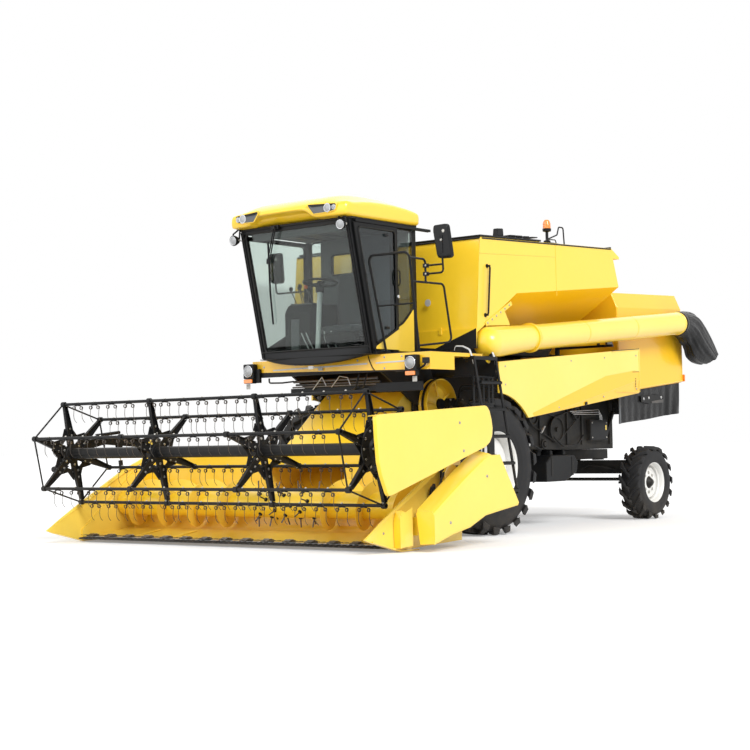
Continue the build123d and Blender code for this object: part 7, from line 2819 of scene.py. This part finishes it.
class StepSide(SubAssembly):
    """Guards, treads and slats of the boarding ladder."""

    def build(self) -> None:
        """Makes them."""
        at = self.at
        rails = (((1.290, 2.092), (1.300, 2.137), (1.399, 2.129), (1.485, 2.092), (1.528, 1.985),
                  (1.545, 1.930)), -0.640)
        rear = (((1.285, 2.095), (1.293, 2.142), (1.416, 2.127), (1.495, 2.090), (1.536, 1.990),
                 (1.547, 1.930)), -0.215)
        work = Workpiece("ladder_rails").wear(self.palette.silver)
        for line, behind in (rails, rear):
            work.pipe(rounded(self.front(behind, line), 0.05, steps=4), 0.013, 12)
        work.done("chassis", Slot.BLACK)
        work = Workpiece("ladder_guards").wear(self.palette.plastic)
        for line, behind in (rails, rear):
            outline = [*line, (1.552, 1.806), (1.285, 1.822)]
            turns = [FULL_TURN * i / 24 for i in range(24)]
            oval = [(1.432 + 0.040 * math.cos(a) + 0.050 * math.sin(a) * -0.5,
                     2.020 + 0.070 * math.sin(a)) for a in turns]
            work.slab(self.front(behind - 0.012, outline), (0, 0.008, 0),
                      [self.front(behind - 0.012, oval)])
            work.block(at(1.275, behind - 0.03, 1.795), at(1.560, behind + 0.01, 1.812))
        # upright slats below the guards
        for behind in (-0.60, -0.50, -0.41, -0.31, -0.235):
            work.block(at(1.500, behind - 0.014, 1.500), at(1.510, behind + 0.014, 1.790))
        for behind, half in ((-0.595, 0.026), (-0.510, 0.020), (-0.440, 0.016), (-0.290, 0.070)):
            work.block(at(1.500, behind - half, 0.900), at(1.508, behind + half, 1.485))
        work.pipe([at(1.505, -0.64, 0.90), at(1.505, -0.215, 0.90)], 0.012, 10)
        work.pipe([at(1.505, -0.64, 1.79), at(1.505, -0.215, 1.79)], 0.014, 10)
        work.pipe([at(1.505, -0.64, 1.49), at(1.505, -0.215, 1.49)], 0.012, 10)
        work.done("chassis", Slot.BLACK, bevel=0.0015)
        work = Workpiece("ladder_treads").wear(self.palette.black)
        for i in range(5):
            z = 0.520 + 0.300 * i
            x = 1.540 + (2.020 - z) / 1.540 * 0.260
            # a wide ribbed tread over every rung
            work.block(at(x - 0.060, -0.628, z + 0.014), at(x + 0.045, -0.227, z + 0.019))
            work.block(at(x + 0.041, -0.628, z - 0.012), at(x + 0.045, -0.227, z + 0.019))
            for k in range(9):
                work.block(at(x - 0.058, -0.612 + k * 0.045, z + 0.019),
                           at(x + 0.043, -0.604 + k * 0.045, z + 0.025))
        work.done("chassis", Slot.BLACK, bevel=0.001)


class Pulley(SubAssembly):
    """Drive disc beside the feeder with its hub and belt."""

    def build(self) -> None:
        """Makes the dished disc."""
        centre = self.at(0.640, -0.220, 1.510)
        work = Workpiece("drive_disc").wear(self.palette.yellow)
        work.turned([(0.0, 0.0), (0.0, 0.262), (0.012, 0.284), (0.024, 0.292), (0.060, 0.286), (0.080, 0.270),
                     (0.100, 0.286), (0.135, 0.293),
                     (0.149, 0.292), (0.149, 0.281), (0.128, 0.272), (0.070, 0.250), (0.048, 0.215),
                     (0.060, 0.170), (0.096, 0.110), (0.112, 0.078),
                     (0.112, 0.0)], centre, (1, 0, 0), 72)
        for i in range(5):
            turn = FULL_TURN * i / 5 + 0.5
            out = Vector((0, math.cos(turn), math.sin(turn)))
            work.bar(centre + Vector((0.100, 0, 0)) + out * 0.09,
                     centre + Vector((0.088, 0, 0)) + out * 0.255, 0.014, 10, 0.011)
        work.wear(self.palette.black)
        work.turned([(0.10, 0.066), (0.13, 0.066), (0.148, 0.058), (0.150, 0.0)], centre, (1, 0, 0), 36)
        work.wear(self.palette.rubber)
        work.turned([(0.066, 0.283), (0.080, 0.268), (0.094, 0.283), (0.094, 0.2935), (0.066, 0.2935)],
                    centre, (1, 0, 0), 72, looped=True)
        work.wear(self.palette.bolt)
        for i in range(6):
            turn = FULL_TURN * i / 6
            work.bolt(centre + Vector((0.130, 0.045 * math.cos(turn), 0.045 * math.sin(turn))), (1, 0, 0),
                      0.008, 0.007)
        work.done("chassis", Slot.YELLOW, ["drive_pulley"], bevel=0.001, angle=40.0)
        box = Workpiece("drive_gearbox").wear(self.palette.dark_body)
        box.block(self.at(0.650, -0.060, 1.420), self.at(0.780, 0.220, 1.580))
        box.turned([(0.0, 0.0), (0.0, 0.075), (0.05, 0.075), (0.06, 0.05), (0.06, 0.0)],
                   self.at(0.770, 0.080, 1.500), (1, 0, 0), 32)
        box.wear(self.palette.bolt)
        for b, z in ((-0.04, 1.44), (-0.04, 1.56), (0.20, 1.44), (0.20, 1.56)):
            box.bolt(self.at(0.780, b, z), (1, 0, 0), 0.010)
        box.wear(self.palette.rubber)
        box.pipe(rounded([self.at(0.80, 0.10, 1.58), self.at(0.82, 0.10, 1.72), self.at(0.90, 0.45, 1.74),
                          self.at(0.93, 1.1, 1.66)], 0.06), 0.013, 10)
        box.pipe(rounded([self.at(0.76, 0.16, 1.58), self.at(0.78, 0.18, 1.68), self.at(0.88, 0.50, 1.69),
                          self.at(0.93, 1.1, 1.60)], 0.06), 0.010, 10)
        box.done("chassis", Slot.BLACK, bevel=0.004)


class PlatformTrim(SubAssembly):
    """Stripe, seam, bolts and pipes of the driver's platform."""

    def build(self) -> None:
        """Makes them."""
        at = self.at
        work = Workpiece("platform_stripe").wear(self.palette.silver)
        work.slab(self.front(-1.4035, ((-0.760, 1.928), (0.640, 1.946), (0.640, 1.962), (-0.760, 1.944))),
                  (0, 0.004, 0))
        work.slab(self.front(-1.4035, ((0.760, 1.948), (1.200, 1.954), (1.200, 1.970), (0.760, 1.964))),
                  (0, 0.004, 0))
        work.wear(self.palette.rubber)
        work.pipe(rounded(self.front(-1.404,
                                     ((0.655, 2.045), (0.672, 1.985), (0.715, 1.905), (0.757, 1.862))), 0.04),
                                     0.006, 8)
        work.wear(self.palette.bolt)
        for x, z in ((-0.90, 1.98), (-0.42, 1.985), (0.12, 1.99), (0.50, 1.995), (0.88, 2.015), (0.88, 1.895),
                     (1.12, 2.015)):
            work.bolt(at(x, -1.401, z), (0, -1, 0), 0.009, 0.006)
        work.wear(self.palette.pale_plastic)
        work.block(at(-0.055, -1.425, 1.905), at(0.005, -1.401, 1.940))
        work.wear(self.palette.rubber)
        # edge round the steel mat on the deck
        work.pipe(rounded(self.plan(2.053, ((0.86, -1.38), (1.47, -1.38), (1.47, -0.44), (0.86, -0.44))),
                          0.03, True), 0.006, 8, looped=True)
        work.done("chassis", Slot.BLACK, bevel=0.001)
        work = Workpiece("deck_plate").wear(self.palette.dark_steel)
        work.slab(self.plan(2.0505, ((0.870, -1.372), (1.462, -1.372), (1.462, -0.450), (0.870, -0.450))),
                  (0, 0, 0.0025))
        for i in range(13):
            for k in range(18):
                x, b = 0.895 + 0.045 * i, -1.345 + 0.05 * k
                lean = 0.008 if (i + k) % 2 else -0.008
                work.block(at(x - 0.010, b - abs(lean) / 2, 2.053), at(x + 0.010, b + abs(lean) / 2, 2.0555))
        work.done("chassis", Slot.STEEL)
        work = Workpiece("platform_pipes").wear(self.palette.dark_steel)
        for z, b, r in ((1.800, -1.20, 0.016), (1.765, -1.16, 0.013), (1.735, -1.22, 0.010)):
            work.pipe([at(-0.62, b, z), at(0.62, b, z)], r, 10)
        work.wear(self.palette.black)
        work.block(at(-0.655, -1.215, 1.660), at(0.655, -1.165, 1.722))
        work.block(at(0.672, -1.30, 1.640), at(1.290, -1.24, 1.740))
        work.wear(self.palette.steel)
        for x0, x1, z0, z1 in ((-0.30, -0.16, 1.70, 1.84), (-0.16, -0.10, 1.84, 1.74),
                               (-0.02, 0.10, 1.72, 1.84), (0.10, 0.22, 1.84, 1.82), (0.22, 0.26, 1.82, 1.73)):
            work.pipe([at(x0, -1.235, z0), at(x1, -1.235, z1)], 0.006, 8)
        work.wear(self.palette.rubber)
        loop = [at(-0.86, -1.36, 1.850), at(-0.86, -1.36, 1.795), at(-0.66, -1.36, 1.790),
                at(-0.50, -1.34, 1.800)]
        work.pipe(rounded(loop, 0.03), 0.010, 10)
        work.pipe(rounded([at(0.40, -1.25, 1.86), at(0.38, -1.27, 1.75), at(0.34, -1.25, 1.69),
                           at(0.26, -1.22, 1.69)], 0.06), 0.011, 10)
        work.pipe(rounded([at(0.52, -1.25, 1.86), at(0.50, -1.28, 1.76), at(0.46, -1.25, 1.70),
                           at(0.38, -1.22, 1.71)], 0.06), 0.009, 10)
        work.done("chassis", Slot.STEEL, bevel=0.002)


class BodySides(SubAssembly):
    """Drives, pipes, boxes and ribs on the threshing body's sides."""

    def build(self) -> None:
        """Makes both sides and the rear beam's brackets."""
        at = self.at
        for hand in Hand:
            w = hand.value
            work = Workpiece(f"side_drives_{hand.word}").wear(self.palette.dark_steel)
            x = 0.905
            wheels = ((1.48, 1.36, 0.105), (2.02, 1.20, 0.160), (2.50, 1.40, 0.075), (1.72, 1.02, 0.060))
            for b, z, r in wheels:
                centre = at(w * x, b, z)
                work.wear(self.palette.dark_body)
                work.turned([(0, 0), (0, r), (0.006, r + 0.004), (0.014, r - 0.008), (0.022, r - 0.008),
                             (0.030, r + 0.004), (0.036, r),
                             (0.036, r - 0.016), (0.020, r - 0.022), (0.022, 0.03), (0.044, 0.028),
                             (0.046, 0.0)], centre, (w, 0, 0), 40)
            work.wear(self.palette.belt)
            for (b0, z0, r0), (b1, z1, r1) in ((wheels[0], wheels[1]), (wheels[1], wheels[2])):
                way = Vector((0, b1 - b0, z1 - z0)).normalized()
                side = Vector((0, -way.z, way.y))
                for s in (-1, 1):
                    a = at(w * (x + 0.018), b0, z0) + side * s * (r0 - 0.004)
                    b = at(w * (x + 0.018), b1, z1) + side * s * (r1 - 0.004)
                    work.bar(a, b, 0.008, 8)
            work.wear(self.palette.dark_body)
            for b in (1.30, 1.66, 2.30, 2.66, 3.36):
                work.block(at(w * 0.898 if w > 0 else -0.918, b - 0.018, 1.00),
                           at(w * 0.918 if w > 0 else -0.898, b + 0.018, 1.55))
            work.slab(self.side(w * 0.90, ((1.30, 1.545), (3.42, 1.620), (3.42, 1.585), (1.30, 1.505))),
                      (w * 0.045, 0, 0))
            work.slab(self.side(w * 0.90, ((3.18, 1.06), (3.42, 1.44), (3.45, 1.42), (3.22, 1.05))),
                      (w * 0.04, 0, 0))
            work.wear(self.palette.steel)
            for i, (z, b0, b1) in enumerate(((1.425, 2.30, 3.02), (1.395, 2.34, 3.05), (1.365, 2.38, 3.08))):
                work.pipe(rounded([at(w * 0.955, b0, z + 0.012 * i), at(w * 0.955, b1, z + 0.025),
                                   at(w * 0.955, b1 + 0.02, z - 0.10),
                                   at(w * 0.93, b1 + 0.02, z - 0.16)], 0.04), 0.0065, 8)
            work.wear(self.palette.rubber)
            work.pipe(rounded([at(w * 0.94, 1.32, 1.50), at(w * 0.96, 1.60, 1.46), at(w * 0.96, 1.90, 1.50),
                               at(w * 0.95, 2.40, 1.48)], 0.08), 0.014, 10)
            work.pipe(rounded([at(w * 0.93, 1.95, 1.10), at(w * 0.965, 2.10, 0.99), at(w * 0.965, 2.45, 1.00),
                               at(w * 0.93, 2.66, 1.12)], 0.08), 0.012, 10)
            work.pipe(rounded([at(w * 0.93, 1.36, 1.18), at(w * 0.96, 1.40, 1.02), at(w * 0.95, 1.58, 0.96),
                               at(w * 0.93, 1.66, 0.96)], 0.05), 0.011, 10)
            work.wear(self.palette.silver)
            work.bar(at(w * 0.955, 1.62, 1.16), at(w * 0.955, 1.70, 1.24), 0.013, 10)
            work.bar(at(w * 0.955, 1.34, 1.00), at(w * 0.955, 1.37, 1.08), 0.013, 10)
            if w > 0:
                work.wear(self.palette.plastic)
                work.slab(rounded(self.side(0.9605,
                                            ((2.79, 1.312), (3.21, 1.312), (3.21, 1.058), (2.79, 1.058))),
                                            0.012, True, 3), (0.006, 0, 0))
                work.wear(self.palette.yellow_dusty)
                work.slab(rounded(self.side(0.967,
                                            ((3.15, 1.25), (3.18, 1.25), (3.18, 1.185), (3.15, 1.185))),
                                            0.010, True, 3), (0.003, 0, 0))
                work.wear(self.palette.bolt)
                for b, z in ((2.82, 1.09), (2.82, 1.28), (3.18, 1.09), (3.18, 1.28)):
                    work.bolt(at(0.9665, b, z), (1, 0, 0), 0.008)
            work.done("chassis", Slot.BLACK, bevel=0.002, angle=40.0)
            tank = Workpiece(f"fuel_tank_fittings_{hand.word}").wear(self.palette.black)
            for b in (1.78, 2.26):
                tank.slab([at(w * 0.552, b - 0.02, 0.886), at(w * 1.004, b - 0.02, 0.852),
                           at(w * 1.004, b + 0.02, 0.852), at(w * 0.552, b + 0.02, 0.886)],
                          (0, 0, 0.004))
                tank.block(at(min(w * 1.001, w * 1.005), b - 0.02, 0.62),
                           at(max(w * 1.001, w * 1.005), b + 0.02, 0.852))
            if w > 0:
                tank.wear(self.palette.plastic)
                tank.turned([(0, 0), (0, 0.045), (0.05, 0.045), (0.055, 0.052), (0.085, 0.052), (0.09, 0.045),
                             (0.09, 0)], at(0.80, 1.76, 0.872), (0, 0, 1), 32)
            tank.done("chassis", Slot.BLACK, bevel=0.0015)
        work = Workpiece("rear_axle_fittings").wear(self.palette.black)
        for w in (-1, 1):
            work.pipe(rounded([at(w * 0.30, 3.62, 0.66), at(w * 0.44, 3.60, 0.72), at(w * 0.62, 3.61, 0.70),
                               at(w * 0.80, 3.63, 0.66)], 0.05), 0.010, 10)
            work.block(at(w * 0.46 if w > 0 else -0.54, 3.645, 0.786),
                       at(w * 0.54 if w > 0 else -0.46, 3.825, 0.800))
            work.wear(self.palette.bolt)
            for b in (3.67, 3.80):
                work.bolt(at(w * 0.5, b, 0.800), (0, 0, 1), 0.014)
            work.wear(self.palette.black)
        work.done("chassis", Slot.BLACK, bevel=0.002)


class PanelTrim(SubAssembly):
    """The lower part in painted shade, seams, slots and markers on the side panels."""

    face_x: float = 1.4205
    fold_behind: float = 1.150
    fold_z: float = 1.400
    fold_rise: float = 0.1994
    facet_lean: float = 0.137

    def build(self) -> None:
        """Makes the trim of both panels."""
        at = self.at
        for hand in Hand:
            w = hand.value
            work = Workpiece(f"panel_trim_{hand.word}").wear(self.palette.yellow)
            x = w * self.face_x

            def strip(points: Sequence[tuple[float, float]], thick: float = 0.004) -> None:
                """A thin raised strip on the panel's face."""
                work.slab(self.side(x, points), (w * thick, 0, 0))

            # painted shade: a thin strip and facet of the deeper yellow over the panel below its fold, where
            # the face turns from the light
            work.wear(self.palette.yellow_deep)
            strip(((0.717, 1.391), (1.459, 1.598), (2.424, 1.860), (3.146, 1.944), (3.296, 1.935),
                   (3.296, 1.829), (1.160, 1.403), (0.740, 1.354)), 0.0015)
            facet = []
            for b, z in ((1.200, 1.407), (3.296, 1.826), (3.296, 1.660)):
                below_fold = self.fold_z + self.fold_rise * (b - self.fold_behind) - z
                facet.append(at(x - w * self.facet_lean * below_fold, b, z))
            work.slab(facet, (w * 0.0015, 0, 0))
            work.wear(self.palette.yellow)
            strip(((2.58, 2.172), (3.285, 2.222), (3.285, 2.212), (2.58, 2.162)))
            strip(((2.66, 1.668), (3.285, 1.676), (3.285, 1.668), (2.66, 1.660)))
            strip(((3.272, 1.68), (3.280, 1.68), (3.280, 2.20), (3.272, 2.20)))
            work.wear(self.palette.rubber)
            for z in (1.735, 1.755, 1.775, 1.795, 1.815, 1.835):
                strip(((3.165, z), (3.185, z), (3.185, z + 0.010), (3.165, z + 0.010)))
            strip(((3.09, 1.928), (3.27, 1.934), (3.27, 1.927), (3.09, 1.921)), 0.003)
            strip(((1.900, 1.492), (1.945, 1.499), (1.945, 1.534), (1.900, 1.528)), 0.012)
            strip(((2.58, 2.184), (3.285, 2.234), (3.285, 2.226), (2.58, 2.176)), 0.003)
            work.wear(self.palette.bolt)
            for b, z in ((0.16, 1.93), (0.16, 1.72), (1.60, 2.03), (2.40, 2.09), (3.20, 2.14), (3.20, 1.71),
                         (1.30, 1.46), (2.36, 1.60)):
                work.bolt(at(x, b, z), (w, 0, 0), 0.009, 0.005)
            work.done(f"side_panel_{hand.word}", Slot.YELLOW, bevel=0.001)


class HoodTrim(SubAssembly):
    """Lamps, louvres, seams and the tail door on the straw hood."""

    side_x: float = 1.2205
    door_face: float = 4.852

    def lamps(self) -> tuple[tuple[Finish, float, float, float, float, float, float, float], ...]:
        """One side's lamps: finish, behind, inner and outer x, foot, head, corner and thickness."""
        finish = self.palette
        return (
            (finish.amber, self.door_face, 1.205, 1.245, 1.838, 1.935, 0.008, 0.022),
            (finish.plastic, 4.851, 0.88, 1.14, 1.95, 2.06, 0.015, 0.030),
            (finish.red, 4.881, 0.90, 1.03, 1.965, 2.045, 0.012, 0.008),
            (finish.amber, 4.881, 1.045, 1.125, 1.965, 2.045, 0.012, 0.008),
        )

    def build(self) -> None:
        """Makes them."""
        at = self.at
        work = Workpiece("hood_trim").wear(self.palette.yellow)
        for hand in Hand:
            w = hand.value
            x = w * self.side_x
            work.slab(self.side(x, ((3.35, 1.706), (4.84, 1.846), (4.84, 1.858), (3.35, 1.718))),
                      (w * 0.006, 0, 0))
            work.slab(self.side(x, ((4.828, 1.86), (4.840, 1.86), (4.840, 2.78), (4.828, 2.78))),
                      (w * 0.004, 0, 0))
            for finish, behind, near, far, low, high, corner, thick in self.lamps():
                work.wear(finish)
                outline = self.front(behind,
                                     ((w * near, low), (w * far, low), (w * far, high), (w * near, high)))
                work.slab(rounded(outline, corner, True, 3), (0, thick, 0))
            work.wear(self.palette.yellow)
        # hinged tail door with its handle
        for a, b in (((-0.80, 2.12), (0.80, 2.12)), ((0.80, 2.12), (0.80, 2.80)),
                     ((0.80, 2.80), (-0.80, 2.80)), ((-0.80, 2.80), (-0.80, 2.12))):
            first, second = at(a[0], self.door_face, a[1]), at(b[0], self.door_face, b[1])
            work.bar(first, second, 0.006, 8)
        work.wear(self.palette.plastic)
        for x in (-0.55, 0.55):
            work.pipe(rounded(self.plan(2.20,
                                        ((x - 0.07, 4.850), (x - 0.07, 4.885), (x + 0.07, 4.885),
                                         (x + 0.07, 4.850))), 0.012), 0.008, 8)
        for i in range(9):
            z = 2.50 + 0.028 * i
            work.slab([at(-0.42, 4.850, z), at(0.42, 4.850, z), at(0.42, 4.862, z - 0.012),
                       at(-0.42, 4.862, z - 0.012)], (0, 0.002, 0.003))
        # louvres on the right side
        for i in range(16):
            z = 2.15 + 0.030 * i
            work.slab([at(-1.2205, 3.35, z), at(-1.2205, 4.15, z), at(-1.232, 4.15, z - 0.014),
                       at(-1.232, 3.35, z - 0.014)], (0, 0, 0.004))
        work.wear(self.palette.black)
        frame = self.side(-1.222, ((3.32, 2.11), (4.18, 2.11), (4.18, 2.63), (3.32, 2.63)))
        work.pipe(rounded(frame, 0.03, True), 0.010, 8, looped=True)
        work.done("chassis", Slot.YELLOW, bevel=0.0015)


ASSEMBLIES: tuple[type[SubAssembly], ...] = (
    Wheels, HeaderTrough, Knife, HeaderAuger, Reel, ReelSupport,
    CabRoof, CabTrim, CabInside, Mirrors, Lamps,
    Spout, Curtains, TankTrim, StepSide, Pulley, PlatformTrim, BodySides, PanelTrim, HoodTrim,
)


# ---------------------------------------------------------------- studio
@dataclass(frozen=True)
class Lamp:
    """One soft lamp, far away."""

    name: str
    towards: tuple[float, float, float]
    strength: float
    spread: float


@dataclass(frozen=True)
class Camera:
    """The camera at its viewing angle, from the datum."""

    place: tuple[float, float, float] = (11.7977, -15.3194, 1.1037)
    turn: float = 38.452
    rise: float = 2.323
    roll: float = -1.115
    lens: float = 77.61
    sensor: float = 36.0

    def set_up(self, datum: Datum) -> None:
        """Makes the camera and hands it to the scene.

        Args:
            datum: the machine's zero place.
        """
        data = bpy.data.cameras.new("camera")
        data.lens, data.sensor_width = self.lens, self.sensor
        data.clip_end = 400.0
        camera = bpy.data.objects.new("camera", data)
        bpy.context.scene.collection.objects.link(camera)
        turn, rise, roll = (math.radians(v) for v in (self.turn, self.rise, self.roll))
        ahead = Vector((-math.sin(turn) * math.cos(rise), math.cos(turn) * math.cos(rise), math.sin(rise)))
        right = Vector((math.cos(turn), math.sin(turn), 0))
        up = right.cross(ahead)
        right, up = (right * math.cos(roll) + up * math.sin(roll),
                     up * math.cos(roll) - right * math.sin(roll))
        place = datum.at(*self.place)
        camera.matrix_world = Matrix(((right.x, up.x, -ahead.x, place.x), (right.y, up.y, -ahead.y, place.y),
                                      (right.z, up.z, -ahead.z, place.z), (0, 0, 0, 1)))
        bpy.context.scene.camera = camera


class Studio:
    """A pale floor, soft lamps and a white room."""

    lamps: tuple[Lamp, ...] = (
        Lamp("key", (0.80, -0.42, 0.62), 2.5, 24.0),
        Lamp("fill", (-0.30, -0.90, 0.30), 1.25, 60.0),
        Lamp("back", (-0.5, 0.7, 0.6), 0.45, 60.0),
    )

    def build(self, datum: Datum) -> None:
        """Makes the floor, the lamps, the room and the camera.

        Args:
            datum: the machine's zero place.
        """
        bpy.context.scene.view_settings.view_transform = "Standard"
        self.floor()
        self.room()
        for lamp in self.lamps:
            data = bpy.data.lights.new(lamp.name, "SUN")
            data.energy, data.angle = lamp.strength, math.radians(lamp.spread)
            light = bpy.data.objects.new(lamp.name, data)
            light.rotation_mode = "QUATERNION"
            light.rotation_quaternion = Vector(lamp.towards).to_track_quat("Z", "Y")
            bpy.context.scene.collection.objects.link(light)
        Camera().set_up(datum)

    @staticmethod
    def seen(bench: Bench) -> bpy.types.NodeSocket:
        """1 where the background is looked at directly, in a reflection or through glass.

        Args:
            bench: the group's own nodes.

        Returns:
            A socket that is 1 there and 0 elsewhere.
        """
        path = bench.put("ShaderNodeLightPath")
        either = bench.sum("MAXIMUM", path.outputs["Is Camera Ray"], path.outputs["Is Glossy Ray"])
        return bench.sum("MAXIMUM", either, path.outputs["Is Transmission Ray"])

    def floor(self) -> None:
        """A plain pale floor that keeps the machine's shadow."""
        data = bpy.data.meshes.new("floor")
        reach = 150.0
        data.from_pydata([(-reach, -reach, 0), (reach, -reach, 0), (reach, reach, 0), (-reach, reach, 0)], [],
                         [(0, 1, 2, 3)])
        material = bpy.data.materials.new("pale_floor")
        material.use_nodes = True
        material.node_tree.nodes.clear()
        bench = Bench(material.node_tree)
        diffuse = bench.put("ShaderNodeBsdfDiffuse", {0: (0.80, 0.80, 0.80, 1)})
        glow = bench.put("ShaderNodeEmission", {0: (1, 1, 1, 1), 1: 0.22})
        pale = bench.put("ShaderNodeAddShader", {0: diffuse.outputs[0], 1: glow.outputs[0]})
        mixed = bench.put("ShaderNodeMixShader",
                          {0: self.seen(bench), 1: diffuse.outputs[0], 2: pale.outputs[0]})
        bench.put("ShaderNodeOutputMaterial", {0: mixed.outputs[0]})
        data.materials.append(material)
        floor = bpy.data.objects.new("floor", data)
        bpy.context.scene.collection.objects.link(floor)

    def room(self) -> None:
        """White where it is seen, and a plain soft light elsewhere."""
        world = bpy.data.worlds.new("room")
        bpy.context.scene.world = world
        world.use_nodes = True
        world.node_tree.nodes.clear()
        bench = Bench(world.node_tree)
        soft = bench.put("ShaderNodeBackground", {0: (1, 1, 1, 1), 1: 0.62})
        white = bench.put("ShaderNodeBackground", {0: (1, 1, 1, 1), 1: 1.0})
        mixed = bench.put("ShaderNodeMixShader",
                          {0: self.seen(bench), 1: soft.outputs[0], 2: white.outputs[0]})
        bench.put("ShaderNodeOutputWorld", {0: mixed.outputs[0]})


def main() -> None:
    """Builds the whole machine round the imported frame."""
    logging.basicConfig(level=logging.INFO, format="%(message)s")
    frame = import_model()
    datum = Datum.of(frame)
    palette = Palette()
    for kind in ASSEMBLIES:
        kind(frame, datum, palette).build()
    KeptNodes(frame, palette).dress()
    Studio().build(datum)


if __name__ == "__main__":
    main()
